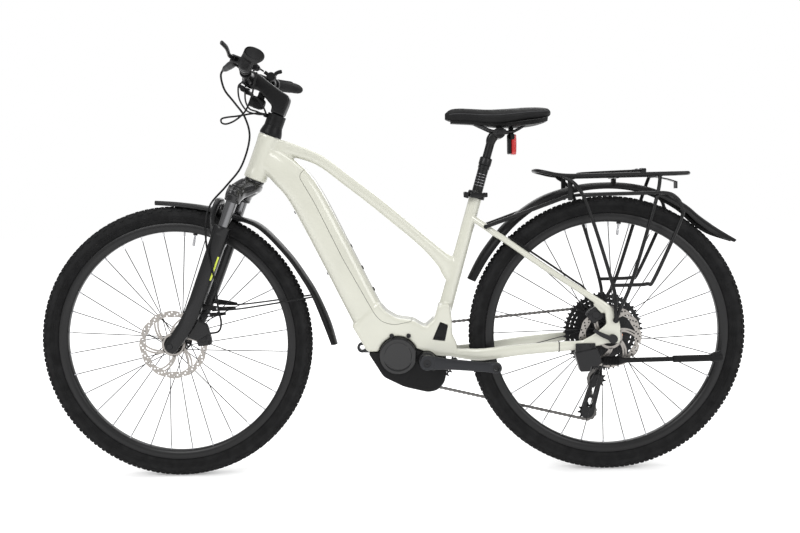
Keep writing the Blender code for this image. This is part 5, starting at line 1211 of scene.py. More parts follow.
def build_frame():
    """Welded frame, battery cover and a dark sheet inside them, painted shade seen through their gap."""
    sizes = bpy.context.scene.bike_sizes
    down_tube = beam(DOWN_TUBE, 56, 0.55, 8)
    cradle = extrude(rounded(CRADLE, 0.006, 3), -CRADLE_HALF, CRADLE_HALF, side, 0.006)
    pieces = [down_tube, beam(TOP_TUBE, 48, 0.7, 8), cradle]
    seat_rows = [
        (*seat(0), 0.0340, 0.0340), (*seat(-0.090), 0.0345, 0.0345), (*seat(-0.240), 0.0370, 0.0365),
        (*seat(-0.345), 0.0480, 0.0400)
    ]
    pieces.append(beam(seat_rows, 48, 1.0, 8))
    head = [
        (0, 0.0298), (0.0020, 0.0305), (0.012, 0.0305), (0.030, 0.0288), (0.095, 0.0288), (0.110, 0.0300),
        (0.122, 0.0300)
    ]
    pieces.append(turned(head, steer(0, 0, 0.4770), STEER_UP, 56))
    pieces += both(beam(SEAT_STAY, 28, 0.9, 7)) + both(beam(CHAIN_STAY, 32, 0.75, 7))
    pieces += both(extrude(rounded(DROPOUT, 0.005, 3), -0.0840, -0.0745, side, 0.0014))
    pieces.append(extrude(rounded(HANGER, 0.004, 3), 0.0757, 0.0825))
    pieces.append(
        extrude([(0.562, 0.436), (0.538, 0.460), (0.521, 0.447), (0.543, 0.423)], -0.0770, -0.0688)
    )
    # A weld of a larger radius between seat tube and top tube, as on the real joint
    pieces.append(
        beam(
            [
                (0.138, 0, 0.572, 0.026, 0.036), (0.158, 0, 0.548, 0.030, 0.052),
                (0.168, 0, 0.520, 0.032, 0.044)
            ],
            28, 0.8, 4
        )
    )
    arc = [polar(MOTOR_CENTRE, 0.0595, a) for a in (165, 150, 130, 110, 90, 70, 50, 34)]
    motor_space = [
        (-0.0392, 0.20), (-0.0392, 0.3200), *arc, (0.092, 0.3450), (0.125, 0.3380), (0.1435, 0.320),
        (0.1435, 0.20)
    ]
    cuts = [
        rod(steer(0, 0, 0.457), steer(0, 0, 0.619), 0.0200, 40),
        rod(seat(-0.215), seat(0.03), 0.01435, 36),
        extrude(motor_space, -CRADLE_HALF + 0.0070, CRADLE_HALF - 0.0070),
        extrude(inset(FLAP, -0.0009), -CRADLE_HALF - 0.01, -CRADLE_HALF + 0.0034),
        across_rod(REAR_AXLE, -0.12, 0.12, 0.0066, 32), across_rod(CRANK_AXLE, -0.06, 0.06, 0.0250, 48)
    ]
    whole = fused_mesh(pieces, sizes.melt_size * (1), 18)

    def cut_copy(kept, cutters):
        """The welded shape, cut down to what lies in the kept pieces and by the cutters."""
        obj = added("copy", whole.copy())
        if kept:
            add_boolean(obj, "INTERSECT", kept)
        for cutter in cutters:
            add_boolean(obj, "DIFFERENCE", [cutter])
        return taken(obj)

    region = rounded(COVER_REGION, 0.012, 4)
    around = extrude(inset(region, -sizes.shut_gap / 2), -0.08, 0.08)
    inside = extrude(inset(region, sizes.shut_gap / 2), -0.079, 0.079)
    ivory = finish_of("ivory")
    place("frame_weldment", cut_copy((), cuts + [around]), ivory, "frame", ["frame"], "ivory_paint", 38)
    place(
        "battery_cover_shell", cut_copy([inside], ()), ivory, "frame", ["battery_cover"], "ivory_paint",
        38
    )
    # Shrunk dark copy of the down tube and cradle: painted shade seen through the gap round the battery
    # cover
    shade_sheet = added("shade_sheet", fused_mesh([down_tube, cradle], 0.004, 6))
    shrink = shade_sheet.modifiers.new("Shrink", "DISPLACE")
    shrink.strength = -0.0042
    shrink.mid_level = 0.0
    evaluated(shade_sheet)
    add_boolean(shade_sheet, "DIFFERENCE", [extrude(motor_space, -CRADLE_HALF, CRADLE_HALF)])
    place("gap_shade_sheet", taken(shade_sheet), finish_of("gap_shade"), "frame", (), None, 40)
    screws = []
    for run in (0.176, 0.240, 0.304):
        base = TUBE_START + TUBE_RUN * run + TUBE_FACE * 0.0405
        screws.append(rod(base, base + TUBE_FACE * 0.0064, 0.0056, 20, 0.0010))
    for run in (0.030, 0.212, 0.395):
        base = TUBE_START + TUBE_RUN * run - TUBE_FACE * 0.0400
        screws.append(rod(base, base - TUBE_FACE * 0.0062, 0.0042, 20, 0.0010))
    part("tube_plugs", "frame", "plastic", screws)
    eyelets = []
    for sign in (-1, 1):
        eyelets.append(screw((0.575, sign * 0.0935, 0.408), Y * sign, 0.0050, 0.0030))
        eyelets.append(screw((0.2540, sign * 0.0480, 0.6505), Y * sign, 0.0040, 0.0026))
    part("stay_screws", "frame", "alloy", eyelets)


def build_drive_unit():
    """Motor, its covers and screws."""
    half = CRADLE_HALF - 0.0073
    inner = inset(SKID, 0.0042)
    skid_cut = [(inner[0][0], 0.42), *inner[0:8], (inner[7][0], 0.42)]
    soft = rounded(SKID, 0.010, 5)
    shell = [extrude(soft, -CRADLE_HALF + 0.0005, CRADLE_HALF - 0.0010, side, 0.004)]
    disc = [
        (0, 0.0490), (0.0020, 0.0490), (0.0100, 0.0490), (0.0122, 0.0478), (0.0130, 0.0455),
        (0.0130, 0.0395), (0.0124, 0.0380), (0.0124, 0.0355), (0.0132, 0.0345), (0.0134, 0.0001)
    ]
    start = Vector((MOTOR_CENTRE[0], -half - 0.0003, MOTOR_CENTRE[1]))
    cuts = [
        extrude(skid_cut, -half - 0.0003, half + 0.0003), across_rod(CRANK_AXLE, -0.10, 0.10, 0.0248, 48)
    ]
    melted("skid_shell", "frame", "plastic", shell, 0.0014, 3, cuts, ["motor_cover"], 32)
    tie = beam(
        [(0.4332, -0.067, 0.340, 0.0185, 0.0290), (0.4352, -0.067, 0.340, 0.0185, 0.0290)], 32, 0.7, 2
    )
    part("stay_tie", "frame", "plastic", [tie])
    part("motor_disc", "frame", "gloss", [turned(disc, start, -Y, 96)])
    ribs = []
    for sign in (-1, 1):
        for k in range(5):
            share = 0.16 + 0.17 * k
            one = Vector(SKID[1]).lerp(Vector(SKID[3]), share)
            ribs.append(
                rod(
                    (one.x, sign * (CRADLE_HALF - 0.0012), one.y + 0.005),
                    (one.x + 0.012, sign * (CRADLE_HALF - 0.0012), one.y + 0.0225), 0.0012, 10
                )
            )
    part("skid_ribs", "frame", "plastic", ribs)
    housing = [*inset(SKID, 0.0058)[1:8], (0.121, 0.3300), (0.060, 0.3400), (-0.020, 0.3300)]
    motor = [across_rod((MOTOR_CENTRE[0], 0, MOTOR_CENTRE[1]), -half, half, 0.058, 72, 0.002)]
    motor.append(extrude(housing, -half + 0.0004, half - 0.0004, side, 0.002))
    part("motor_casing", "frame", "plastic", motor, ["drive_motor"])
    collar = [
        ringed(
            [
                (-0.056, 0.0102), (-0.056, 0.0190), (-0.054, 0.0215), (-0.046, 0.0235), (-0.038, 0.0238),
                (-0.038, 0.0102)
            ],
            CRANK_AXLE, Y, 56
        )
    ]
    collar.append(
        ringed(
            [(0.032, 0.0102), (0.032, 0.0235), (0.0390, 0.0230), (0.0400, 0.0200), (0.0400, 0.0102)],
            CRANK_AXLE, Y, 56
        )
    )
    part("axle_collars", "frame", "alloy", collar)
    heads = []
    for x, z in ((0.005, 0.372), (0.049, 0.371)):
        heads.append(screw((x, -CRADLE_HALF - 0.0002, z), -Y, 0.0060, 0.0046))
        heads.append(screw((x, CRADLE_HALF + 0.0002, z), Y, 0.0060, 0.0046))
    part("cradle_screws", "frame", "alloy", heads)
    flap = extrude(rounded(FLAP, 0.004, 4), -CRADLE_HALF - 0.0006, -CRADLE_HALF + 0.0030, side, 0.0008)
    pull = extrude(
        rounded([(0.118, 0.3600), (0.136, 0.3576), (0.138, 0.3640), (0.120, 0.3662)], 0.002, 3),
        -CRADLE_HALF - 0.0022, -CRADLE_HALF - 0.0004, side, 0.0006
    )
    part("charge_flap_plate", "charge_port_flap", "cover", [flap, pull], ["charge_port_flap"])


# Saddle, seat post and tail lamp
RAIL_Y = 0.022
SADDLE = [
    (0.4245, 0.030, 0.9440, 0.9330), (0.4160, 0.052, 0.9500, 0.9260), (0.3930, 0.071, 0.9525, 0.9200),
    (0.3620, 0.0785, 0.9530, 0.9160), (0.3300, 0.070, 0.9520, 0.9130), (0.2950, 0.050, 0.9515, 0.9120),
    (0.2600, 0.035, 0.9520, 0.9150), (0.2250, 0.0265, 0.9545, 0.9200), (0.1930, 0.0235, 0.9565, 0.9225),
    (0.1700, 0.0200, 0.9540, 0.9240), (0.1560, 0.0110, 0.9440, 0.9290)
]
CROWN = (
    (0.0, 0.0), (0.15, 0.004), (0.30, 0.018), (0.46, 0.048), (0.62, 0.10), (0.76, 0.185), (0.88, 0.31),
    (0.96, 0.45)
)


def saddle_section(x, half, top, edge):
    """Crowned section with a shallow pressure channel and sides drawn in to the edge."""
    rise = top - edge
    mid = max(0.0, 1 - abs(x - 0.325) / 0.085)
    right = []
    for across, drop in CROWN:
        channel = 0.0024 * mid * math.exp(-(across * half / 0.010) ** 2)
        right.append((across, top - drop * rise - channel))
    right += [(1.0, top - 0.60 * rise), (0.985, top - 0.72 * rise), (0.945, top - 0.84 * rise)]
    right += [(0.90, top - 0.94 * rise), (0.84, edge)]
    return right


def build_saddle():
    """Saddle shell, cover and rails."""
    rows = refined(SADDLE, 6)
    rings, seams = [], [[], []]
    for x, half, top, edge in rows:
        right = saddle_section(x, half, top, edge)
        loop = [(a * half, z) for a, z in right] + [(-a * half, z) for a, z in right[:0:-1]]
        rings.append([Vector((x, y, z)) for y, z in refined(loop, 3, closed=True)])
        if 0.165 < x < 0.418:
            for sign, seam in ((1, seams[0]), (-1, seams[1])):
                seam.append(Vector((x, sign * 0.962 * half, top - 0.455 * (top - edge) + 0.0002)))
    cover = part("saddle_cushion", "saddle", "saddle", [loft(rings)], ["saddle_cover"], 60)
    part("saddle_piping", "saddle", "thread", [tube(seam, 0.0009, 8, 1) for seam in seams])
    base = []
    for x, half, top, edge in refined(SADDLE[1:-1], 5):
        low = edge - (0.0060 + 0.0036 / (1 + math.exp(-(x - 0.33) / 0.012)))
        shape = [
            (-0.82, edge - 0.0003), (0.82, edge - 0.0003), (0.80, edge - 0.0022), (0.66, low),
            (-0.66, low), (-0.80, edge - 0.0022)
        ]
        base.append([Vector((x, a * half, z)) for a, z in shape])
    rail = [
        (0.231, -0.009, 0.9155), (0.252, -0.017, 0.9060), (0.275, -RAIL_Y, 0.8960),
        (0.300, -RAIL_Y, 0.8925), (0.328, -RAIL_Y, 0.8930), (0.348, -0.023, 0.9010),
        (0.366, -0.024, 0.9125)
    ]
    part("saddle_shell", "saddle", "plastic", [loft(base)], ["saddle_base"])
    part("saddle_rails", "saddle", "alloy", both(tube(rail, 0.0035, 18, 8)))
    lamp = [block((0.3170, -0.0180, 0.8720), (0.3340, 0.0180, 0.8880), 0.003)]
    lamp.append(block((0.3170, -0.0180, 0.8360), (0.3250, 0.0180, 0.8880), 0.003))
    lamp.append(block((0.3200, -0.0080, 0.8850), (0.3320, 0.0080, 0.9050), 0.002))
    lamp.append(block((0.3200, -0.0184, 0.8890), (0.3320, 0.0184, 0.8965), 0.002))
    part("tail_lamp_bracket", "saddle", "plastic", lamp)
    glass = beam(
        [
            (0.3315, 0, 0.8345, 0.026, 0.010), (0.3315, 0, 0.8370, 0.0340, 0.0140),
            (0.3320, 0, 0.8600, 0.0350, 0.0150), (0.3320, 0, 0.8830, 0.0340, 0.0140),
            (0.3320, 0, 0.8850, 0.028, 0.010)
        ],
        36, 0.55, 4
    )
    part("tail_lamp_lens", "saddle", "red", [glass], ["tail_light"])


def build_seat_post():
    """Seat post, its head and the seat clamp."""
    collar = [
        (-0.1450, 0.01375), (0.0595, 0.01375), (0.0605, 0.0150), (0.0685, 0.0150), (0.0695, 0.0140),
        (0.0700, 0.0162), (0.0870, 0.0162), (0.0885, 0.0155), (0.0900, 0.0140), (0.0900, 0.0116),
        (-0.1450, 0.0116)
    ]
    part("post_tube", "seatpost_lower", "black", [ringed(collar, SEAT_TOP, SEAT_UP, 48)], ["seatpost_lower"])
    marks = [
        ringed(
            [
                (0.0150 + 0.0075 * k, 0.0135), (0.0150 + 0.0075 * k, 0.01387),
                (0.0156 + 0.0075 * k, 0.01387), (0.0156 + 0.0075 * k, 0.0135)
            ],
            SEAT_TOP, SEAT_UP, 48
        )
        for k in range(5)
    ]
    part("post_scale_rings", "seatpost_lower", "bolt", marks)
    centre = Vector((0.2950, 0, 0.8905))
    head = [across_rod(centre, -0.0290, 0.0290, 0.0148, 48, 0.0018)]
    head.append(
        beam(
            [
                (*seat(0.126), 0.022, 0.022), (*seat(0.140), 0.025, 0.027),
                (0.286, 0, 0.8890, 0.028, 0.027)
            ],
            32, 0.7, 5
        )
    )
    shaft = rod(seat(-0.0250), seat(0.1460), 0.0110, 40, 0.0005)
    part("post_shaft", "saddle", "black", [shaft])
    melted("post_head", "saddle", "black", head, 0.0011, 4, (), ["seatpost_upper"], 36)
    clamps = both(block((0.278, -0.0300, 0.8850), (0.312, -0.0150, 0.8990), 0.003))
    clamps += both(across_rod(centre, -0.0330, -0.0285, 0.0060, 24, 0.0008))
    part("rail_clamps", "saddle", "alloy", clamps)
    ring = [
        (0.0, 0.0236), (0.0010, 0.0242), (0.0155, 0.0242), (0.0168, 0.0232), (0.0180, 0.0224),
        (0.0180, 0.0180), (0.0, 0.0180)
    ]
    part(
        "seat_collar", "frame", "black",
        [
            ringed([(a - 0.0190, r - 0.0012) for a, r in ring], SEAT_TOP, SEAT_UP, 56),
            *both(block((0.2160, -0.0345, 0.7255), (0.2490, -0.0195, 0.7385), 0.003))[:1],
            rod((0.2485, -0.0275, 0.7320), (0.2610, -0.0275, 0.7320), 0.0062, 12, 0.0010)
        ],
        ["seat_clamp"]
    )
    axle = joint_place("seat_clamp_open")
    lever = [rod(axle - SEAT_UP * 0.0075, axle + SEAT_UP * 0.0075, 0.0066, 32, 0.0008)]
    lever.append(
        beam(
            [
                (0.2080, -0.028, 0.7335, 0.006, 0.012), (0.2030, -0.010, 0.7350, 0.0055, 0.013),
                (0.2040, 0.012, 0.7360, 0.0045, 0.012), (0.2110, 0.026, 0.7360, 0.0040, 0.010)
            ],
            24, 0.6, 6, X
        )
    )
    part("collar_lever", "seat_clamp_lever", "black", lever, ["seat_clamp_lever"])


# Rack, mudguards and stand
def build_rack():
    """Luggage rack with its stays, a rear bracket and the spring clip."""
    deck_half = [
        (0.384, 0, 0.7915), (0.389, 0.030, 0.7905), (0.407, 0.045, 0.7860), (0.440, 0.0510, 0.7785),
        (0.485, 0.0520, 0.7755), (0.600, 0.0512, 0.7755), (0.745, 0.0500, 0.7755), (0.771, 0.036, 0.7755),
        (0.778, 0, 0.7755)
    ]
    deck = deck_half + [(x, -y, z) for x, y, z in deck_half[1:-1]][::-1]
    rack = [tube(deck, 0.0050, 18, 6, closed=True)]
    for x in (0.478, 0.590, 0.698):
        rack.append(rod((x, -0.0515, 0.7700), (x, 0.0515, 0.7700), 0.0042, 16))
    rack += both(rod((0.478, -0.018, 0.7710), (0.698, -0.018, 0.7710), 0.0030, 14))
    front_leg = [
        (0.452, -0.051, 0.7740), (0.500, -0.073, 0.7200), (0.569, -0.083, 0.4980),
        (0.5740, -0.0896, 0.4380), (0.5752, -0.0896, 0.4080)
    ]
    rear_leg = [
        (0.697, -0.050, 0.7740), (0.680, -0.074, 0.7090), (0.618, -0.083, 0.5080),
        (0.5880, -0.0896, 0.4420), (0.5765, -0.0896, 0.4120)
    ]
    hoop = [
        (0.498, -0.0735, 0.7240), (0.530, -0.079, 0.7262), (0.560, -0.080, 0.7268),
        (0.640, -0.080, 0.7270), (0.703, -0.080, 0.7262), (0.730, -0.080, 0.7130),
        (0.7420, -0.080, 0.6900), (0.7400, -0.0803, 0.6580), (0.674, -0.082, 0.5120),
        (0.655, -0.083, 0.4985), (0.610, -0.083, 0.4965), (0.566, -0.083, 0.4965)
    ]
    strut = [(0.2520, -0.0445, 0.6500), (0.330, -0.0460, 0.6770), (0.466, -0.0520, 0.7250)]
    for points, radius in ((front_leg, 0.0046), (rear_leg, 0.0046), (hoop, 0.0046), (strut, 0.0050)):
        rack += both(tube(points, radius, 16, 8))
    rack += both(across_rod((0.575, 0, 0.408), -0.0932, -0.0845, 0.0068, 24, 0.0006))
    rack += both(across_rod((0.2540, 0, 0.6505), -0.0480, -0.0388, 0.0056, 24, 0.0006))
    rack += both(block((0.4630, -0.0556, 0.7130), (0.4750, -0.0494, 0.7740), 0.0020))
    rack += both(block((0.6490, -0.0545, 0.7725), (0.6610, -0.0440, 0.7900), 0.0020))
    bracket = [
        (0.698, 0.7665), (0.728, 0.7600), (0.7490, 0.7530), (0.7490, 0.7370), (0.7515, 0.7370),
        (0.7515, 0.7550), (0.729, 0.7625), (0.698, 0.7695)
    ]
    rack.append(extrude(bracket, -0.013, 0.013))
    part("rack_tubes", "frame", "black", rack, ["rack"])
    hinge = joint_place("rack_clip_lift")
    wire = [
        (hinge.x, -0.0345, hinge.z), (0.600, -0.0345, 0.7842), (0.520, -0.0345, 0.7822),
        (0.500, -0.0200, 0.7816)
    ]
    wire += [(x, -y, z) for x, y, z in wire[::-1]]
    clip = [across_rod(hinge, -0.0480, 0.0480, 0.0030, 16), tube(wire, 0.0028, 14, 6)]
    for start in (-0.0330, 0.0180):
        coil = []
        for k in range(73):
            a = math.radians(k * 30)
            coil.append(
                (hinge.x + 0.0052 * math.cos(a), start + 0.0150 * k / 72, hinge.z + 0.0052 * math.sin(a))
            )
        clip.append(tube(coil, 0.0011, 8, 1))
    part("rack_clip_wire", "rack_spring_clip", "black", clip, ["rack_spring_clip"])


def guard(points, widths, droops, axle, sheet=0.0022, steps=7):
    """Arched sheet along side-view points, its edges turned towards the axle."""
    rows = [(*point, width, droop) for point, width, droop in zip(points, widths, droops)]
    rings = []
    for x, z, half, droop in refined(rows, steps):
        crown = Vector((x, 0, z))
        inward = (axle - crown).normalized()
        ring = []
        for k in range(17):
            angle = math.pi * k / 16
            ring.append(crown - Y * math.cos(angle) * half + inward * droop * (1 - math.sin(angle) ** 0.75))
        for k in range(16, -1, -1):
            angle = math.pi * k / 16
            ring.append(
                crown - Y * math.cos(angle) * (half - sheet * 0.8)
                + inward * (
                    droop * (1 - math.sin(angle) ** 0.75)
                    + sheet * (0.35 + 0.65 * math.sin(angle))
                )
            )
        rings.append(ring)
    return loft(rings)


REAR_GUARD = [
    (0.2058, 0.5151), (0.2416, 0.5808), (0.2928, 0.6458), (0.3435, 0.6900), (0.4100, 0.7290),
    (0.490, 0.7510), (0.557, 0.7570), (0.630, 0.7530), (0.700, 0.7355), (0.7694, 0.6991),
    (0.8121, 0.6638), (0.8577, 0.6312), (0.9062, 0.6014)
]
REAR_WIDTHS = [0.022, 0.028, 0.029, 0.029, 0.030, 0.030, 0.030, 0.030, 0.031, 0.031, 0.032, 0.033, 0.016]
REAR_DROOPS = [0.021, 0.023, 0.023, 0.021, 0.019, 0.017, 0.016, 0.016, 0.018, 0.020, 0.022, 0.022, 0.0107]
FRONT_GUARD = [
    (0.229, 0.335), (0.165, 0.354), (0.085, 0.371), (0.013, 0.3735), (-0.057, 0.3725), (-0.149, 0.3300),
    (-0.216, 0.2850), (-0.2605, 0.2490), (-0.313, 0.195), (-0.351, 0.144)
]
FRONT_WIDTHS = [0.012, 0.024, 0.028, 0.029, 0.029, 0.029, 0.030, 0.031, 0.032, 0.026]
FRONT_DROOPS = [0.011] * 6 + [0.012, 0.014, 0.017, 0.014]


def build_mudguards():
    """Both mudguards with their stays."""
    brackets = [
        block((x - 0.005, -0.009, low), (x + 0.005, 0.009, 0.7655), 0.0012)
        for x, low in ((0.478, 0.7450), (0.590, 0.7530))
    ]
    part(
        "rear_guard_sheet", "frame", "cover",
        [guard(REAR_GUARD, REAR_WIDTHS, REAR_DROOPS, REAR_AXLE), *brackets], ["rear_mudguard"], 34
    )
    line = [(p.x, p.z) for p in (steer(f, 0, s) for f, s in FRONT_GUARD)]
    tab = steer_block((0.0610, -0.0080, 0.3695), (0.0750, 0.0080, 0.3823), 0.0012)
    part(
        "front_guard_sheet", "lower_fork", "cover",
        [guard(line, FRONT_WIDTHS, FRONT_DROOPS, FRONT_AXLE), tab], ["front_mudguard"], 34
    )
    stay = [(-0.012, -0.0560, 0.1240), (-0.080, -0.0520, 0.1500), (-0.2515, -0.0295, 0.2440)]
    foot = rod(steer(0.0067, -0.0560, 0.1270), steer(-0.0130, -0.0560, 0.1240), 0.0040, 20, 0.0006)
    part(
        "guard_stays", "lower_fork", "black",
        [*both(tube([steer(*p) for p in stay], 0.0022, 12, 8)), *both(foot)]
    )


def build_stand():
    """Kickstand and its bracket."""
    tilt = math.radians(15)
    axis = Vector((0, math.cos(tilt), -math.sin(tilt)))
    hinge = STAND_HINGE
    run = Vector((1, 0, 0.0100)).normalized()
    up = run.cross(axis)

    def about(a, b, c=0.0):
        return hinge + run * a + up * b + axis * c

    outline = [
        (0.4710, 0.3265), (0.4850, 0.2780), (0.5095, 0.2785), (0.5120, 0.2930), (0.5262, 0.2932),
        (0.5318, 0.2942), (0.5368, 0.2980), (0.5385, 0.3040), (0.5370, 0.3130), (0.5270, 0.3380),
        (0.4920, 0.3310)
    ]
    pieces = [extrude(rounded(outline, 0.003, 3), -0.0930, -0.0667, side, 0.0012)]
    pieces.append(block((0.4735, -0.0890, 0.3180), (0.5240, -0.0848, 0.3507), 0.0020))
    slot_line = [(-0.0140, -0.060), (0.050, -0.060), (0.050, 0.0140), (-0.0140, 0.0140)]
    slot = loft([[about(a, b, c) for a, b in slot_line] for c in (-0.0075, 0.0075)])
    melted("stand_bracket", "frame", "alloy", pieces, 0.0009, 3, [slot], ["kickstand_mount"], 32)
    pin = [rod(hinge - axis * 0.0112, hinge + axis * 0.0100, 0.0034, 24, 0.0005)]
    pin += [screw((x, -0.0892, z), -Y, 0.0055, 0.0030) for x, z in ((0.4810, 0.3400), (0.5165, 0.3440))]
    part("stand_screws", "frame", "alloy", pin)
    profile = [(0.0060, 0.0060), (0.0130, 0.0064), (0.0138, 0.0095)]
    for k in range(11):
        profile += [
            (0.0142 + 0.0038 * k, 0.0104), (0.0150 + 0.0038 * k, 0.0118), (0.0160 + 0.0038 * k, 0.0120)
        ]
        profile += [(0.0168 + 0.0038 * k, 0.0112), (0.0173 + 0.0038 * k, 0.0100)]
    profile += [
        (0.0575, 0.0104), (0.0640, 0.0084), (0.0710, 0.0062), (0.1920, 0.0060), (0.1925, 0.0083),
        (0.1935, 0.0087)
    ]
    profile += [
        (0.2840, 0.0086), (0.2850, 0.0075), (0.2870, 0.0088), (0.2920, 0.0104), (0.3100, 0.0112),
        (0.3150, 0.0098), (0.3160, 0.0070)
    ]
    hub = rod(hinge - axis * 0.0068, hinge + axis * 0.0068, 0.0110, 40, 0.0008)
    foot = beam(
        [
            (*about(0.288, 0.0015), 0.014, 0.016), (*about(0.300, 0.0060), 0.017, 0.018),
            (*about(0.3125, 0.0120), 0.015, 0.011)
        ],
        28, 0.6, 5
    )
    part(
        "stand_leg", "kickstand_leg", "plastic", [turned(profile, hinge, run, 40), hub, foot],
        ["kickstand_leg"], 34
    )


def caliper_body(name, body, axle, rotor, lean, near, far, reach, replaced):
    """Brake caliper astride a disc, with its screws and piston cap."""
    rotor_y, rotor_radius = rotor
    out = Vector((math.cos(lean), 0, math.sin(lean)))
    along = Vector((-out.z, 0, out.x))
    shape = [
        (reach[0], -0.019), (reach[1] - 0.004, -0.022), (reach[1], -0.012), (reach[1], 0.012),
        (reach[1] - 0.004, 0.022), (reach[0], 0.019)
    ]
    points = [axle + out * a + along * b for a, b in shape]
    outline = rounded([(p.x, p.z) for p in points], 0.005, 4)
    edge = rotor_radius + 0.0018
    slot = turned(((-0.0021, edge), (0.0021, edge)), axle + Y * rotor_y, Y, 64)
    melted(
        name, body, "alloy", [extrude(outline, near, far, side, 0.0035)], 0.0008, 3, [slot], [replaced],
        34
    )
    trims = []
    for at in (-0.0145, 0.0145):
        p = axle + out * (reach[1] - 0.006) + along * at
        trims.append(screw((p.x, near + 0.0002, p.z), -Y, 0.0042, 0.0032))
    p = axle + out * (reach[0] + 0.017)
    trims.append(
        turned(
            [(0, 0.0112), (0.0012, 0.0110), (0.0018, 0.0096), (0.0012, 0.0090), (0.0012, 0.0001)],
            Vector((p.x, near, p.z)), -Y, 40
        )
    )
    part(name + "_caps", body, "alloy", trims)


def build_brakes():
    """Calipers, rear hose and the ends of the through-axles."""
    caliper_body(
        "rear_brake", "frame", REAR_AXLE, (REAR_ROTOR_Y, REAR_ROTOR_RADIUS), math.radians(122.5), -0.0685,
        -0.0480, (0.053, 0.0885), "rear_caliper"
    )
    back_up = (STEER_AHEAD * -0.843 + STEER_UP * 0.542).normalized()
    caliper_body(
        "front_brake", "lower_fork", FRONT_AXLE, (FRONT_ROTOR_Y, FRONT_ROTOR_RADIUS),
        math.atan2(back_up.z, back_up.x), -0.0500, -0.0345, (0.063, 0.1020), "front_caliper"
    )
    lever = beam(
        [
            (REAR_AXLE.x - 0.004, -0.0920, 0.3620, 0.008, 0.012), (0.540, -0.0935, 0.3720, 0.007, 0.011),
            (0.5190, -0.0930, 0.3850, 0.006, 0.008)
        ],
        24, 0.7, 6
    )
    axle = [
        across_rod(REAR_AXLE, -0.0880, 0.0830, 0.0060, 32),
        across_rod(REAR_AXLE, -0.0960, -0.0843, 0.0115, 40, 0.0012)
    ]
    part("rear_axle_lever", "rear_thru_axle", "alloy", [*axle, lever], ["rear_thru_axle"])
    front = [
        across_rod(FRONT_AXLE, -0.0785, 0.0790, 0.0070, 32, 0.0006),
        across_rod(FRONT_AXLE, 0.0775, 0.0820, 0.0105, 32, 0.0008)
    ]
    part("front_axle_bolt", "lower_fork", "alloy", front, ["front_thru_axle"])
    hose = [
        (0.5240, -0.0580, 0.4420), (0.512, -0.0600, 0.4640), (0.500, -0.0690, 0.4900),
        (0.470, -0.0660, 0.5120), (0.420, -0.0600, 0.5480), (0.360, -0.0535, 0.5900),
        (0.310, -0.0475, 0.6250)
    ]
    part("rear_brake_hose", "frame", "cable", [tube(hose, bpy.context.scene.bike_sizes.hose_radius, 14, 8)])


# Suspension fork
LEG_Y, LEG_AHEAD = 0.0660, 0.0250
BAR_AHEAD, BAR_UP = 0.0940, 0.7180
BAR_RADIUS = 0.0111
BAR_LINE = [
    (0, BAR_AHEAD, BAR_UP, 0.0159), (0.035, BAR_AHEAD, BAR_UP, 0.0159), (0.052, 0.0938, 0.7187, 0.0138),
    (0.080, 0.0930, 0.7220, BAR_RADIUS), (0.130, 0.0870, 0.7300, BAR_RADIUS),
    (0.200, 0.0735, 0.7380, BAR_RADIUS), (0.316, 0.0400, 0.7570, BAR_RADIUS)
]


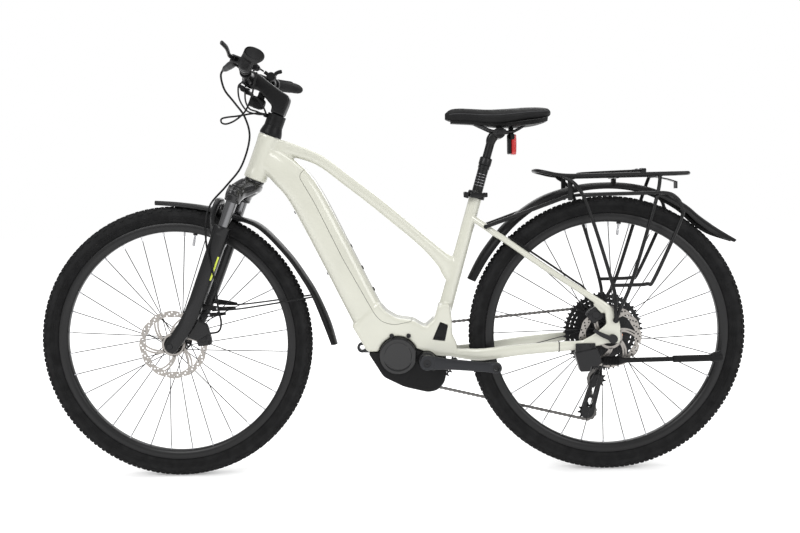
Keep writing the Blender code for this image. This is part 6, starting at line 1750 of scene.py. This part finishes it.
def build_fork():
    """Crown, stanchions, lower legs and steerer."""
    half_crown = [
        (LEG_AHEAD, -0.0865, 0.4260, 0.020, 0.024), (LEG_AHEAD, -0.084, 0.4270, 0.032, 0.034),
        (LEG_AHEAD, -LEG_Y, 0.4270, 0.044, 0.040), (0.020, -0.045, 0.4400, 0.046, 0.037),
        (0.006, -0.020, 0.4580, 0.054, 0.031)
    ]
    crown = [*half_crown, (0.003, 0, 0.4580, 0.056, 0.031)]
    crown += [(f, -y, s, wide, deep) for f, y, s, wide, deep in half_crown[::-1]]
    race = [(0, 0.0230), (0.0060, 0.0258), (0.0080, 0.0262), (0.0100, 0.0262)]
    sockets = both(rod(steer(LEG_AHEAD, -LEG_Y, 0.4068), steer(LEG_AHEAD, -LEG_Y, 0.448), 0.0203, 40, 0.002))
    pocket = rod(steer(LEG_AHEAD, LEG_Y, 0.4480), steer(LEG_AHEAD, LEG_Y, 0.490), 0.0155, 40)
    melted(
        "fork_crown", "steering", "gloss",
        [
            steer_beam(crown, sides=36, square=0.7, steps=6, across=STEER_AHEAD),
            turned(race, steer(0, 0, 0.4666), STEER_UP, 48), *sockets
        ],
        0.0013, 4, [pocket], ["fork_upper"], 34
    )
    part("steerer_tube", "steering", "alloy", [rod(steer(0, 0, 0.455), steer(0, 0, 0.7030), 0.0143, 36)])
    tubes = both(rod(steer(LEG_AHEAD, -LEG_Y, 0.2050), steer(LEG_AHEAD, -LEG_Y, 0.4160), 0.0145, 44))
    part("stanchions", "steering", "stanchion", tubes)
    cap = [
        (0, 0.0130), (0.0020, 0.0136), (0.0040, 0.0134), (0.0050, 0.0122), (0.0050, 0.0062),
        (0.0030, 0.0060)
    ]
    part("fork_cap", "steering", "alloy", [turned(cap, steer(LEG_AHEAD, -LEG_Y, 0.4470), STEER_UP, 40)])
    knob_profile = [(0, 0.0136), (0.0060, 0.0144), (0.0095, 0.0143), (0.0115, 0.0128), (0.0130, 0.0105)]
    knob_piece = turned(knob_profile, steer(LEG_AHEAD, LEG_Y, 0.4483), STEER_UP, 40)
    grip_bar = steer_block(
        (LEG_AHEAD - 0.0035, LEG_Y - 0.0140, 0.4540), (LEG_AHEAD + 0.0035, LEG_Y + 0.0140, 0.4606), 0.0012
    )
    part("lockout_dial", "lockout_knob", "plastic", [knob_piece, grip_bar], ["lockout_knob"])
    leg = steer_beam(
        [
            (LEG_AHEAD, -LEG_Y, 0.3340, 0.037, 0.041), (LEG_AHEAD, -LEG_Y, 0.3300, 0.037, 0.043),
            (LEG_AHEAD, -LEG_Y, 0.2000, 0.037, 0.042), (0.026, -LEG_Y, 0.1250, 0.036, 0.040),
            (0.031, -LEG_Y, 0.0700, 0.025, 0.040), (0.047, -LEG_Y, 0.0050, 0.022, 0.036),
            (0.051, -LEG_Y, -0.0140, 0.022, 0.028)
        ],
        sides=40, square=0.75, steps=7
    )
    half_arch = [
        (0.042, -0.0665, 0.3100, 0.016, 0.022), (0.061, -0.053, 0.3500, 0.016, 0.018),
        (0.068, -0.027, 0.3870, 0.016, 0.017)
    ]
    arch = [*half_arch, (0.068, 0, 0.3930, 0.016, 0.017)]
    arch += [(f, -y, s, wide, deep) for f, y, s, wide, deep in half_arch[::-1]]
    tab = [(0.022, 0.034), (0.022, 0.088), (-0.018, 0.086), (-0.032, 0.066), (-0.008, 0.034)]
    lowers = [leg, mirrored(leg), steer_beam(arch, sides=32, square=0.75, steps=7, across=STEER_AHEAD)]
    lowers += both(
        rod(steer(LEG_AHEAD, -LEG_Y, 0.3200), steer(LEG_AHEAD, -LEG_Y, 0.3370), 0.0200, 44, 0.0012)
    )
    lowers.append(extrude(rounded(tab, 0.005, 3), -0.0600, -0.0503, steered, 0.0012))
    cuts = both(rod(steer(LEG_AHEAD, -LEG_Y, 0.36), steer(LEG_AHEAD, -LEG_Y, 0.1350), 0.0150, 40))
    melted(
        "fork_legs", "lower_fork", "fork", lowers, 0.0016, 5,
        [*cuts, across_rod(FRONT_AXLE, -0.12, 0.12, 0.0076, 32)], ["fork_lowers"], 34
    )
    seals = both(
        ringed(
            [(0.3340, 0.0149), (0.3340, 0.0192), (0.3390, 0.0186), (0.3405, 0.0170), (0.3410, 0.0149)],
            steer(LEG_AHEAD, -LEG_Y, 0), STEER_UP, 44
        )
    )
    part("dust_seals", "lower_fork", "grip", seals)
    # Slim coloured stripe along the outside of each leg
    stripe = []
    for sign in (-1, 1):
        rows = []
        for s in (0.200, 0.222, 0.243, 0.264):
            rows.append((*steer(LEG_AHEAD - 0.0168, sign * (LEG_Y + 0.0143), s), 0.0028, 0.0050))
        stripe.append(beam(rows, 12, 0.9, 5))
    part("leg_stripes", "lower_fork", "lime", stripe)
    clamps = both(
        beam(
            [
                (-0.4800, -0.0590, 0.4610, 0.009, 0.013), (-0.4500, -0.0590, 0.4575, 0.009, 0.011),
                (-0.4180, -0.0590, 0.4525, 0.008, 0.007)
            ],
            20, 0.6, 4
        )
    )
    clamps += both(
        beam(
            [
                (-0.4870, -0.0590, 0.4390, 0.009, 0.013), (-0.4580, -0.0590, 0.4400, 0.009, 0.011),
                (-0.4230, -0.0590, 0.4420, 0.008, 0.007)
            ],
            20, 0.6, 4
        )
    )
    part("guard_stay_clamps", "lower_fork", "plastic", clamps)
    pins = [screw((x, -0.0634, z), -Y, 0.0030, 0.0016) for x, z in ((-0.4430, 0.4565), (-0.4660, 0.4396))]
    part("guard_stay_screws", "lower_fork", "bolt", pins)
    part(
        "fork_foot_bolts", "lower_fork", "alloy",
        both(
            turned(
                [(0, 0.0080), (0.0030, 0.0076), (0.0034, 0.0040)], steer(0.0500, -LEG_Y, -0.0132),
                -STEER_UP, 24
            )
        )
    )


# Stem, bar, grips and controls
def bar_at(y):
    """Point on the middle line of the handlebar at a distance to the side."""
    for one, two in zip(BAR_LINE, BAR_LINE[1:]):
        if abs(y) <= two[0] or two is BAR_LINE[-1]:
            t = (abs(y) - one[0]) / (two[0] - one[0])
            return steer(one[1] + t * (two[1] - one[1]), y, one[2] + t * (two[2] - one[2]))


def on_bar(low, high, radius, sides=36, edge=0.0008):
    """Sleeve round the handlebar between two distances to the side."""
    return rod(bar_at(low), bar_at(high), radius, sides, edge)


def bar_hole(low, high):
    """Space that the handlebar takes between two distances to the side."""
    stops = [low] + [row[0] for row in BAR_LINE if low < row[0] < high] + [high]
    return tube([bar_at(y) for y in stops], BAR_RADIUS + 0.0005, 32, 1)


def build_headset():
    """Headset, spacers and stem."""
    ring = [
        (0.5994, 0.0150), (0.5994, 0.0286), (0.6010, 0.0291), (0.6050, 0.0291), (0.6130, 0.0272),
        (0.6210, 0.0247), (0.6244, 0.0241), (0.6246, 0.0234), (0.6252, 0.0234), (0.6254, 0.0240),
        (0.6394, 0.0240), (0.6396, 0.0233), (0.6406, 0.0233), (0.6408, 0.0240), (0.6548, 0.0240),
        (0.6552, 0.0234), (0.6552, 0.0150)
    ]
    part(
        "headset_cover", "steering", "cover", [ringed(ring, steer(0, 0, 0), STEER_UP, 56)],
        ["headset_spacers"]
    )
    outline = [
        (-0.0185, 0.6555), (0.0175, 0.6555), (0.0185, 0.6720), (0.040, 0.6850), (0.067, 0.6985),
        (0.078, 0.6975), (0.094, 0.6950), (0.109, 0.7000), (0.1165, 0.7140), (0.114, 0.7280),
        (0.105, 0.7375), (0.092, 0.7405), (0.078, 0.7385), (0.050, 0.7290), (0.010, 0.7170),
        (-0.012, 0.7125), (-0.0195, 0.7040), (-0.0205, 0.6900)
    ]
    split = steer_block((0.0938, -0.030, 0.690), (0.0950, 0.030, 0.745))
    melted(
        "stem_body", "steering", "black",
        [extrude(rounded(outline, 0.006, 4), -0.0190, 0.0190, steered, 0.006)], 0.0011, 4,
        [
            rod(steer(0, 0, 0.60), steer(0, 0, 0.7033), 0.0147, 36), split,
            rod(steer(BAR_AHEAD, -0.05, BAR_UP), steer(BAR_AHEAD, 0.05, BAR_UP), 0.0163, 48)
        ],
        ["stem"], 34
    )
    bolts = [screw(steer(-0.0140, -0.0186, s), -Y, 0.0036, 0.0026) for s in (0.6860, 0.6710)]
    for y in (-0.0125, 0.0125):
        for f, s in ((0.1085, 0.7030), (0.1070, 0.7340)):
            bolts.append(screw(steer(f, y, s), STEER_AHEAD, 0.0032, 0.0050))
    part("stem_bolts", "steering", "alloy", bolts)


def build_bar():
    """Handlebar, grips and their clamps."""
    rows = [(bar_at(row[0]), row[3]) for row in BAR_LINE[1:]]
    points = [Vector((p.x, -p.y, p.z)) for p, r in rows[::-1]] + [bar_at(0)] + [p for p, r in rows]
    sizes = [r for p, r in rows[::-1]] + [BAR_LINE[0][3]] + [r for p, r in rows]
    part("bar_tube", "steering", "black", [tube(points, sizes, 36, 6)], ["handlebar"])
    rows = []
    for y, back, wide, deep in (
        (0.2000, 0.0, 0.0325, 0.0325), (0.2120, 0.0, 0.0320, 0.0320), (0.2500, 0.0010, 0.0345, 0.0310),
        (0.2800, 0.0040, 0.0420, 0.0290), (0.3060, 0.0060, 0.0470, 0.0280),
        (0.3175, 0.0055, 0.0455, 0.0262), (0.3200, 0.0050, 0.0410, 0.0225)
    ):
        rows.append((*(bar_at(y) - STEER_AHEAD * back), wide, deep))
    handle = [beam(rows, 40, 0.9, 6, STEER_AHEAD)]
    for k in range(13):
        y = 0.2080 + 0.0068 * k
        handle.append(
            ringed(
                [(-0.0013, 0.0150), (-0.0011, 0.0168), (0.0011, 0.0168), (0.0013, 0.0150)], bar_at(y),
                (bar_at(y + 0.01) - bar_at(y)).normalized(), 40
            )
        )
    ring = [on_bar(0.1930, 0.2008, 0.0176, 40, 0.0010)]
    clamp_screw = screw(steer(0.0900, 0.1969, 0.7380), STEER_AHEAD, 0.0026, 0.0030)
    for name, flip in (("right", False), ("left", True)):
        part("grip_sleeve_" + name, "steering", "grip", handed(handle, flip), ["grip_" + name])
        part("grip_clamp_" + name, "steering", "alloy", handed([*ring, clamp_screw], flip))


def build_brake_controls():
    """Brake levers and their bodies."""
    axle = (0.1120, 0.1720, 0.7420)
    low, high = axle[2] - 0.0044, axle[2] + 0.0044
    body = [
        on_bar(0.1630, 0.1770, 0.0165),
        steer_block((0.0880, 0.1640, 0.7320), (0.1180, 0.1790, high + 0.0042), 0.003)
    ]
    start, end = steer(0.1060, 0.1680, 0.7350), steer(0.1370, 0.1220, 0.7120)
    body.append(
        turned(
            [
                (0, 0.0080), (0.004, 0.0094), (0.030, 0.0094), (0.040, 0.0084), (0.052, 0.0078),
                ((end - start).length, 0.0060)
            ],
            start, (end - start).normalized(), 36
        )
    )
    space = steer_block((0.0975, 0.1650, low - 0.0003), (0.1400, 0.2200, high + 0.0003))
    blade = steer_beam(
        [
            (0.1125, 0.1740, 0.7420, 0.0080, 0.0082), (0.1160, 0.2000, 0.7430, 0.0060, 0.0110),
            (0.1130, 0.2350, 0.7480, 0.0060, 0.0110), (0.1130, 0.2620, 0.7530, 0.0065, 0.0110),
            (0.1180, 0.2880, 0.7566, 0.0072, 0.0104), (0.1190, 0.2920, 0.7570, 0.0050, 0.0070)
        ],
        sides=24, square=0.8, steps=7, across=STEER_AHEAD
    )
    boss = rod(steer(*axle[:2], low), steer(*axle[:2], high), 0.0066, 32, 0.0006)
    pin = rod(steer(*axle[:2], low - 0.0045), steer(*axle[:2], high + 0.0046), 0.0025, 16)
    nut = rod(steer(0.1355, 0.1242, 0.7131), steer(0.1395, 0.1182, 0.7101), 0.0046, 8, 0.0006)
    for name, flip in (("right", False), ("left", True)):
        cuts = handed([space, bar_hole(0.150, 0.190)], flip)
        melted(
            "brake_control_" + name, "steering", "alloy", handed(body, flip), 0.0009, 4, cuts,
            ["brake_body_" + name], 34
        )
        part("brake_pins_" + name, "steering", "alloy", handed([pin, nut], flip))
        part(
            "brake_blade_" + name, "brake_lever_" + name, "alloy", handed([blade, boss], flip),
            ["brake_lever_" + name]
        )


def build_shifter():
    """Gear lever and its pod."""
    pod = (0.0750, 0.7520)
    body = [on_bar(0.1310, 0.1430, 0.0160)]
    body.append(rod(steer(pod[0], 0.1240, pod[1]), steer(pod[0], 0.1480, pod[1]), 0.0120, 36, 0.0015))
    body.append(rod(steer(0.0780, 0.1350, 0.7520), steer(0.0970, 0.1330, 0.7580), 0.0050, 24, 0.0008))
    melted(
        "shifter_pod", "steering", "plastic", body, 0.0009, 3, [bar_hole(0.1150, 0.165)],
        ["shifter_body"], 34
    )
    hub = rod(steer(pod[0], 0.1485, pod[1]), steer(pod[0], 0.1535, pod[1]), 0.0085, 32, 0.0006)
    thumb = steer_beam(
        [
            (0.0735, 0.1510, 0.7560, 0.0120, 0.0045), (0.0680, 0.1510, 0.7680, 0.0100, 0.0040),
            (0.0590, 0.1520, 0.7750, 0.0110, 0.0040), (0.0560, 0.1522, 0.7770, 0.0070, 0.0026)
        ],
        sides=24, square=0.7, steps=6, across=STEER_AHEAD
    )
    part("thumb_paddle", "shifter_paddle", "plastic", [hub, thumb], ["shifter_paddle"])
    part(
        "paddle_pin", "steering", "bolt",
        [rod(steer(pod[0], 0.146, pod[1]), steer(pod[0], 0.1556, pod[1]), 0.0027, 16)]
    )


def build_remote():
    """Assist control on the left of the bar."""
    clamp = mirrored(on_bar(0.1380, 0.1500, 0.0158))
    box = steer_block((0.0530, -0.1580, 0.7340), (0.0780, -0.1320, 0.7500), 0.004)
    low, high = (0.0500, -0.1515, 0.7380), (0.0560, -0.1385, 0.7460)
    pocket = steer_block([v - 0.0004 for v in low], [v + 0.0004 for v in high])
    run = steer_block((0.0560, -0.1519, 0.7376), (0.0580, -0.1381, 0.7464))
    melted(
        "remote_case", "steering", "plastic", [clamp, box], 0.0008, 3,
        [mirrored(bar_hole(0.1305, 0.170)), pocket, run], ["remote_body"], 34
    )
    part("remote_key", "remote_button", "cover", [steer_block(low, high, 0.0012)], ["remote_button"])


def build_bell():
    """Bell on the left of the bar."""
    pieces = [mirrored(on_bar(0.0950, 0.1050, 0.0150))]
    pieces.append(
        steer_beam(
            [
                (0.1020, -0.100, 0.7290, 0.007, 0.007), (0.1120, -0.100, 0.7320, 0.0075, 0.007),
                (0.1200, -0.100, 0.7350, 0.007, 0.007)
            ],
            sides=20, steps=3
        )
    )
    part("bell_mount", "steering", "plastic", pieces, ["bell"])
    dome = [
        (0, 0.0100), (0.0004, 0.0106), (0.0030, 0.0107), (0.0062, 0.0101), (0.0090, 0.0082),
        (0.0106, 0.0052), (0.0110, 0.0002)
    ]
    hammer = rod(steer(0.1310, -0.100, 0.7370), steer(0.1370, -0.100, 0.7390), 0.0022, 16, 0.0006)
    part(
        "bell_dome", "steering", "cover",
        [turned(dome, steer(0.1230, -0.100, 0.7310), STEER_UP, 44), hammer]
    )


def build_display():
    """Display on the stem."""
    slab = [
        (0.0835, 0.6775), (0.1150, 0.6875), (0.1160, 0.6925), (0.1130, 0.6965), (0.0822, 0.6870),
        (0.0808, 0.6815)
    ]
    case = [extrude(rounded(slab, 0.002, 3), -0.0300, 0.0300, steered, 0.0020)]
    case.append(steer_block((0.0895, -0.0080, 0.6860), (0.0985, 0.0080, 0.6946), 0.0012))
    case.append(rod(steer(0.0950, -0.0600, 0.6845), steer(0.0950, -0.0290, 0.6845), 0.0052, 28, 0.0010))
    part("display_case", "steering", "plastic", case, ["display_unit"])
    glass = [(0.0850, 0.6881), (0.1105, 0.6963), (0.1107, 0.6969), (0.0848, 0.6887)]
    part("display_glass", "steering", "screen", [extrude(glass, -0.0262, 0.0262, steered)])


def build_headlamp():
    """Front lamp with its cooling ribs and lens."""
    shell = [
        (0, 0.0100), (0.0010, 0.0112), (0.0060, 0.0143), (0.0120, 0.0150), (0.0350, 0.0152),
        (0.0376, 0.0148), (0.0380, 0.0140), (0.0380, 0.0126), (0.0350, 0.0120)
    ]
    back = steer(0.0400, 0, 0.6675)
    lamp = [turned(shell, back, STEER_AHEAD, 48)]
    for k in range(5):
        lamp.append(
            ringed(
                [
                    (0.0100 + 0.0036 * k, 0.0145), (0.0104 + 0.0036 * k, 0.0160),
                    (0.0116 + 0.0036 * k, 0.0160), (0.0120 + 0.0036 * k, 0.0145)
                ],
                back, STEER_AHEAD, 48
            )
        )
    bracket = [(0.0460, 0.6780), (0.0640, 0.6780), (0.0640, 0.6962), (0.0460, 0.6872)]
    lamp.append(extrude(rounded(bracket, 0.002, 3), -0.005, 0.005, steered, 0.0008))
    part("headlamp_shell", "steering", "plastic", lamp, ["headlight"])
    dome = [
        (0.0330, 0.0121), (0.0352, 0.0124), (0.0366, 0.0110), (0.0374, 0.0080), (0.0378, 0.0040),
        (0.0379, 0.0002)
    ]
    part("headlamp_lens", "steering", "clear", [turned(dome, back, STEER_AHEAD, 48)])


def build_cables():
    """Brake hoses and control cables."""
    sizes = bpy.context.scene.bike_sizes
    loop_line = [
        (0.0565, -0.1360, 0.7312), (0.0580, -0.1120, 0.7020), (0.0620, -0.0780, 0.6720),
        (0.0700, -0.0560, 0.6350), (0.0880, -0.0450, 0.6060), (0.1080, -0.0370, 0.5890),
        (0.1230, -0.0300, 0.5870), (0.1280, -0.0250, 0.5960), (0.1170, -0.0210, 0.6050),
        (0.0940, -0.0170, 0.6170), (0.0670, -0.0110, 0.6330), (0.0450, -0.0050, 0.6440),
        (0.0310, -0.0035, 0.6465)
    ]
    brake_line = [
        (0.1372, 0.1218, 0.7119), (0.1423, 0.1142, 0.7081), (0.1440, 0.1010, 0.6930),
        (0.1250, 0.0800, 0.6620), (0.0900, 0.0500, 0.6400), (0.0550, 0.0160, 0.6400),
        (0.0310, 0.0040, 0.6460)
    ]
    shift_line = [
        (0.0990, 0.1328, 0.7586), (0.1200, 0.1290, 0.7580), (0.1300, 0.1100, 0.7200),
        (0.1120, 0.0780, 0.6720), (0.0850, 0.0420, 0.6480), (0.0550, 0.0080, 0.6460), (0.0310, 0, 0.6440)
    ]
    wire_line = [
        (0.0890, -0.0345, 0.6790), (0.0600, -0.0265, 0.6780), (0.0400, -0.0250, 0.6650),
        (0.0270, -0.0160, 0.6500), (0.0290, -0.0060, 0.6450)
    ]
    cables = [steer_block((0.0238, -0.0080, 0.6395), (0.0330, 0.0080, 0.6505), 0.002)]
    for line in (loop_line, brake_line, shift_line, wire_line):
        cables.append(tube([steer(*point) for point in line], sizes.cable_radius, 14, 9))
    part("cable_run", "steering", "cable", cables, ["control_cables"])
    hose = [
        (0.1372, -0.1218, 0.7119), (0.1423, -0.1142, 0.7081), (0.1440, -0.1030, 0.6930),
        (0.1270, -0.0930, 0.6660), (0.0950, -0.0860, 0.6450), (0.0620, -0.0720, 0.6200),
        (0.0380, -0.0520, 0.5750), (0.0350, -0.0480, 0.5000), (0.0530, -0.0580, 0.4400),
        (0.0720, -0.0740, 0.3830), (0.0640, -0.0900, 0.3340), (0.0400, -0.0900, 0.2750),
        (-0.0040, -0.0885, 0.2060), (-0.0320, -0.0760, 0.1420), (-0.0500, -0.0560, 0.1010),
        (-0.0490, -0.0430, 0.0745), (-0.0313, -0.0425, 0.0623)
    ]
    run = tube([steer(*point) for point in hose], sizes.hose_radius, 14, 9)
    part("front_hose_run", "steering", "cable", [run], ["front_brake_hose"])


def dress_nodes():
    """The battery stays a CAD node inside the down tube, so it gets a finish of its own."""
    node = frame["nodes"]["battery_pack"]
    for slot in node.material_slots:
        slot.material = finish_of("plastic")


# Stage
CAMERA_PLACE = (0.0871, -2.2501, 0.7393)
CAMERA_YAW, CAMERA_PITCH, CAMERA_ROLL = (math.radians(a) for a in (-1.452, -4.822, -1.401))
LENS_PIXELS, IMAGE_WIDTH = 857.1, 800


def build_camera():
    """Camera where the photo was taken from."""
    camera = bpy.data.cameras.new("Camera")
    camera.sensor_width = 36.0
    camera.lens = 36.0 * LENS_PIXELS / IMAGE_WIDTH
    camera.clip_start = 0.05
    obj = added("Camera", camera)
    forward = Vector(
        (
            math.sin(CAMERA_YAW) * math.cos(CAMERA_PITCH), math.cos(CAMERA_YAW) * math.cos(CAMERA_PITCH),
            math.sin(CAMERA_PITCH)
        )
    )
    right = Vector((math.cos(CAMERA_YAW), -math.sin(CAMERA_YAW), 0))
    up = right.cross(forward)
    right, up = (
        right * math.cos(CAMERA_ROLL) + up * math.sin(CAMERA_ROLL),
        up * math.cos(CAMERA_ROLL) - right * math.sin(CAMERA_ROLL)
    )
    turn = Matrix((right, up, -forward)).transposed().to_4x4()
    obj.matrix_world = Matrix.Translation(CAMERA_PLACE) @ turn
    bpy.context.scene.camera = obj


def any_of(tree, *sockets):
    """Value that is one where one of the sockets is."""
    result = sockets[0]
    for socket in sockets[1:]:
        node = tree.nodes.new("ShaderNodeMath")
        node.operation = "MAXIMUM"
        tree.links.new(result, node.inputs[0])
        tree.links.new(socket, node.inputs[1])
        result = node.outputs[0]
    return result


def stage_finish():
    """White floor for the camera, with the bike's shadow, and plain pale grey for the light."""
    material, tree, shader, coords = new_finish("Studio floor")
    set_inputs(shader, Base_Color=(0.90, 0.90, 0.90, 1), Roughness=0.9)
    path = tree.nodes.new("ShaderNodeLightPath")
    rays = [path.outputs["Is " + kind + " Ray"] for kind in ("Camera", "Glossy", "Transmission")]
    away = tree.nodes.new("ShaderNodeVectorMath")
    away.operation = "LENGTH"
    tree.links.new(coords, away.inputs[0])
    glow = shader_node(
        tree, "Emission", {}, {"Strength": spread(tree, away.outputs["Value"], 0.30, 0.66, 1.1, 3.2)}
    )
    lit = shader_node(tree, "AddShader", {}, {0: shader.outputs[0], 1: glow.outputs[0]})
    choose = shader_node(
        tree, "MixShader", {}, {0: any_of(tree, *rays), 1: shader.outputs[0], 2: lit.outputs[0]}
    )
    tree.links.new(choose.outputs[0], tree.nodes["Material Output"].inputs["Surface"])
    return material


def add_area(name, place_at, aim, size, power):
    """Rectangular lamp aimed at a point."""
    lamp = bpy.data.lights.new(name, "AREA")
    lamp.shape = "RECTANGLE"
    lamp.size, lamp.size_y = size
    lamp.energy = power
    obj = added(name, lamp)
    obj.location = place_at
    obj.rotation_euler = (Vector(aim) - Vector(place_at)).to_track_quat("-Z", "Y").to_euler()


def build_stage():
    """Floor, surroundings, lamps and camera."""
    half = bpy.context.scene.bike_sizes.floor_size / 2
    mesh = bpy.data.meshes.new("floor")
    mesh.from_pydata(
        [(-half, -half, 0), (half, -half, 0), (half, half, 0), (-half, half, 0)], [], [(0, 1, 2, 3)]
    )
    mesh.materials.append(stage_finish())
    floor = added("floor", mesh)
    world = bpy.data.worlds.new("Studio")
    bpy.context.scene.world = world
    world.use_nodes = True
    tree = world.node_tree
    sky = tree.nodes["Background"]
    set_inputs(sky, Color=(1, 1, 1, 1), Strength=0.55)
    white = shader_node(tree, "Background", {"Color": (1, 1, 1, 1), "Strength": 1.0}, {})
    path = tree.nodes.new("ShaderNodeLightPath")
    seen = any_of(tree, path.outputs["Is Camera Ray"], path.outputs["Is Transmission Ray"])
    choose = shader_node(tree, "MixShader", {}, {0: seen, 1: sky.outputs[0], 2: white.outputs[0]})
    tree.links.new(choose.outputs[0], tree.nodes["World Output"].inputs["Surface"])
    add_area("Key", (-2.2, -3.2, 3.2), (0, 0, 0.5), (2.6, 2.0), 95)
    add_area("Fill", (2.8, -2.6, 2.0), (0, 0, 0.5), (2.4, 2.0), 45)
    add_area("Top", (0, 0.2, 4.0), (0, 0, 0.4), (4.0, 2.4), 75)
    add_area("Back", (0.5, 3.4, 2.4), (0, 0, 0.6), (3.0, 2.0), 40)
    bpy.context.scene.view_settings.view_transform = "Standard"
    build_camera()


# Operators, panel and registration
class BIKE_OT_stage(bpy.types.Operator):
    """Camera, soft studio light and pale floor."""
    bl_idname = "bike.stage"
    bl_label = "Stage"
    bl_options = {"REGISTER", "UNDO"}

    def execute(self, context):
        build_stage()
        return {"FINISHED"}


class BIKE_OT_wheels(bpy.types.Operator):
    """Tyres, rims, spokes, hubs and brake discs."""
    bl_idname = "bike.wheels"
    bl_label = "Wheels"
    bl_options = {"REGISTER", "UNDO"}

    def execute(self, context):
        build_wheels()
        return {"FINISHED"}


class BIKE_OT_drive(bpy.types.Operator):
    """Chain, cogs, cranks and rear gear."""
    bl_idname = "bike.drive"
    bl_label = "Chain drive"
    bl_options = {"REGISTER", "UNDO"}

    def execute(self, context):
        build_chain()
        build_cogs()
        build_pulleys()
        build_cranks()
        build_derailleur()
        return {"FINISHED"}


class BIKE_OT_frame(bpy.types.Operator):
    """Frame, battery cover and drive unit."""
    bl_idname = "bike.frame"
    bl_label = "Frame"
    bl_options = {"REGISTER", "UNDO"}

    def execute(self, context):
        build_frame()
        build_drive_unit()
        return {"FINISHED"}


class BIKE_OT_seat(bpy.types.Operator):
    """Saddle, seat post, clamp and tail lamp."""
    bl_idname = "bike.seat"
    bl_label = "Saddle and post"
    bl_options = {"REGISTER", "UNDO"}

    def execute(self, context):
        build_saddle()
        build_seat_post()
        return {"FINISHED"}


class BIKE_OT_fittings(bpy.types.Operator):
    """Rack, mudguards, stand and brakes."""
    bl_idname = "bike.fittings"
    bl_label = "Rack, guards and stand"
    bl_options = {"REGISTER", "UNDO"}

    def execute(self, context):
        build_rack()
        build_mudguards()
        build_stand()
        build_brakes()
        return {"FINISHED"}


class BIKE_OT_fork(bpy.types.Operator):
    """Suspension fork."""
    bl_idname = "bike.fork"
    bl_label = "Fork"
    bl_options = {"REGISTER", "UNDO"}

    def execute(self, context):
        build_fork()
        return {"FINISHED"}


class BIKE_OT_cockpit(bpy.types.Operator):
    """Stem, bar, grips, controls, lamp and cables."""
    bl_idname = "bike.cockpit"
    bl_label = "Bar and controls"
    bl_options = {"REGISTER", "UNDO"}

    def execute(self, context):
        build_headset()
        build_bar()
        build_brake_controls()
        build_shifter()
        build_remote()
        build_bell()
        build_display()
        build_headlamp()
        build_cables()
        return {"FINISHED"}


class BIKE_OT_dress(bpy.types.Operator):
    """Finishes for the CAD nodes that are still shown."""
    bl_idname = "bike.dress"
    bl_label = "Dress the rest"
    bl_options = {"REGISTER", "UNDO"}

    def execute(self, context):
        dress_nodes()
        return {"FINISHED"}


STEPS = (
    BIKE_OT_stage, BIKE_OT_wheels, BIKE_OT_drive, BIKE_OT_frame, BIKE_OT_seat, BIKE_OT_fittings,
    BIKE_OT_fork, BIKE_OT_cockpit, BIKE_OT_dress
)


class BIKE_PT_panel(bpy.types.Panel):
    """Sizes, colours and building steps."""
    bl_label = "Electric hybrid bike"
    bl_idname = "BIKE_PT_panel"
    bl_space_type = "VIEW_3D"
    bl_region_type = "UI"
    bl_category = "Bike"

    def draw(self, context):
        layout = self.layout
        for group in (context.scene.bike_sizes, context.scene.bike_colours):
            box = layout.box()
            for name in group.__annotations__:
                box.prop(group, name)
        for step in STEPS:
            layout.operator(step.bl_idname)


CLASSES = (BikeSizes, BikeColours, *STEPS, BIKE_PT_panel)


def register():
    """Classes and settings made known to Blender."""
    for item in CLASSES:
        bpy.utils.register_class(item)
    bpy.types.Scene.bike_sizes = PointerProperty(type=BikeSizes)
    bpy.types.Scene.bike_colours = PointerProperty(type=BikeColours)


def unregister():
    """Classes and settings taken out again."""
    del bpy.types.Scene.bike_colours
    del bpy.types.Scene.bike_sizes
    for item in reversed(CLASSES):
        bpy.utils.unregister_class(item)


def main():
    """The whole bike, step by step."""
    register()
    for step in STEPS:
        group, name = step.bl_idname.split(".")
        getattr(getattr(bpy.ops, group), name)()


if __name__ == "__main__":
    main()
